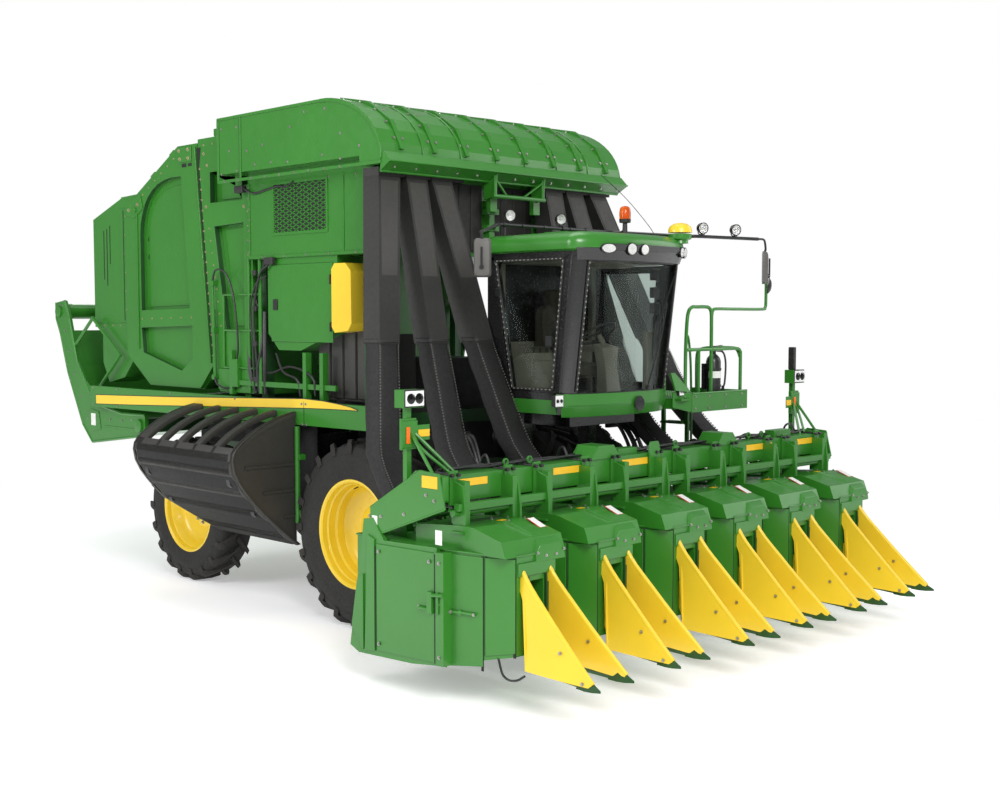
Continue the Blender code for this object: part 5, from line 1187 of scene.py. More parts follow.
def hood_pieces():
    """Trim of the hood: roof plates, joint strips, bolts, cheek borders, the visor's lip and its bracket."""
    s = Shapes()
    bolts = Shapes()
    seam_shade = Shapes()
    # thin plates on stand-offs over the top
    for x0, x1, y0, y1 in ((-1.04, 0.66, 0.86, 1.16), (0.96, 1.79, 0.44, 1.02)):
        s.loft([upright(x0, x1, y0, PLATE_LOW, PLATE_TOP),
                upright(x0, x1, y1, PLATE_LOW, PLATE_TOP)])
        for k in range(5):
            x = x0 + 0.06 + (x1 - x0 - 0.12) * k / 4
            for y in (y0 + 0.03, y1 - 0.03):
                s.rod((x, y, 5.43), (x, y, 5.456), 0.009, 8)
    # rolled joint strips of the roof sheets, between the ribs
    for x in (-1.25, -0.73, -0.22, 0.22, 0.73, 1.25):
        strip = []
        for y, z in HOOD_ARC:
            dy, dz = (y - HOOD_Y) / HOOD_REACH, (z - HOOD_Z) / HOOD_RISE
            length = math.hypot(dy / HOOD_REACH, dz / HOOD_RISE)
            ny, nz = dy / HOOD_REACH / length, dz / HOOD_RISE / length
            strip.append([(x - 0.016, y, z), (x - 0.010, y + ny * 0.008, z + nz * 0.008),
                          (x + 0.010, y + ny * 0.008, z + nz * 0.008), (x + 0.016, y, z)])
        s.loft(strip)
    # row of bolts on each rib's foot, and along the visor
    for i in range(8):
        x = (HOOD_HALF - 0.25) * (2 * i / 7 - 1)
        for a in (8, 24, 40, 56, 72):
            y, z = hood_point(a)
            for dx in (-0.055, 0.055):
                bolts.bolt((x + dx, y - 0.002, z + 0.002),
                           (0, -math.sin(math.radians(a)), math.cos(math.radians(a))), 0.010)
    for i in range(13):
        x = -1.68 + 0.28 * i
        bolts.bolt((x, -0.60, 4.668), (0, -0.86, -0.50), 0.010)
        bolts.bolt((x, -0.565, 4.80), (0, -0.5, 0.86), 0.009)
    # lip under the visor and side trims
    s.rod((-1.79, -0.515, 4.632), (1.79, -0.515, 4.632), 0.014, 10)
    s.rod((-1.79, -0.672, 4.72), (1.79, -0.672, 4.72), 0.010, 10)
    for side in (RIGHT, LEFT):
        face = side * (HOOD_HALF + 0.0005)
        out = side * (HOOD_HALF + 0.010)
        lo, hi = sorted((face, out))
        # folded border of the side cheek
        rim = [(y * 0.985 + 0.006, z * 0.985 + 0.07) for y, z in HOOD_ARC]
        band = []
        for (y, z), (yi, zi) in zip(HOOD_ARC, rim):
            band.append([(lo, y, z), (hi, y, z), (hi, yi + 0.012, zi - 0.025), (lo, yi + 0.012, zi - 0.025)])
        s.loft(band)
        s.block((lo, hi), (0.42, 2.33), (5.398, 5.428))
        s.block((lo, hi), (-0.54, 2.33), (4.702, 4.735))
        s.block((lo, hi), (2.295, 2.335), (4.735, 5.41))
        # splice strip, bolts and rivets on the cheek
        s.block((lo, hi), (1.86, 1.89), (4.735, 5.398))
        for y, z in ((0.10, 4.80), (0.10, 5.05), (0.95, 5.20), (1.00, 4.84), (1.30, 4.86), (1.45, 5.06),
                     (1.60, 4.86), (0.70, 5.33), (1.75, 5.02), (1.95, 4.82), (1.95, 5.30), (2.25, 5.30),
                     (2.25, 4.80), (-0.20, 4.90), (0.40, 4.86), (2.10, 5.05), (0.35, 5.32)):
            bolts.bolt((face, y, z), (side, 0, 0), 0.010, 0.007)
        for i in range(9):
            bolts.bolt((side * (HOOD_HALF + 0.010), 0.10 + 0.26 * i, 4.718), (side, 0, 0), 0.009, 0.007)
        # dark line beside the splice strip: painted shade of the joint
        seam_shade.block(span(side, HOOD_HALF + 0.001, HOOD_HALF + 0.0035), (1.893, 1.902), (4.74, 5.39))
    s.done("hood_trim", "green", "chassis", bevel=0.003)
    bolts.done("hood_bolts", "steel", "chassis")
    seam_shade.done("hood_seams", "dark_inside", "chassis")
    # lattice bracket below the visor, with two blocks beside it
    k = Shapes()
    for x in (-0.30, 0.43):
        k.prism([(-0.44, 4.62), (-0.62, 4.76), (-0.64, 4.74), (-0.60, 4.47), (-0.44, 4.44)], x - 0.012,
                x + 0.012)
        k.rod((x, -0.60, 4.47), (x, -0.60, 4.74), 0.022, 10)
    k.rod((-0.33, -0.60, 4.475), (0.46, -0.60, 4.475), 0.024, 10)
    k.rod((0.12, -0.60, 4.48), (0.43, -0.60, 4.66), 0.012, 8)
    k.rod((-0.30, -0.60, 4.66), (-0.12, -0.60, 4.48), 0.012, 8)
    for x in (-0.22, 0.44):
        k.block(about(x, 0.05), (-0.50, -0.44), (4.32, 4.48))
    k.done("hood_bracket", "green", "chassis", bevel=0.003)


def lamp_round(name, at, way, radius, body, shell="black_plastic"):
    """Round work lamp: dished shell, silver bowl, and a clear lens in front."""
    h = Shapes()
    r = radius
    h.lathe([(-0.075, 0.012), (-0.072, r * 0.45), (-0.045, r * 0.86), (0.0, r), (0.012, r), (0.012, r * 0.90),
             (0.002, r * 0.90), (-0.040, r * 0.72), (-0.060, 0.012)], at, way, 28)
    h.done(f"{name}_shell", shell, body)
    b = Shapes()
    b.lathe([(-0.044, 0.004), (-0.038, r * 0.60), (-0.002, r * 0.88), (0.002, r * 0.88), (-0.034, r * 0.56),
             (-0.040, 0.004)], at, way, 28)
    b.lathe([(-0.041, 0.003), (-0.012, 0.010), (-0.006, 0.008), (-0.006, 0.003)], at, way, 12)
    b.done(f"{name}_bowl", "lamp_white", body)
    g = Shapes()
    g.lathe([(0.004, 0.003), (0.003, r * 0.87), (0.009, r * 0.87), (0.014, r * 0.5), (0.016, 0.003)], at, way,
            28)
    g.done(f"{name}_lens", "lens", body)


def grille_piece(name, side):
    """Expanded metal over the cooling opening: crossed strips between the frame's edges."""
    s = Shapes()
    x = side * 1.604
    y0, y1, z0, z1 = 0.60, 1.535, 4.125, 4.645
    edge = 0.03
    for y, z in (((y0 - edge, y0), (z0 - edge, z1 + edge)), ((y1, y1 + edge), (z0 - edge, z1 + edge)),
                 ((y0, y1), (z0 - edge, z0)), ((y0, y1), (z1, z1 + edge))):
        s.block(span(side, 1.600, 1.610), y, z)
    slope, pitch = 0.43, 0.052
    for way in (1, -1):
        for k in range(-9, 19):
            # each strip runs through the frame's rectangle, cut where it leaves it
            base = z0 + k * pitch + (0.0 if way > 0 else slope * (y1 - y0))
            ends = []
            for z in (z0, z1):
                y = y0 + way * (z - base) / slope
                ends.append(min(max(y, y0), y1))
            a, b = sorted(ends)
            if b - a < 0.03:
                continue
            rows = []
            for y in (a, b):
                z = base + way * slope * (y - y0)
                rows.append([(x + side * o, y, z + d) for o, d in ((-0.003, -0.007), (0.004, -0.005),
                        (0.004, 0.005), (-0.003, 0.007))])
            s.loft(rows)
    s.done(f"grille_{name}", "green", "chassis")
    # dark block behind the strips: painted shade in the opening
    d = Shapes()
    d.block(span(side, 1.5, 1.601), (y0, y1), (z0, z1))
    d.done(f"grille_{name}_back", "dark_inside", "chassis")


WALL_FACE, EDGE_FACE = 1.600, 1.609


def body_pieces():
    """Edges, bolts, cables and posts of the body, the service door and the bay panels."""
    bolts = Shapes()
    s = Shapes()
    dark = Shapes()
    hoses = Shapes()
    for side in (RIGHT, LEFT):
        # side sheet edges and corner posts of the accumulator
        lo, hi = span(side, WALL_FACE, EDGE_FACE)
        s.block((lo, hi), (-0.195, -0.165), (3.86, 4.69))
        s.block((lo, hi), (1.995, 2.028), (3.86, 4.69))
        s.block((lo, hi), (-0.165, 1.995), (3.855, 3.885))
        s.block((lo, hi), (0.30, 0.312), (3.885, 4.69))
        for i in range(7):
            bolts.bolt((side * EDGE_FACE, -0.18, 3.93 + 0.12 * i), (side, 0, 0), 0.008)
            bolts.bolt((side * EDGE_FACE, 2.012, 3.93 + 0.12 * i), (side, 0, 0), 0.008)
        for y in (0.10, 0.55, 0.95, 1.35, 1.75):
            bolts.bolt((side * EDGE_FACE, y, 3.870), (side, 0, 0), 0.008)
            bolts.bolt((side * WALL_FACE, y, 4.665), (side, 0, 0), 0.008)
        # cable with its boxes below the hood
        dark.block(span(side, 1.602, 1.665), (2.06, 2.22), (4.60, 4.68))
        hoses.tube(on_side(side, (1.64, 2.06, 4.64), (1.62, 1.90, 4.58), (1.612, 1.70, 4.60),
                (1.612, 1.45, 4.63), (1.612, 1.30, 4.61), (1.612, 1.16, 4.66)), 0.012, 8, 4)
        dark.block(span(side, 1.602, 1.65), (1.52, 1.68), (3.78, 3.86))
        hoses.tube(on_side(side, (1.63, 1.62, 3.78), (1.62, 1.78, 3.70), (WALL_FACE, 1.90, 3.50),
                (WALL_FACE, 1.96, 3.20), (1.58, 1.95, 2.80), (1.56, 1.93, 2.36)), 0.013, 8, 4)
        hoses.tube(on_side(side, (WALL_FACE, 1.70, 3.66), (1.61, 1.88, 3.58), (WALL_FACE, 2.02, 3.30),
                (1.59, 2.00, 2.90), (1.58, 1.98, 2.36)), 0.010, 8, 4)
        # slender posts between the service box and the chamber
        s.rod((side * 1.56, 1.88, 2.34), (side * 1.56, 1.88, 3.86), 0.024, 12)
        s.rod((side * 1.56, 2.10, 2.34), (side * 1.56, 2.10, 3.86), 0.018, 12)
        for z in (2.62, 3.05, 3.46):
            s.rod((side * 1.56, 1.88, z), (side * 1.56, 2.62, z), 0.012, 8)
        s.rod((side * 1.56, 2.62, 2.62), (side * 1.56, 2.62, 3.46), 0.014, 8)
        for z in (2.50, 2.90, 3.30, 3.70):
            dark.block(span(side, 1.53, 1.60), (1.915, 1.985), about(z, 0.03))
    s.done("body_trim", "green", "chassis", bevel=0.002)
    bolts.done("body_bolts", "steel", "chassis")
    dark.done("body_boxes", "black_plastic", "chassis", bevel=0.006)
    hoses.done("body_hoses", "hose", "chassis")
    # service box: door with its hinges and latch
    d = Shapes()
    d.loft([[(-1.583, y, z) for y, z in ((0.52, 2.93), (1.63, 2.93), (1.63, 3.78), (0.52, 3.78))],
            [(-1.592, y, z) for y, z in ((0.525, 2.935), (1.625, 2.935), (1.625, 3.775), (0.525, 3.775))]])
    d.done("service_door", "green", "chassis", bevel=0.006)
    e = Shapes()
    for z in (3.10, 3.60):
        e.rod((-1.597, 0.55, z - 0.05), (-1.597, 0.55, z + 0.05), 0.014, 10)
    e.block((-1.604, -1.592), (1.50, 1.58), (3.28, 3.40))
    e.done("service_door_fittings", "frame_black", "chassis", bevel=0.004)
    # engine side: ribbed black panel, its frame and the open bay beside it
    for name, side in SIDES:
        p = Shapes()
        for i in range(5):
            a = -0.10 + 0.22 * i
            p.loft([sideways(side * 1.40, a, a + 0.20, 2.33, 3.36),
                    sideways(side * 1.435, a + 0.012, a + 0.188, 2.34, 3.35)])
        p.block(span(side, 1.36, 1.405), (-0.12, 1.02), (2.31, 3.38))
        p.done(f"bay_panel_{name}", "panel_plastic", "chassis", bevel=0.008)


def dress_body():
    hood_pieces()
    body_pieces()
    for name, side in SIDES:
        grille_piece(name, side)


# Module chamber, rear gate and handler

CHAMBER_SKIN = [(2.045, 2.33), (2.745, 2.33), (2.878, 2.62), (3.150, 5.205), (3.150, 5.300), (2.365, 5.300),
                (2.365, 4.70), (2.045, 4.70)]
CHAMBER_HOLES = ([(2.24, 4.54), (2.90, 4.54), (2.90, 4.90), (2.24, 4.90)],
        [(2.22, 3.06), (2.60, 3.06), (2.82, 4.26), (2.22, 4.28)])
GATE_SKIN = [(2.900, 2.63), (3.186, 2.35), (4.345, 2.35), (4.905, 2.73), (4.905, 4.61), (4.695, 4.705),
             (3.615, 5.262), (3.190, 5.262)]
ARCH = [(3.40, 3.31), (4.53, 3.29), (4.53, 4.25), (4.515, 4.38), (4.47, 4.50), (4.41, 4.61), (4.33, 4.70),
        (4.22, 4.78), (4.10, 4.84), (3.95, 4.88), (3.80, 4.90), (3.55, 4.90)]
CHAMBER_FACE, GATE_FACE = 1.545, 1.535
LOW_PANEL = [(3.35, 3.10), (4.54, 3.07), (4.50, 2.76), (3.60, 2.55), (3.35, 2.70)]


def skin_piece(s, side, outline, holes, low, high):
    """Sheet with holes on a side wall; the holes' walls take the second material, a darker green that paints
    the shade in the recesses.
    """
    loops = [[Vector((y, z, 0)) for y, z in loop] for loop in (outline, *holes)]
    flat = [p for loop in loops for p in loop]
    inner = [s.bm.verts.new((side * low, p.x, p.y)) for p in flat]
    outer = [s.bm.verts.new((side * high, p.x, p.y)) for p in flat]
    for a, b, c in tessellate_polygon(loops):
        for ring in (inner, outer):
            face = s.bm.faces.new((ring[a], ring[b], ring[c]))
            face.material_index = 0
    start = 0
    for number, loop in enumerate(loops):
        count = len(loop)
        for i in range(count):
            j = (i + 1) % count
            face = s.bm.faces.new((inner[start + i], inner[start + j], outer[start + j], outer[start + i]))
            # walls of the holes take slot 1, the darker green, as painted shade
            face.material_index = 1 if number else 0
        start += count


def along_row(bolts, side, x, start, end, count, radius):
    """Bolts at even steps from start to end, both (y, z) on a side wall at x."""
    for i in range(count):
        t = i / max(count - 1, 1)
        bolts.bolt((side * x, start[0] + (end[0] - start[0]) * t, start[1] + (end[1] - start[1]) * t),
                   (side, 0, 0), radius, 0.008)


def chamber_pieces():
    """Side skins of the chamber with their bolts, recessed panels and the gate's catches."""
    for name, side in SIDES:
        s = Shapes()
        skin_piece(s, side, CHAMBER_SKIN, CHAMBER_HOLES, 1.4815, CHAMBER_FACE)
        # the holes' walls in the darker green are painted shade
        s.done(f"chamber_skin_{name}", ["green", "dark_green"], "chassis", bevel=0.004, sharp=25)
        b = Shapes()
        along_row(b, side, CHAMBER_FACE, (2.88, 2.75), (3.11, 4.95), 19, 0.009)
        along_row(b, side, CHAMBER_FACE, (2.12, 2.60), (2.12, 4.40), 12, 0.009)
        along_row(b, side, 1.482, (2.80, 3.20), (2.30, 3.20), 1, 0.009)
        along_row(b, side, CHAMBER_FACE, (2.70, 3.10), (2.92, 4.24), 9, 0.008)
        along_row(b, side, CHAMBER_FACE, (2.45, 5.22), (3.02, 5.22), 4, 0.009)
        for y, z in ((2.62, 4.99), (2.98, 4.50), (2.20, 4.46), (2.95, 4.98), (3.02, 5.12)):
            b.bolt((side * CHAMBER_FACE, y, z), (side, 0, 0), 0.014, 0.012)
        b.done(f"chamber_bolts_{name}", "brass", "chassis")
        # panels set into the recesses
        p = Shapes()
        p.block(span(side, 1.452, 1.470), (2.27, 2.76), (4.57, 4.87))
        p.prism([(2.25, 3.10), (2.50, 3.10), (2.70, 4.22), (2.25, 4.24)], *span(side, 1.452, 1.466))
        p.done(f"chamber_panels_{name}", "green", "chassis", bevel=0.006)
        # gate's catch: two rods, three lugs and two blocks
        c = Shapes()
        c.rod((side * 1.585, 2.78, 2.48), (side * 1.585, 2.80, 3.30), 0.022, 12)
        c.rod((side * 1.585, 2.80, 3.28), (side * 1.585, 2.81, 3.62), 0.013, 12)
        for z in (2.50, 3.05, 3.60):
            c.block(span(side, CHAMBER_FACE, 1.61), (2.765, 2.825), about(z, 0.03))
        c.block(span(side, CHAMBER_FACE, 1.60), (2.30, 2.42), (2.40, 2.72))
        c.block(span(side, CHAMBER_FACE, 1.57), (2.44, 2.74), (2.36, 2.60))
        c.done(f"gate_catch_{name}", "green", "chassis", bevel=0.005)
        h = Shapes()
        h.tube(on_side(side, (1.60, 2.79, 3.62), (1.61, 2.70, 3.75), (1.60, 2.50, 3.70), (1.59, 2.36, 3.40),
                       (1.585, 2.30, 2.90), (1.58, 2.34, 2.70)), 0.011, 8, 4)
        h.tube(on_side(side, (1.60, 2.77, 2.50), (1.61, 2.70, 2.42), (1.60, 2.55, 2.38), (1.58, 2.36, 2.40)),
               0.011, 8, 4)
        h.done(f"gate_catch_hoses_{name}", "hose", "chassis")
        # dark strip on the joint between chamber and gate, widening at the roof: painted shade of the gap
        j = Shapes()
        j.loft([flat(side * 1.546, side * 1.549, 2.884, 2.902, 2.72),
                flat(side * 1.546, side * 1.549, 3.126, 3.150, 4.95),
                flat(side * 1.546, side * 1.549, 3.085, 3.165, 5.20)])
        j.done(f"gate_joint_shade_{name}", "dark_inside", "chassis")


def gate_pieces():
    """Side skins, ribs, slots, bolts, cover and rear lamps of the gate."""
    for name, side in SIDES:
        s = Shapes()
        skin_piece(s, side, GATE_SKIN, (ARCH, LOW_PANEL), 1.4815, GATE_FACE)
        # the holes' walls in the darker green are painted shade
        s.done(f"gate_skin_{name}", ["green", "dark_green"], "gate", bevel=0.004, sharp=25)
        e = Shapes()
        # seam flange beside the chamber and its rib
        e.loft([flat(side * GATE_FACE, side * 1.560, 2.915, 2.935, 2.66),
                flat(side * GATE_FACE, side * 1.560, 3.196, 3.216, 5.22)])
        # hinge bracket at the roof's bend and the pivot's plate
        e.prism([(3.30, 5.06), (3.60, 5.06), (3.64, 5.24), (3.30, 5.24)], *span(side, GATE_FACE, 1.548))
        e.prism([(4.44, 4.56), (4.66, 4.46), (4.86, 4.50), (4.86, 4.62), (4.68, 4.70), (4.50, 4.74)],
                *span(side, GATE_FACE, 1.550))
        e.rod((side * 1.53, 4.62, 4.55), (side * 1.57, 4.62, 4.55), 0.035, 16)
        # rear upright seam between gate and cabinet
        e.block(span(side, GATE_FACE, 1.552), (4.58, 4.60), (2.80, 4.50))
        e.block(span(side, 1.46, 1.50), (4.925, 4.955), (3.10, 4.62))
        e.block(span(side, 1.462, 1.472), (5.10, 5.86), (3.07, 3.12))
        e.block(span(side, 1.462, 1.478), (4.96, 5.14), (3.14, 4.60))
        e.done(f"gate_ribs_{name}", "green", "gate", bevel=0.004)
        # dark slots, lines and round holes: painted shade inside them
        d = Shapes()
        for y, z0, z1 in ((5.52, 3.62, 4.36), (5.60, 3.70, 4.34), (5.44, 3.90, 4.40)):
            d.block(span(side, 1.4605, 1.4625), about(y, 0.008), (z0, z1))
        d.block(span(side, 1.4785, 1.4800), (5.045, 5.060), (3.16, 4.58))
        d.block(span(side, 1.5355, 1.5375), (3.42, 3.52), (5.00, 5.045))
        d.block(span(side, 1.5355, 1.5375), (3.30, 3.38), (5.005, 5.04))
        for z in (3.96, 4.18):
            d.disc((side * 1.452, 4.44, z), (side, 0, 0), 0.035, 0.004, 20)
        d.done(f"gate_slot_shade_{name}", "dark_inside", "gate")
        b = Shapes()
        along_row(b, side, GATE_FACE, (2.95, 2.72), (3.22, 5.10), 20, 0.009)
        along_row(b, side, GATE_FACE, (4.60, 2.92), (4.60, 4.42), 9, 0.009)
        along_row(b, side, GATE_FACE, (3.36, 3.20), (4.50, 3.18), 6, 0.008)
        along_row(b, side, GATE_FACE, (3.70, 5.12), (4.60, 4.66), 7, 0.008)
        along_row(b, side, 1.4725, (5.16, 3.095), (5.80, 3.095), 4, 0.008)
        along_row(b, side, 1.4785, (5.00, 3.30), (5.00, 4.50), 6, 0.008)
        for y, z in ((3.36, 5.10), (3.36, 5.20), (3.54, 5.10), (3.56, 5.20), (4.56, 4.62), (4.78, 4.56)):
            b.bolt((side * 1.549, y, z), (side, 0, 0), 0.016, 0.014)
        b.done(f"gate_bolts_{name}", "brass", "gate")
        p = Shapes()
        p.prism([(3.44, 3.35), (4.44, 3.33), (4.44, 4.24), (4.39, 4.46), (4.27, 4.63), (4.06, 4.76),
                 (3.80, 4.81), (3.60, 4.81)], *span(side, 1.452, 1.462))
        p.done(f"gate_panel_{name}", "green", "gate", bevel=0.006)
    c = Shapes()
    # cover over the joint of roof and cabinet, and ribs across the roof and the back
    c.prism([(4.60, 4.772), (5.13, 4.752), (5.13, 4.72), (4.93, 4.60), (4.68, 4.70)], -1.462, 1.462)
    for y, z, ny, nz in ((3.80, 5.178, 0.45, 0.89), (4.25, 4.949, 0.45, 0.89)):
        c.loft([[(-1.50, y - 0.05, z + 0.025), (-1.50, y + 0.05, z - 0.026),
                 (-1.50, y + 0.05 + ny * 0.04, z - 0.026 + nz * 0.04),
                 (-1.50, y - 0.05 + ny * 0.04, z + 0.025 + nz * 0.04)],
                 [(1.50, y - 0.05, z + 0.025), (1.50, y + 0.05, z - 0.026),
                  (1.50, y + 0.05 + ny * 0.04, z - 0.026 + nz * 0.04),
                  (1.50, y - 0.05 + ny * 0.04, z + 0.025 + nz * 0.04)]])
    for x in (-1.40, -0.48, 0.48, 1.40):
        c.block(about(x, 0.03), (5.878, 5.905), (3.18, 4.46))
    c.block((-1.44, 1.44), (5.878, 5.900), (3.78, 3.84))
    c.block((-1.30, -0.10), (5.878, 5.892), (3.24, 3.72))
    c.block((0.10, 1.30), (5.878, 5.892), (3.24, 3.72))
    for x in (-1.30, 1.30):
        c.rod((x, 5.91, 3.60), (x, 5.91, 4.10), 0.012, 10)
    c.done("gate_cover", "green", "gate", bevel=0.004)
    n = Shapes()
    for x in (-0.70, 0.70):
        n.block(about(x, 0.06), (5.892, 5.912), (3.42, 3.47))
    for side in (RIGHT, LEFT):
        n.block(span(side, 1.18, 1.30), (5.90, 5.925), (4.22, 4.36))
    n.done("gate_handles", "frame_black", "gate", bevel=0.004)
    for number, side in enumerate((RIGHT, LEFT)):
        r = Shapes()
        r.block(span(side, 1.20, 1.28), (5.922, 5.930), (4.235, 4.345))
        r.done(f"rear_lamp_{number + 1}", "red_lens", "gate", bevel=0.004)


ROLLER = (6.66, 3.28)


def handler_pieces():
    """Trim, slats, roller, labels and lamps of the rear handler."""
    for name, side in SIDES:
        s = Shapes()
        lo, hi = span(side, 1.580, 1.590)
        # flanges along the plate's edges, cross tubes and the roller's bearing
        edge = ((4.42, 1.96), (5.00, 1.95), (5.75, 2.06), (6.20, 2.60), (6.40, 3.20), (6.52, 3.43))
        for (ya, za), (yb, zb) in zip(edge, edge[1:]):
            s.rod((side * 1.572, ya, za), (side * 1.572, yb, zb), 0.020, 8)
        low = ((4.42, 1.70), (5.80, 1.53), (6.05, 1.75), (6.45, 2.45), (6.645, 2.98), (6.758, 3.18),
               (6.758, 3.40))
        for (ya, za), (yb, zb) in zip(low, low[1:]):
            s.rod((side * 1.572, ya, za + 0.004), (side * 1.572, yb, zb + 0.004), 0.020, 8)
        s.prism([(5.55, 1.72), (5.86, 1.66), (6.02, 1.86), (5.80, 1.98), (5.60, 1.95)], lo, hi)
        s.disc((side * 1.58, *ROLLER), (side, 0, 0), 0.075, 0.030, 24, 0.004)
        s.disc((side * 1.58, 4.55, 1.82), (side, 0, 0), 0.085, 0.035, 24, 0.004)
        s.block((lo, hi), (4.62, 5.46), (1.755, 1.775))
        s.done(f"handler_trim_{name}", "green", "handler", bevel=0.003)
        b = Shapes()
        for y, z in ((4.75, 1.88), (5.00, 1.86), (5.30, 1.86), (5.66, 1.80), (5.90, 1.84), (6.10, 2.14),
                     (6.28, 2.44), (6.42, 2.74), (6.52, 3.02), (6.60, 3.36), (6.72, 3.24)):
            b.bolt((side * 1.580, y, z), (side, 0, 0), 0.011)
        b.done(f"handler_bolts_{name}", "steel", "handler")
        w = Shapes()
        w.block(span(side, 1.590, 1.593), (5.68, 5.80), (1.76, 1.92))
        w.done(f"handler_label_{name}", "white_plate", "handler")
    c = Shapes()
    for i in range(15):
        x = -1.40 + 0.20 * i
        c.loft([upright(x - 0.012, x + 0.012, 4.80, 1.765, 1.785),
                upright(x - 0.012, x + 0.012, 5.70, 1.650, 1.670)])
    c.rod((-1.50, *ROLLER), (1.50, *ROLLER), 0.104, 32)
    for x in (-1.44, -0.72, 0.0, 0.72, 1.44):
        c.lathe([(-0.03, 0.10), (0.03, 0.10), (0.03, 0.112), (-0.03, 0.112)], (x, *ROLLER), (1, 0, 0), 32)
        c.loft([flat(x - 0.02, x + 0.02, 6.02, 6.07, 1.80),
                flat(x - 0.02, x + 0.02, 6.60, 6.66, 2.92)])
    c.done("handler_slats", "green", "handler", bevel=0.003)
    for number, side in enumerate((RIGHT, LEFT)):
        q = Shapes()
        q.loft([on_side(side, (1.32, 6.14, 1.93), (1.46, 6.14, 1.93), (1.46, 6.22, 2.09), (1.32, 6.22, 2.09)),
                on_side(side, (1.32, 6.18, 1.91), (1.46, 6.18, 1.91), (1.46, 6.26, 2.07),
                        (1.32, 6.26, 2.07))])
        q.done(f"handler_lamp_{number + 1}", "red_lens", "handler", bevel=0.004)


def dress_rear():
    chamber_pieces()
    gate_pieces()
    handler_pieces()


# Cab

CAB_HALF, CAB_LOW, CAB_TALL, CAB_LEAN = 0.80, 2.26, 1.57, 0.20


def cab_ring(z, grow, first=0.0, last=180.0, steps=18):
    """Points round the cab's bowed front at a height, grown outward, from the left corner to the right."""
    lean = CAB_LEAN * (z - CAB_LOW) / CAB_TALL
    half = CAB_HALF + grow
    corner = -1.94 - lean
    nose = -2.16 - lean - grow
    points = []
    for i in range(steps + 1):
        a = math.radians(first + (last - first) * i / steps)
        points.append((half * math.cos(a), corner + (nose - corner) * math.sin(a), z))
    return points


def band_round(s, z0, z1, g0, g1, inner, first=0.0, last=180.0, steps=18):
    """Curved band round the front between two heights, thick enough to reach back to inner."""
    low_out, high_out = cab_ring(z0, g0, first, last, steps), cab_ring(z1, g1, first, last, steps)
    low_in, high_in = cab_ring(z0, inner, first, last, steps), cab_ring(z1, inner, first, last, steps)
    s.loft([[a, b, c, d] for a, b, c, d in zip(low_in, low_out, high_out, high_in)])


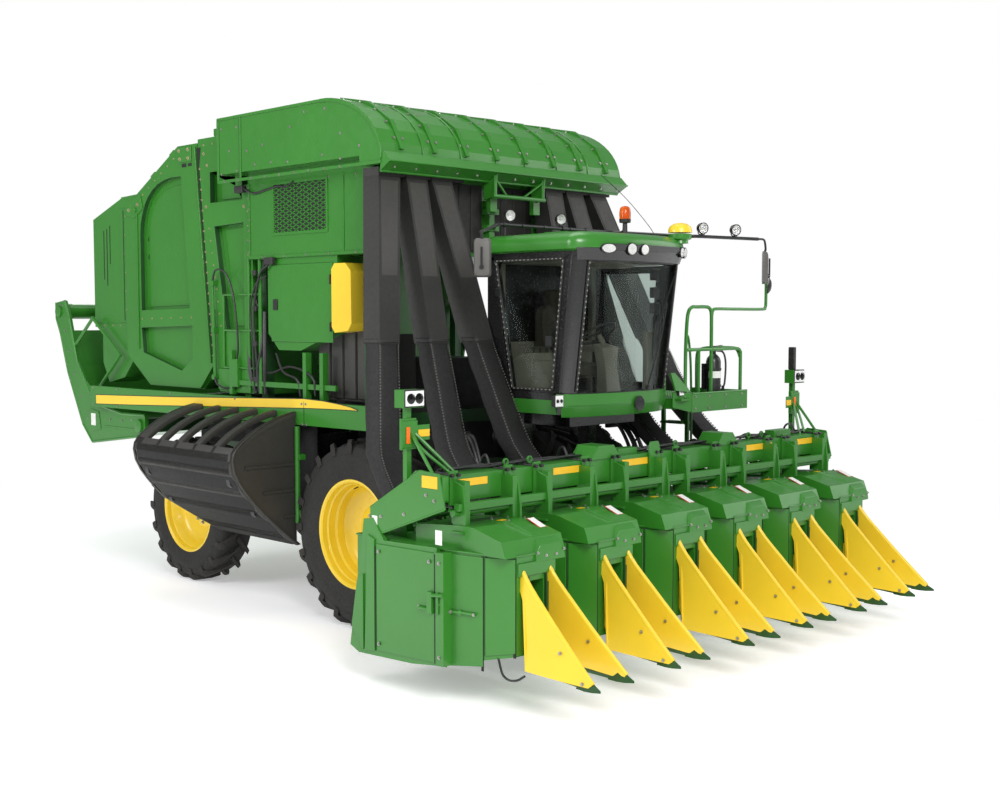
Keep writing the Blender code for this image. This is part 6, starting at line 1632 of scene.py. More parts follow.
def cab_frame():
    """Pillars, seals, lower band, step lamps, wiper and window hinges of the cab."""
    s = Shapes()
    # gloss black corner pillars, sill and header over the plain shell
    for first, last in ((-2.0, 26.0), (154.0, 182.0)):
        low, high = cab_ring(2.47, 0.004, first, last, 8), cab_ring(3.78, 0.004, first, last, 8)
        low_in, high_in = cab_ring(2.47, 0.001, first, last, 8), cab_ring(3.78, 0.001, first, last, 8)
        s.loft([[a, b, c, d] for a, b, c, d in zip(low_in, low, high, high_in)])
    for side in (RIGHT, LEFT):
        lo, hi = span(side, 0.801, 0.812)
        s.prism([(-1.02, 2.28), (-1.02, 3.80), (-1.10, 3.80), (-1.33, 2.47), (-1.92, 2.47), (-1.92, 2.28)],
                lo, hi)
        s.prism([(-2.06, 3.77), (-2.12, 3.80), (-1.02, 3.80), (-1.02, 3.77)], lo, hi)
    s.done("cab_pillars", "cab_black", "chassis", bevel=0.003)
    seal = Shapes()
    dots = Shapes()
    # rubber seal round the side window and the windscreen, with its row of light clips
    outline = ((-1.13, 3.76), (-1.36, 2.50), (-1.90, 2.50), (-2.04, 3.76))
    for (ya, za), (yb, zb) in zip(outline, outline[1:] + outline[:1]):
        seal.rod((-0.806, ya, za), (-0.806, yb, zb), 0.012, 8)
        count = int(math.hypot(yb - ya, zb - za) / 0.052)
        for i in range(count):
            t = (i + 0.5) / count
            dots.rod((-0.816, ya + (yb - ya) * (t - 0.10 / count), za + (zb - za) * (t - 0.10 / count)),
                     (-0.816, ya + (yb - ya) * (t + 0.22 / count), za + (zb - za) * (t + 0.22 / count)),
                     0.006, 6)
    for angle in (33.0, 147.0):
        low, high = cab_ring(2.48, 0.006, angle, angle + 1, 1)[0], cab_ring(3.74, 0.006, angle, angle + 1,
                1)[0]
        seal.rod(low, high, 0.012, 8)
        for i in range(24):
            t = (i + 0.5) / 24
            a, b = Vector(low).lerp(Vector(high), t - 0.003), Vector(low).lerp(Vector(high), t + 0.008)
            out = Vector((0, -0.011, 0))
            dots.rod(a + out, b + out, 0.006, 6)
    seal.done("cab_seals", "hose", "chassis")
    dots.done("cab_seal_clips", "seal_clip", "chassis")
    # green band below the windscreen with its lower lip, blank round plate, square lamps
    g = Shapes()
    band_round(g, 2.335, 2.462, 0.030, 0.016, 0.002, -2, 182, 24)
    band_round(g, 2.235, 2.340, 0.004, 0.032, -0.03, 14, 166, 20)
    band_round(g, 2.345, 2.352, 0.036, 0.036, 0.002, -2, 182, 24)
    g.block((-0.815, -0.79), (-1.95, -1.02), (2.262, 2.40))
    g.block((0.79, 0.815), (-1.95, -1.02), (2.262, 2.345))
    g.done("cab_band", "green", "chassis", bevel=0.004)
    p = Shapes()
    p.disc((0.13, -2.218, 2.345), (0, -1, 0.05), 0.074, 0.006, 40, 0.002)
    p.done("cab_round_plate", "cab_black", "chassis")
    for number, (x, y, z, size) in enumerate(((-0.86, -1.98, 2.40, 0.062), (0.90, -2.10, 2.425, 0.045))):
        h = Shapes()
        h.loft([upright(x - size * 0.8, x + size * 0.8, y, z - size * 0.8, z + size * 0.8),
                upright(x - size, x + size, y - 0.06, z - size, z + size)])
        h.done(f"step_lamp_{number + 1}_shell", "black_plastic", "chassis", bevel=0.006)
        f = Shapes()
        f.block((x - size * 0.86, x + size * 0.86), (y - 0.064, y - 0.058),
                (z - size * 0.86, z + size * 0.86))
        f.done(f"step_lamp_{number + 1}_face", "lamp_white", "chassis", bevel=0.003)
        k = Shapes()
        for a in (-0.3, 0.3):
            k.lathe([(0, size * 0.30), (0.006, size * 0.26), (0.008, 0.003), (0, 0.003)],
                    (x + a * size * 1.4, y - 0.064, z), FRONT, 16)
        k.done(f"step_lamp_{number + 1}_bulbs", "lens", "chassis")
    # wiper on the windscreen, hinges and catch of the side window
    w = Shapes()
    a, b = Vector(cab_ring(2.50, 0.02, 70, 71, 1)[0]), Vector(cab_ring(3.35, 0.016, 52, 53, 1)[0])
    w.tube([a, a.lerp(b, 0.3) + Vector((0, -0.02, 0)), a.lerp(b, 0.7) + Vector((0, -0.02, 0)), b], 0.008, 8,
           3)
    c, d = Vector(cab_ring(3.02, 0.012, 66, 67, 1)[0]), Vector(cab_ring(3.62, 0.012, 40, 41, 1)[0])
    w.rod(c, d, 0.007, 6)
    w.disc(a, FRONT, 0.03, 0.03, 20, 0.004)
    w.done("cab_wiper", "frame_black", "chassis")
    h = Shapes()
    for z in (2.75, 3.45):
        h.block((-0.822, -0.806), (-1.20, -1.12), about(z, 0.04))
    h.block((-0.828, -0.806), (-1.90, -1.82), (2.92, 3.02))
    h.done("cab_window_hinges", "frame_black", "chassis", bevel=0.004)


BEACON, RECEIVER = (0.45, -1.75), (0.70, -2.27)


def cab_roof_pieces():
    """Roof skin with its raised panel, visor with lamps, beacon, receiver and aerial."""
    s = Shapes()
    layers = ((3.832, 0.020), (3.850, 0.052), (3.905, 0.060), (3.940, 0.052), (3.975, 0.030), (4.005, -0.02),
              (4.018, -0.10), (4.024, -0.25), (4.026, -0.50))
    rings = []
    for z, grow in layers:
        front = cab_ring(3.83, grow, -4, 184, 26)
        ring = [(CAB_HALF + grow, -0.99 + min(grow, 0.02), 3.83)] + front + [(-CAB_HALF - grow,
                -0.99 + min(grow, 0.02), 3.83)]
        if grow < -0.05:
            ring[0] = (CAB_HALF + grow, -1.02 + grow * 0.6, 3.83)
            ring[-1] = (-CAB_HALF - grow, -1.02 + grow * 0.6, 3.83)
        rings.append([(x, y, z) for x, y, _ in ring])
    s.loft(rings)
    # raised middle panel with its two long ribs
    s.loft([flat(-0.56, 0.56, -2.05, -1.15, 4.018),
            flat(-0.53, 0.53, -2.02, -1.18, 4.034)])
    for x in (-0.30, 0.20):
        s.loft([flat(x - 0.03, x + 0.03, -1.98, -1.22, 4.03),
                flat(x - 0.015, x + 0.015, -1.96, -1.24, 4.044)])
    s.block((-0.44, -0.16), (-1.72, -1.44), (4.02, 4.0503))
    obj = s.done("cab_roof_skin", "green", "chassis", bevel=0.004)
    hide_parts("cab_roof")
    # black visor with the lamps let into it
    v = Shapes()
    band_round(v, 3.742, 3.86, 0.020, 0.058, 0.0, 8, 164, 24)
    band_round(v, 3.838, 3.90, 0.062, 0.075, 0.02, 12, 128, 20)
    v.done("cab_visor", "cab_black", "chassis", bevel=0.004)
    lamps = ((-0.505, 0.075, 0.040, 128.0), (-0.235, 0.052, 0.052, 107.0), (-0.065, 0.048, 0.048, 95.0),
             (0.585, 0.045, 0.045, 44.0), (0.705, 0.048, 0.048, 31.0))
    for number, (x, wide, tall, angle) in enumerate(lamps):
        at = Vector(cab_ring(3.855, 0.075, angle, angle + 1, 1)[0])
        way = Vector((math.cos(math.radians(angle)) * 0.5, -1, -0.06)).normalized()
        across = way.cross(Vector(UP)).normalized()
        up = across.cross(way).normalized()
        for key, mat, scale, depth in (("rim", "cab_black", 1.18, (-0.03, 0.004)),
                ("bowl", "lamp_white", 1.0, (-0.004, 0.007)), ("lens", "lens", 0.96, (0.008, 0.014))):
            q = Shapes()
            rings = []
            for d, f in ((depth[0], 1.0), (depth[1], 1.0), (depth[1] + 0.003, 0.7), (depth[1] + 0.004, 0.05)):
                rings.append([tuple(at + way * d + across * wide * scale * f * math.cos(2 * math.pi * k / 28)
                        + up * tall * scale * f * math.sin(2 * math.pi * k / 28)) for k in range(28)])
            q.loft(rings)
            q.done(f"roof_lamp_{number + 1}_{key}", mat, "chassis")
    # amber beacon on its black foot, receiver dome on its green neck, aerial
    b = Shapes()
    b.lathe([(0.0, 0.012), (0.0, 0.045), (0.03, 0.050), (0.05, 0.028), (0.15, 0.024), (0.155, 0.058),
             (0.19, 0.062), (0.195, 0.012)], (*BEACON, 4.020), UP, 28)
    b.done("beacon_foot", "black_plastic", "chassis")
    b = Shapes()
    b.lathe([(0.0, 0.004), (0.0, 0.058), (0.06, 0.060), (0.105, 0.054), (0.125, 0.040), (0.133, 0.020),
             (0.135, 0.004)], (*BEACON, 4.212), UP, 32)
    b.done("beacon_lens", "amber", "chassis")
    b = Shapes()
    b.lathe([(0.0, 0.004), (0.0, 0.030), (0.06, 0.028), (0.085, 0.012), (0.088, 0.004)], (*BEACON, 4.217), UP,
            16)
    b.done("beacon_core", "amber_plate", "chassis")
    b = Shapes()
    b.lathe([(0.0, 0.01), (0.0, 0.085), (0.03, 0.080), (0.045, 0.115), (0.095, 0.118), (0.10, 0.01)],
            (*RECEIVER, 3.950), UP, 32)
    b.done("receiver_neck", "green", "chassis")
    b = Shapes()
    b.lathe([(0.0, 0.01), (0.0, 0.122), (0.035, 0.120), (0.065, 0.105), (0.088, 0.070), (0.098, 0.030),
             (0.100, 0.004)], (*RECEIVER, 4.060), UP, 36)
    b.done("receiver_dome", "yellow", "chassis")
    b = Shapes()
    b.tube([(0.60, -2.05, 4.00), (0.55, -1.98, 4.14), (0.40, -1.80, 4.42), (0.24, -1.60, 4.66)], 0.0035, 6, 3)
    b.rod((0.60, -2.05, 3.99), (0.60, -2.05, 4.04), 0.012, 10)
    b.done("roof_aerial", "frame_black", "chassis")


def bar_pieces():
    """Roof bars as bent tubes with their lamps and the two mirrors."""
    s = Shapes()
    s.tube([(-1.40, -1.52, 4.01), (-1.12, -1.35, 4.06), (-0.80, -1.15, 4.125), (-0.62, -1.12, 4.13),
            (0.0, -1.12, 4.13), (0.70, -1.12, 4.13), (0.93, -1.14, 4.128), (0.975, -1.25, 4.12),
            (0.985, -1.70, 4.08), (0.99, -2.12, 4.045), (1.04, -2.235, 4.04), (1.30, -2.285, 4.04),
            (1.90, -2.40, 4.04)], 0.018, 10, 2)
    s.tube([(1.88, -2.396, 4.04), (1.98, -2.415, 4.038), (2.005, -2.42, 4.00), (2.003, -2.43, 3.93),
            (1.985, -2.435, 3.90), (1.985, -2.435, 3.62)], 0.012, 10, 3)
    for x, y, z in ((-0.68, -1.12, 4.13), (0.20, -1.12, 4.13), (0.975, -1.30, 4.115), (0.985, -2.00, 4.05)):
        s.rod((x, y, z), (min(x, 0.74), y, 3.99), 0.012, 10)
        s.rod((x - 0.03, y, z), (x + 0.03, y, z), 0.026, 12)
    s.rod((-1.40, -1.52, 4.02), (-1.40, -1.535, 3.80), 0.012, 10)
    for x in (-0.95, -0.42, -0.10, 0.30, 0.55):
        z = 4.13 if x > -0.7 else 4.09
        s.rod((x - 0.012, -1.12 if x > -0.7 else -1.24, z), (x + 0.012, -1.12 if x > -0.7 else -1.24, z),
              0.024, 10)
    obj = s.done("roof_tubes", "frame_black", "chassis")
    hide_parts("roof_bars")
    for number, (x, y, z) in enumerate(((-0.62, -1.12, 4.225), (0.14, -1.12, 4.225), (1.10, -2.242, 4.125),
            (1.56, -2.331, 4.125))):
        lamp_round(f"bar_lamp_{number + 1}", (x, y - 0.02, z), (-0.35, -1, -0.08), 0.060, "chassis",
                   "frame_black")
        a = Shapes()
        a.rod((x, y, z - 0.08), (x, y, z - 0.05), 0.010, 8)
        a.tube([(x - 0.05, y, z - 0.02), (x - 0.055, y, z - 0.055), (x, y, z - 0.066),
                (x + 0.055, y, z - 0.055), (x + 0.05, y, z - 0.02)], 0.006, 6, 2)
        a.done(f"bar_lamp_{number + 1}_bracket", "frame_black", "chassis")
    # mirrors: rounded housings and bright faces
    for name, centre, across, wide, tall, bulge in (("right", (-1.40, -1.54, 3.765), (0.62, -0.78, 0.0),
            0.165, 0.37, 0.035), ("left", (1.985, -2.44, 3.735), (0.80, 0.60, 0.0), 0.150, 0.35, 0.030)):
        across = Vector(across).normalized()
        normal = Vector(UP).cross(across).normalized()
        centre = Vector(centre)
        q = Shapes()
        rings = []
        for d, f in ((-0.5, 0.55), (-0.35, 0.85), (0.1, 1.0), (0.5, 1.0)):
            ring = []
            for cx, cz, start in ((1, 1, 0), (-1, 1, 90), (-1, -1, 180), (1, -1, 270)):
                for k in range(4):
                    a = math.radians(start + 30 * k)
                    r = 0.035
                    px = cx * (wide / 2 * f - r) + r * math.cos(a)
                    pz = cz * (tall / 2 * (1 - (1 - f) * 0.5) - r) + r * math.sin(a)
                    ring.append(tuple(centre + across * px + Vector((0, 0, pz)) + normal * d * 2 * bulge))
            rings.append(ring)
        q.loft(rings)
        q.done(f"mirror_{name}_shell", "mirror_shell", "chassis")
        f = Shapes()
        corners = []
        for a, b in ((-1, -1), (1, -1), (1, 1), (-1, 1)):
            corners.append(centre + across * a * wide * 0.44 + Vector((0, 0,
                    b * tall * 0.45)) + normal * bulge)
        f.loft([[tuple(p - normal * 0.002) for p in corners], [tuple(p + normal * 0.003) for p in corners]])
        f.done(f"mirror_{name}_face", "mirror", "chassis", bevel=0.002)
        k = Shapes()
        k.rod(centre + Vector((0, 0, 0.10)) - normal * 0.045, centre + Vector((0, 0, -0.10)) - normal * 0.045,
              0.010, 10)
        k.rod(centre - normal * 0.05 + Vector((0, 0, -0.09)), centre - normal * 0.02 + Vector((0, 0, -0.09)),
              0.022, 12)
        k.rod(centre + Vector((0, 0, tall / 2 - 0.01)), centre + Vector((0, 0, tall / 2 + 0.04)), 0.010, 10)
        k.done(f"mirror_{name}_clamp", "frame_black", "chassis")


def cushion(name, centre, half, body, mat, lines=(), tilt=0.0, power=0.32, axis="Z"):
    """Stuffed form: rounded block with crowned faces, drawn in between its corners, and sewn channels."""
    cuts = 18
    bm = bmesh.new()
    bmesh.ops.create_cube(bm, size=2.0)
    bmesh.ops.subdivide_edges(bm, edges=bm.edges[:], cuts=cuts, use_grid_fill=True)
    turn = Matrix.Rotation(tilt, 3, "X")
    for vert in bm.verts:
        d = vert.co.normalized()
        e = power
        length = (abs(d.x) ** (2 / e) + abs(d.y) ** (2 / e) + abs(d.z) ** (2 / e)) ** (-e / 2)
        p = d * length
        top = p.z if axis == "Z" else -p.y
        side_pull = 1.0 - 0.05 * (1 - abs(p.x)) * (abs(p.y) > 0.8) - 0.05 * (1 - abs(p.y)) * (abs(p.x) > 0.8)
        crown = 0.16 * (1 - p.x ** 2) * ((1 - p.y ** 2) if axis == "Z" else (1 - p.z ** 2)) * max(0.0, top)
        groove = 0.0
        for kind, at in lines:
            q = p.x if kind == "x" else (p.y if axis == "Z" else p.z)
            groove = max(groove, math.exp(-((q - at) / 0.055) ** 2))
        lift = crown - 0.13 * groove * max(0.0, top)
        if axis == "Z":
            p = Vector((p.x * side_pull, p.y * side_pull, p.z + lift))
        else:
            p = Vector((p.x * side_pull, p.y - lift, p.z))
        vert.co = turn @ Vector((p.x * half[0], p.y * half[1], p.z * half[2])) + Vector(centre) + OFFSET
    mesh = bpy.data.meshes.new(name)
    bm.to_mesh(mesh)
    bm.free()
    mesh.materials.append(MATS[mat])
    obj = bpy.data.objects.new(name, mesh)
    bpy.context.scene.collection.objects.link(obj)
    mesh.shade_smooth()
    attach(obj, body)
    return obj


def cab_inside():
    """Seat, consoles, levers, column, wheel, pedals and lining."""
    lines = (("x", -0.52), ("x", 0.52))
    seat = cushion("seat_cushion", (0.0, -1.40, 2.66), (0.25, 0.26, 0.075), "chassis", "seat_cloth", lines)
    cushion("seat_back", (0.0, -1.175, 3.02), (0.235, 0.075, 0.30), "chassis", "seat_cloth",
            lines + (("y", 0.35),), axis="Y")
    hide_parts("driver_seat")
    cushion("seat_head", (0.0, -1.18, 3.40), (0.13, 0.05, 0.085), "chassis", "seat_cloth", axis="Y")
    s = Shapes()
    s.loft([flat(-0.20, 0.20, -1.60, -1.22, 2.33),
            flat(-0.14, 0.14, -1.55, -1.26, 2.46)])
    for i in range(5):
        z = 2.46 + 0.024 * i
        s.loft([flat(-0.16, 0.16, -1.57, -1.23, z),
                flat(-0.13, 0.13, -1.54, -1.26, z + 0.018)])
    s.block((-0.22, 0.22), (-1.14, -1.10), (2.66, 3.30))
    for x in (-0.06, 0.06):
        s.rod((x, -1.15, 3.28), (x, -1.17, 3.36), 0.008, 8)
    s.done("seat_base", "black_plastic", "chassis", bevel=0.006)
    # armrests; the right one carries the lever and a small screen
    t = Shapes()
    for side in (RIGHT, LEFT):
        lo, hi = span(side, 0.27, 0.36)
        t.block((lo, hi), (-1.58, -1.16), (2.84, 2.90))
        t.rod((side * 0.30, -1.15, 2.66), (side * 0.30, -1.15, 2.86), 0.02, 10)
    t.block((-0.47, -0.36), (-1.62, -1.22), (2.80, 2.87))
    t.block((-0.74, -0.50), (-1.85, -1.20), (2.33, 2.78))
    t.loft([flat(-0.74, -0.50, -1.85, -1.30, 2.78),
            [(-0.72, -1.80, 2.86), (-0.52, -1.80, 2.86), (-0.52, -1.40, 2.84), (-0.72, -1.40, 2.84)]])
    t.done("cab_consoles", "cab_trim", "chassis", bevel=0.012)
    k = Shapes()
    k.tube([(-0.42, -1.52, 2.87), (-0.42, -1.55, 2.94), (-0.41, -1.56, 3.00)], 0.012, 8, 2)
    k.lathe([(0.0, 0.004), (0.0, 0.020), (0.03, 0.030), (0.07, 0.026), (0.09, 0.004)], (-0.41, -1.56, 2.99),
            (0, -0.1, 1), 16)
    for i in range(4):
        k.rod((-0.60, -1.72 + 0.09 * i, 2.85), (-0.60, -1.72 + 0.09 * i, 2.90), 0.012, 10)
    k.block((-0.52, -0.34), (-1.70, -1.67), (3.02, 3.17))
    k.rod((-0.44, -1.66, 2.88), (-0.44, -1.67, 3.04), 0.010, 8)
    for z in (3.58, 3.40, 3.24):
        k.block((0.60, 0.70), (-2.02, -1.96), (z, z + 0.11))
        k.rod((0.65, -1.97, z + 0.05), (0.71, -1.99, z + 0.05), 0.010, 8)
    k.done("cab_controls", "black_plastic", "chassis", bevel=0.004)
    Shapes().block((-0.512, -0.348), (-1.668, -1.666), (3.032, 3.158)).done("cab_screen", "screen", "chassis")
    # steering column, dash and wheel
    c = Shapes()
    c.loft([flat(-0.12, 0.12, -2.02, -1.86, 2.33),
            flat(-0.09, 0.09, -1.96, -1.84, 2.70),
            [(-0.13, -1.95, 2.90), (0.13, -1.95, 2.90), (0.11, -1.80, 2.94), (-0.11, -1.80, 2.94)]])
    c.rod((0.0, -1.87, 2.90), (0.0, -1.79, 3.02), 0.028, 14)
    obj = c.done("steering_column_cover", "cab_trim", "chassis", bevel=0.012)
    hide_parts("steering_column")
    w = Shapes()
    centre, way = Vector((0.0, -1.775, 3.035)), Vector((0, 0.55, 0.83)).normalized()
    side, up = Vector((1, 0, 0)), way.cross(Vector((1, 0, 0))).normalized()
    ring = []
    for i in range(40):
        a = 2 * math.pi * i / 40
        out = side * math.cos(a) + up * math.sin(a)
        ring.append([tuple(centre + out * (0.19 + 0.014 * math.cos(b)) + way * 0.014 * math.sin(b))
                     for b in (2 * math.pi * k / 8 for k in range(8))])
    w.loft(ring, closed=True)
    for a in (math.radians(-90), math.radians(30), math.radians(150)):
        out = side * math.cos(a) + up * math.sin(a)
        w.rod(centre + out * 0.03, centre + out * 0.185, 0.010, 8)
    w.disc(centre - way * 0.012, way, 0.045, 0.022, 24, 0.006)
    w.done("steering_wheel", "black_plastic", "chassis")
    # floor mat, pedals, rear wall with its shelf, head lining
    f = Shapes()
    f.block((-0.72, 0.72), (-1.98, -1.06), (2.325, 2.335))
    for x in (-0.24, 0.20, 0.32):
        f.loft([[(x - 0.045, -2.05, 2.36), (x + 0.045, -2.05, 2.36), (x + 0.045, -1.99, 2.45),
                 (x - 0.045, -1.99, 2.45)], [(x - 0.045, -2.06, 2.37), (x + 0.045, -2.06, 2.37),
                (x + 0.045, -2.00, 2.46), (x - 0.045, -2.00, 2.46)]])
    f.done("cab_floor", "black_plastic", "chassis", bevel=0.003)
    r = Shapes()
    r.block((-0.73, 0.73), (-1.075, -1.055), (2.34, 2.95))
    r.block((-0.70, 0.70), (-2.02, -1.10), (3.735, 3.765))
    r.block((-0.30, 0.30), (-1.98, -1.60), (3.70, 3.745))
    r.block((-0.73, -0.66), (-1.12, -1.06), (2.95, 3.74))
    r.block((0.66, 0.73), (-1.12, -1.06), (2.95, 3.74))
    r.block((0.64, 0.73), (-1.90, -1.84), (2.40, 3.05))
    r.done("cab_lining", "cab_trim", "chassis", bevel=0.010)


RAIL_Y, RAIL_RADIUS = -2.150, 0.019
RAIL_MIRROR = (2.44, -2.175, 3.555)
BOTTLE = (1.60, -2.05)


def platform_pieces():
    """Walkway with rails and ladder, mirror and extinguisher."""
    s = Shapes()
    x0, x1 = 0.845, 2.00
    # deck of pressed plate, fascia folded round it
    s.block((x0, x1), (-2.20, -1.00), (2.330, 2.352))
    for i in range(27):
        for j in range(24):
            x, y = x0 + 0.035 + 0.0415 * i + (0.02 if j % 2 else 0.0), -2.17 + 0.049 * j
            if x < x1 - 0.02 and y < -1.03:
                s.loft([flat(x - 0.012, x + 0.012, y - 0.004, y + 0.004, 2.352),
                        flat(x - 0.008, x + 0.008, y - 0.002, y + 0.002, 2.3555)])
    s.block((x0 + 0.16, x1 + 0.005), (-2.215, -2.195), (2.205, 2.405))
    s.block((x1 - 0.012, x1 + 0.008), (-2.205, -1.47), (2.205, 2.405))
    s.loft([sideways(x0 - 0.02, -2.10, -2.085, 2.42, 2.26),
            sideways(x0 + 0.17, -2.215, -2.195, 2.405, 2.205)])
    s.loft([[(0.80, -2.16, 2.44), (1.00, -2.205, 2.42), (1.00, -2.185, 2.42), (0.80, -2.14, 2.44)],
            flat(0.79, 0.86, -2.10, -2.08, 2.62)])
    s.rod((x0 + 0.17, -2.212, 2.402), (x1, -2.212, 2.402), 0.010, 8)
    s.block((x0, x0 + 0.05), (-2.10, -1.10), (2.24, 2.33))
    s.block((x0, x1), (-1.30, -1.25), (2.27, 2.33))
    s.block((x0, x1), (-1.85, -1.80), (2.27, 2.33))
    # rails of bent tube on the line behind the fascia
    y, r = RAIL_Y, RAIL_RADIUS
    s.tube([(0.97, y, 2.34), (0.97, y, 2.80), (0.985, y, 3.10), (1.01, y, 3.25), (1.07, y, 3.305),
            (1.16, y, 3.31), (1.33, y, 3.31), (1.39, y, 3.29), (1.415, y, 3.24), (1.42, y, 3.10),
            (1.42, y, 2.60), (1.42, y, 2.34)], r, 12, 3)
    s.tube([(0.985, y, 2.86), (1.20, y, 2.86), (1.42, y, 2.86), (1.60, y, 2.86), (1.88, y, 2.86),
            (1.95, y, 2.83), (1.96, y, 2.76), (1.96, y, 2.34)], r, 12, 3)
    s.tube([(1.20, y, 2.86), (1.20, y, 2.34)], r * 0.9, 12)
    s.tube([(1.42, y, 3.20), (1.44, y, 3.27), (1.50, y, 3.29), (1.80, y, 3.29), (2.36, y, 3.29),
            (2.425, y, 3.31), (2.44, y, 3.37), (2.44, y, 3.62)], r * 0.9, 12, 3)
    s.tube([(1.96, y, 2.76), (1.96, -2.10, 2.85), (1.96, -1.98, 2.865), (1.96, -1.72, 2.86),
            (1.96, -1.60, 2.83), (1.96, -1.56, 2.74), (1.96, -1.56, 2.34)], r, 12, 3)
    for x in (0.97, 1.20, 1.42, 1.96):
        s.block(about(x, 0.035), about(y, 0.035), (2.352, 2.364))
    # ladder: two stringers with treads and the slanted hand bars
    for y2 in (-1.40, -1.06):
        s.block((1.985, 2.015), about(y2, 0.022), (0.79, 2.33))
    for i in range(5):
        z = 0.84 + 0.29 * i
        s.block((1.915, 2.085), (-1.385, -1.075), (z - 0.018, z))
        for k in range(5):
            s.block((1.92 + 0.036 * k, 1.932 + 0.036 * k), (-1.38, -1.08), (z, z + 0.008))
    for y2 in (-1.42, -1.04):
        s.tube([(2.03, y2, 1.30), (2.05, y2, 1.45), (2.05, y2, 2.20), (2.03, y2, 2.70), (1.99, y2, 2.95),
                (1.96, y2, 3.0)], 0.014, 10, 2)
    obj = s.done("platform_frame", "green", "chassis", bevel=0.003)
    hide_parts("platform")
    b = Shapes()
    for x in (1.06, 1.30, 1.60, 1.90):
        b.bolt((x, -2.2155, 2.37), FRONT, 0.009)
        b.bolt((x, -2.2155, 2.24), FRONT, 0.009)
    for x in (0.97, 1.20, 1.42, 1.96):
        for dx in (-0.025, 0.025):
            b.bolt((x + dx, y - 0.022, 2.364), UP, 0.006)
    b.done("platform_bolts", "steel", "chassis")
    # convex mirror at the rail's end
    m = Shapes()
    m.lathe([(-0.03, 0.01), (-0.028, 0.060), (-0.008, 0.088), (0.0, 0.090), (0.0, 0.01)], RAIL_MIRROR,
            (-0.72, 0.68, 0.05), 32)
    m.lathe([(0.0, 0.004), (0.0, 0.084), (0.006, 0.070), (0.014, 0.035), (0.017, 0.004)], RAIL_MIRROR,
            (-0.72, 0.68, 0.05), 32)
    m.rod((2.44, -2.150, 3.60), (2.44, -2.20, 3.58), 0.012, 10)
    m.done("rail_mirror", "frame_black", "chassis")
    # extinguisher in its bracket, with a blank label
    e = Shapes()
    e.lathe([(0.0, 0.004), (0.0, 0.072), (0.010, 0.080), (0.36, 0.080), (0.395, 0.070), (0.425, 0.045),
             (0.438, 0.028), (0.47, 0.024), (0.47, 0.004)], (*BOTTLE, 2.365), UP, 36)
    e.block((1.50, 1.70), (-1.985, -1.965), (2.42, 2.70))
    for z in (2.46, 2.64):
        e.lathe([(-0.012, 0.080), (0.012, 0.080), (0.012, 0.087), (-0.012, 0.087)], (*BOTTLE, z), UP, 32)
    e.tube([(1.62, -2.07, 2.84), (1.68, -2.12, 2.82), (1.70, -2.14, 2.70), (1.70, -2.13, 2.50),
            (1.685, -2.12, 2.44)], 0.011, 8, 4)
    e.rod((1.685, -2.12, 2.46), (1.680, -2.115, 2.38), 0.015, 10, 0.020)
    e.done("extinguisher", "frame_black", "chassis")
    h = Shapes()
    h.rod((*BOTTLE, 2.83), (*BOTTLE, 2.875), 0.022, 12)
    h.loft([upright(1.585, 1.615, -2.16, 2.895, 2.903),
            upright(1.585, 1.615, -2.03, 2.875, 2.885)])
    h.loft([upright(1.587, 1.613, -2.14, 2.850, 2.857),
            upright(1.587, 1.613, -2.03, 2.860, 2.868)])
    h.disc((1.60, -2.075, 2.855), (-0.3, -1, 0), 0.020, 0.010, 20)
    h.done("extinguisher_head", "steel", "chassis")
    label = Shapes()
    ring_low, ring_high = [], []
    for k in range(13):
        a = math.radians(180 + 15 * k)
        for r2, ring in ((0.0805, ring_low), (0.0820, ring_high)):
            ring.append((1.60 + r2 * math.cos(a), -2.05 + r2 * math.sin(a)))
    for (xa, ya), (xb, yb), (xc, yc), (xd, yd) in zip(ring_low, ring_high, ring_high[1:], ring_low[1:]):
        label.loft([[(xa, ya, 2.545), (xb, yb, 2.545), (xc, yc, 2.545), (xd, yd, 2.545)],
                    [(xa, ya, 2.618), (xb, yb, 2.618), (xc, yc, 2.618), (xd, yd, 2.618)]])
    label.done("extinguisher_label", "white_plate", "chassis")


def dress_cab():
    cab_frame()
    cab_roof_pieces()
    bar_pieces()
    cab_inside()
    platform_pieces()


# Under the body: tank, axles, hoses and what shows between the panels

def bundle(shape, lines, radius):
    """Hoses or pipes of one radius, each along its own line."""
    for line in lines:
        shape.tube(line, radius, 8, 5)


STEER_ROD = (3.20, 0.86)
WALL_SKIN = (-0.214, -0.206)


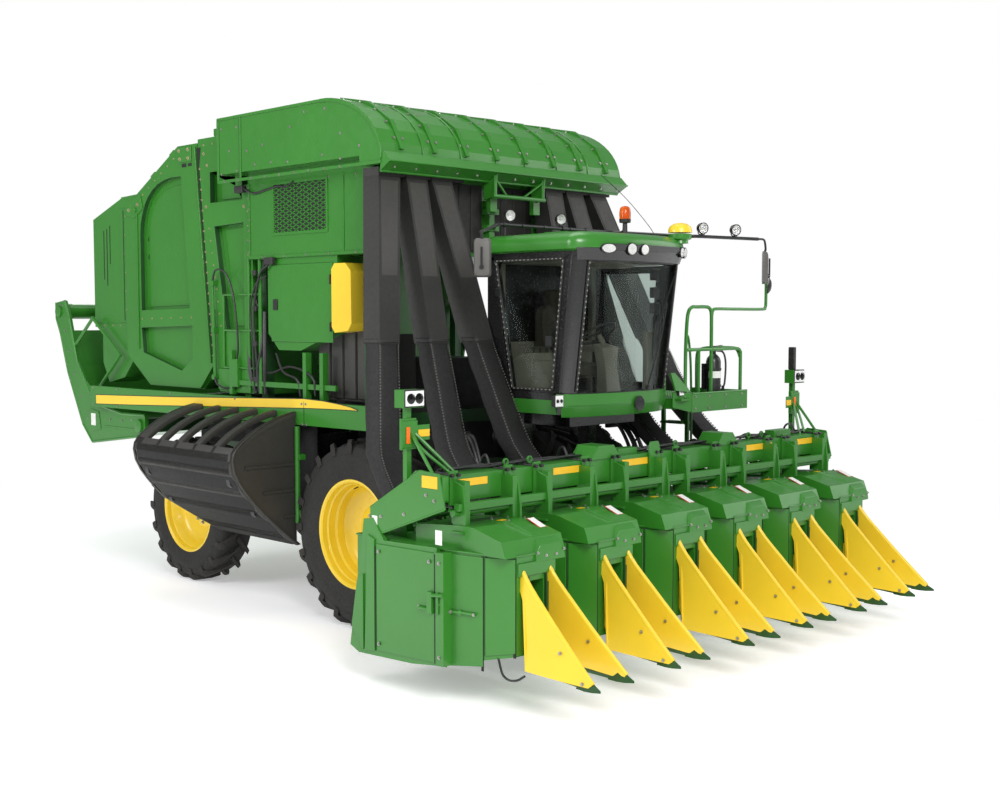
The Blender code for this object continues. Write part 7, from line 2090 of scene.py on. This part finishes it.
def under_pieces():
    """Tanks, skins, posts, hoses and bolts under the body, the front wall, the steering and the pipes."""
    for name, side in SIDES:
        # tank and boxes behind the plastic guard
        s = Shapes()
        s.block(span(side, 0.72, 1.42), (1.16, 2.22), (1.06, 1.92))
        s.block(span(side, 0.80, 1.36), (1.24, 2.14), (1.90, 1.98))
        s.rod((side * 1.30, 1.36, 1.96), (side * 1.30, 1.36, 2.01), 0.055, 20)
        s.done(f"side_tank_{name}", "cab_black", "chassis", bevel=0.045)
        b = Shapes()
        for y in (1.38, 1.70, 2.02):
            b.block(span(side, 0.715, 1.425), about(y, 0.025), (1.054, 1.926))
        b.block(span(side, 0.62, 0.74), (1.20, 2.18), (1.30, 1.42))
        b.done(f"side_tank_straps_{name}", "frame_black", "chassis", bevel=0.004)
        # dark inner skin under the beam, painted shade where the machine's inside shows, then posts and pipes
        p = Shapes()
        p.block(span(side, 1.455, 1.465), (0.98, 2.36), (1.10, 2.02))
        p.block(span(side, 1.00, 1.61), (0.98, 4.30), (2.015, 2.025))
        p.block(span(side, 0.625, 0.635), (2.20, 4.62), (1.61, 2.02))
        p.done(f"inner_shade_sheet_{name}", "dark_inside", "chassis")
        q = Shapes()
        for y in (0.72, 1.02, 2.44):
            q.block(span(side, 1.52, 1.60), about(y, 0.03), (2.31, 2.82))
        q.block(span(side, 1.54, 1.58), (0.50, 2.50), (2.42, 2.48))
        q.done(f"bay_posts_{name}", "green", "chassis", bevel=0.005)
        r = Shapes()
        bundle(r, [on_side(side, (1.56, 1.90, 2.34), (1.58, 1.92, 2.60), (1.56, 1.86, 2.86),
                (1.53, 1.90, 3.20), (1.52, 2.02, 3.40)), on_side(side, (1.56, 1.80, 2.34), (1.58, 1.78, 2.62),
                (1.565, 1.80, 2.90), (1.53, 1.84, 3.26)),
                on_side(side, (1.55, 2.00, 2.34), (1.57, 2.08, 2.58), (1.55, 2.12, 2.86))], 0.022)
        bundle(r, [on_side(side, (1.57, 0.86, 2.36), (1.585, 0.90, 2.56), (1.57, 1.30, 2.66),
                (1.56, 1.70, 2.58), (1.55, 1.96, 2.66)),
                on_side(side, (1.56, 1.14, 2.34), (1.575, 1.18, 2.52), (1.57, 1.44, 2.60),
                        (1.55, 1.60, 2.80))], 0.014)
        r.done(f"bay_hoses_{name}", "hose", "chassis")
        # hoses from the frame towards the picking units
        h = Shapes()
        for k, (x, drop) in enumerate(((1.16, 0.00), (1.21, 0.03), (1.26, -0.02), (1.31, 0.05),
                (1.10, 0.06))):
            h.tube(on_side(side, (x, -0.98, 2.02), ((x + 0.02), -1.12, 2.00),
                           ((x + 0.05), -1.26, 1.80 - drop), ((x + 0.03), -1.30, 1.58 - drop),
                           ((x - 0.04), -1.16, 1.40 - drop), ((x - 0.12), -1.00, 1.36)),
                           0.017 if k % 2 else 0.022, 8, 5)
        h.done(f"drive_hoses_{name}", "hose", "chassis")
        c = Shapes()
        c.block(span(side, 1.06, 1.38), (-1.02, -0.97), (1.97, 2.06))
        for k in range(5):
            c.rod((side * (1.10 + 0.055 * k), -1.04, 2.015), (side * (1.10 + 0.055 * k), -0.98, 2.015), 0.026,
                  6)
        c.done(f"hose_clamps_{name}", "frame_black", "chassis", bevel=0.004)
        # bolts of the drive axle's flange and of the frame
        f = Shapes()
        for i in range(10):
            a = 2 * math.pi * i / 10
            f.bolt((side * 0.605, 0.13 * math.cos(a), FRONT_RADIUS + 0.13 * math.sin(a)), (side, 0, 0), 0.012)
        for y in (-0.10, 0.10):
            for z in (1.42, 1.54):
                f.bolt((side * 0.562, y, z), (side, 0, 0), 0.014)
        for y in (-1.05, -0.80, -0.40, 0.60, 1.00, 2.50, 3.00, 3.80, 4.20, 4.50):
            f.bolt((side * 0.561, y, 1.36), (side, 0, 0), 0.013)
            f.bolt((side * 0.561, y, 1.52), (side, 0, 0), 0.013)
        f.done(f"frame_bolts_{name}", "steel", "chassis")
    # dark flexible walls on the body's front between the ducts, with a green post and its clamps
    w = Shapes()
    w.block((-0.78, -0.12), WALL_SKIN, (3.90, 4.62))
    w.block((0.02, 0.66), WALL_SKIN, (3.90, 4.62))
    for x in (-0.62, -0.45, -0.28, 0.18, 0.36, 0.54):
        w.block(about(x, 0.012), (-0.224, -0.212), (3.92, 4.60))
    w.done("front_wall_panels", "black_rubber", "chassis", bevel=0.004)
    v = Shapes()
    v.block((-0.09, -0.01), (-0.30, -0.206), (3.86, 4.46))
    for z in (3.98, 4.16, 4.34):
        v.block((-0.14, 0.04), (-0.32, -0.24), about(z, 0.03))
        v.rod((-0.05, -0.36, z), (-0.05, -0.30, z), 0.022, 10)
    v.block((-1.02, -0.84), (-0.27, -0.206), (3.90, 4.56))
    for z in (4.02, 4.30, 4.46):
        v.block((-1.06, -0.80), (-0.30, -0.24), about(z, 0.022))
    v.done("front_wall_post", "green", "chassis", bevel=0.004)
    # ribbed intake hose in front of the engine's floor
    g = Shapes()
    path = [(-0.62, -0.96, 1.98), (-0.62, -1.12, 2.00), (-0.60, -1.30, 1.92), (-0.58, -1.36, 1.74),
            (-0.56, -1.28, 1.60)]
    g.tube(path, 0.055, 16, 6)
    for i in range(len(path) - 1):
        a, b = Vector(path[i]), Vector(path[i + 1])
        steps = max(2, int((b - a).length / 0.032))
        for k in range(steps):
            t = a.lerp(b, k / steps)
            d = (b - a).normalized()
            g.rod(t - d * 0.007, t + d * 0.007, 0.066, 16)
    g.done("ribbed_hose", "hose", "chassis")
    # steering cylinder and the pipes under the frame
    e = Shapes()
    e.rod((-0.42, *STEER_ROD), (0.18, *STEER_ROD), 0.040, 20)
    e.rod((-0.46, *STEER_ROD), (-0.40, *STEER_ROD), 0.048, 20)
    e.rod((0.14, *STEER_ROD), (0.20, *STEER_ROD), 0.048, 20)
    e.done("steering_barrel", "green", "chassis", bevel=0.003)
    Shapes().rod((0.18, *STEER_ROD), (0.52, *STEER_ROD), 0.019, 16).done("steering_rod", "chrome", "chassis")
    u = Shapes()
    bundle(u, [[(-0.36, -0.90, 1.30), (-0.34, 0.40, 1.24), (-0.36, 1.60, 1.26), (-0.34, 3.00, 1.24),
                (-0.30, 3.20, 0.92)], [(-0.30, -0.90, 1.30), (-0.28, 0.50, 1.22), (-0.29, 1.80, 1.25),
            (-0.26, 3.10, 1.22), (0.10, 3.22, 0.92)], [(0.34, -0.90, 1.30), (0.36, 0.60, 1.24),
            (0.34, 2.20, 1.26), (0.36, 4.20, 1.28)]], 0.016)
    u.done("frame_pipes", "hose", "chassis")


# CAD nodes that stay, with softened edges

EDGES = {
    "main_frame": 0.008, "front_axle": 0.008, "rear_axle": 0.008, "engine_block": 0.02,
    "side_beam_right": 0.006,
    "side_beam_left": 0.006, "accumulator_body": 0.004, "accumulator_hood": 0.006, "chamber_front": 0.006,
    "service_box": 0.018, "cab_shell": 0.010, "cab_roof": 0.02, "platform": 0.003, "toolbar": 0.004,
    "rear_gate": 0.006, "module_handler": 0.004, "cab_door": 0.006, "knuckle_right": 0.006,
    "knuckle_left": 0.006,
    "duct_bank_right": 0.02, "duct_bank_left": 0.02, "intake_box": 0.01, "wash_tank": 0.03,
}


OWN_LOOKS = (("lower_duct", "duct_dark"), ("side_guard", "guard_plastic"), ("cab_shell", "cab_black"),
             ("cab_door", "cab_black"))


def dress_nodes():
    """Gives each CAD node the material of its slot, or its own look, and softens its edges."""
    slots = {entry["node"]: entry["material_slot"] for entry in frame["record"]["subparts"]}
    for name, obj in frame["nodes"].items():
        key = slots.get(name, "green")
        for start, look in OWN_LOOKS:
            if name.startswith(start):
                key = look
        obj.data.materials.clear()
        obj.data.materials.append(MATS[key])
        width = EDGES.get(name)
        if name.startswith("row_unit"):
            width = 0.008
        if width:
            soften(obj, width)


dress_nodes()
dress_wheels()
dress_header()
dress_sides()
dress_body()
dress_rear()
dress_cab()
under_pieces()
make_stage()
make_camera()
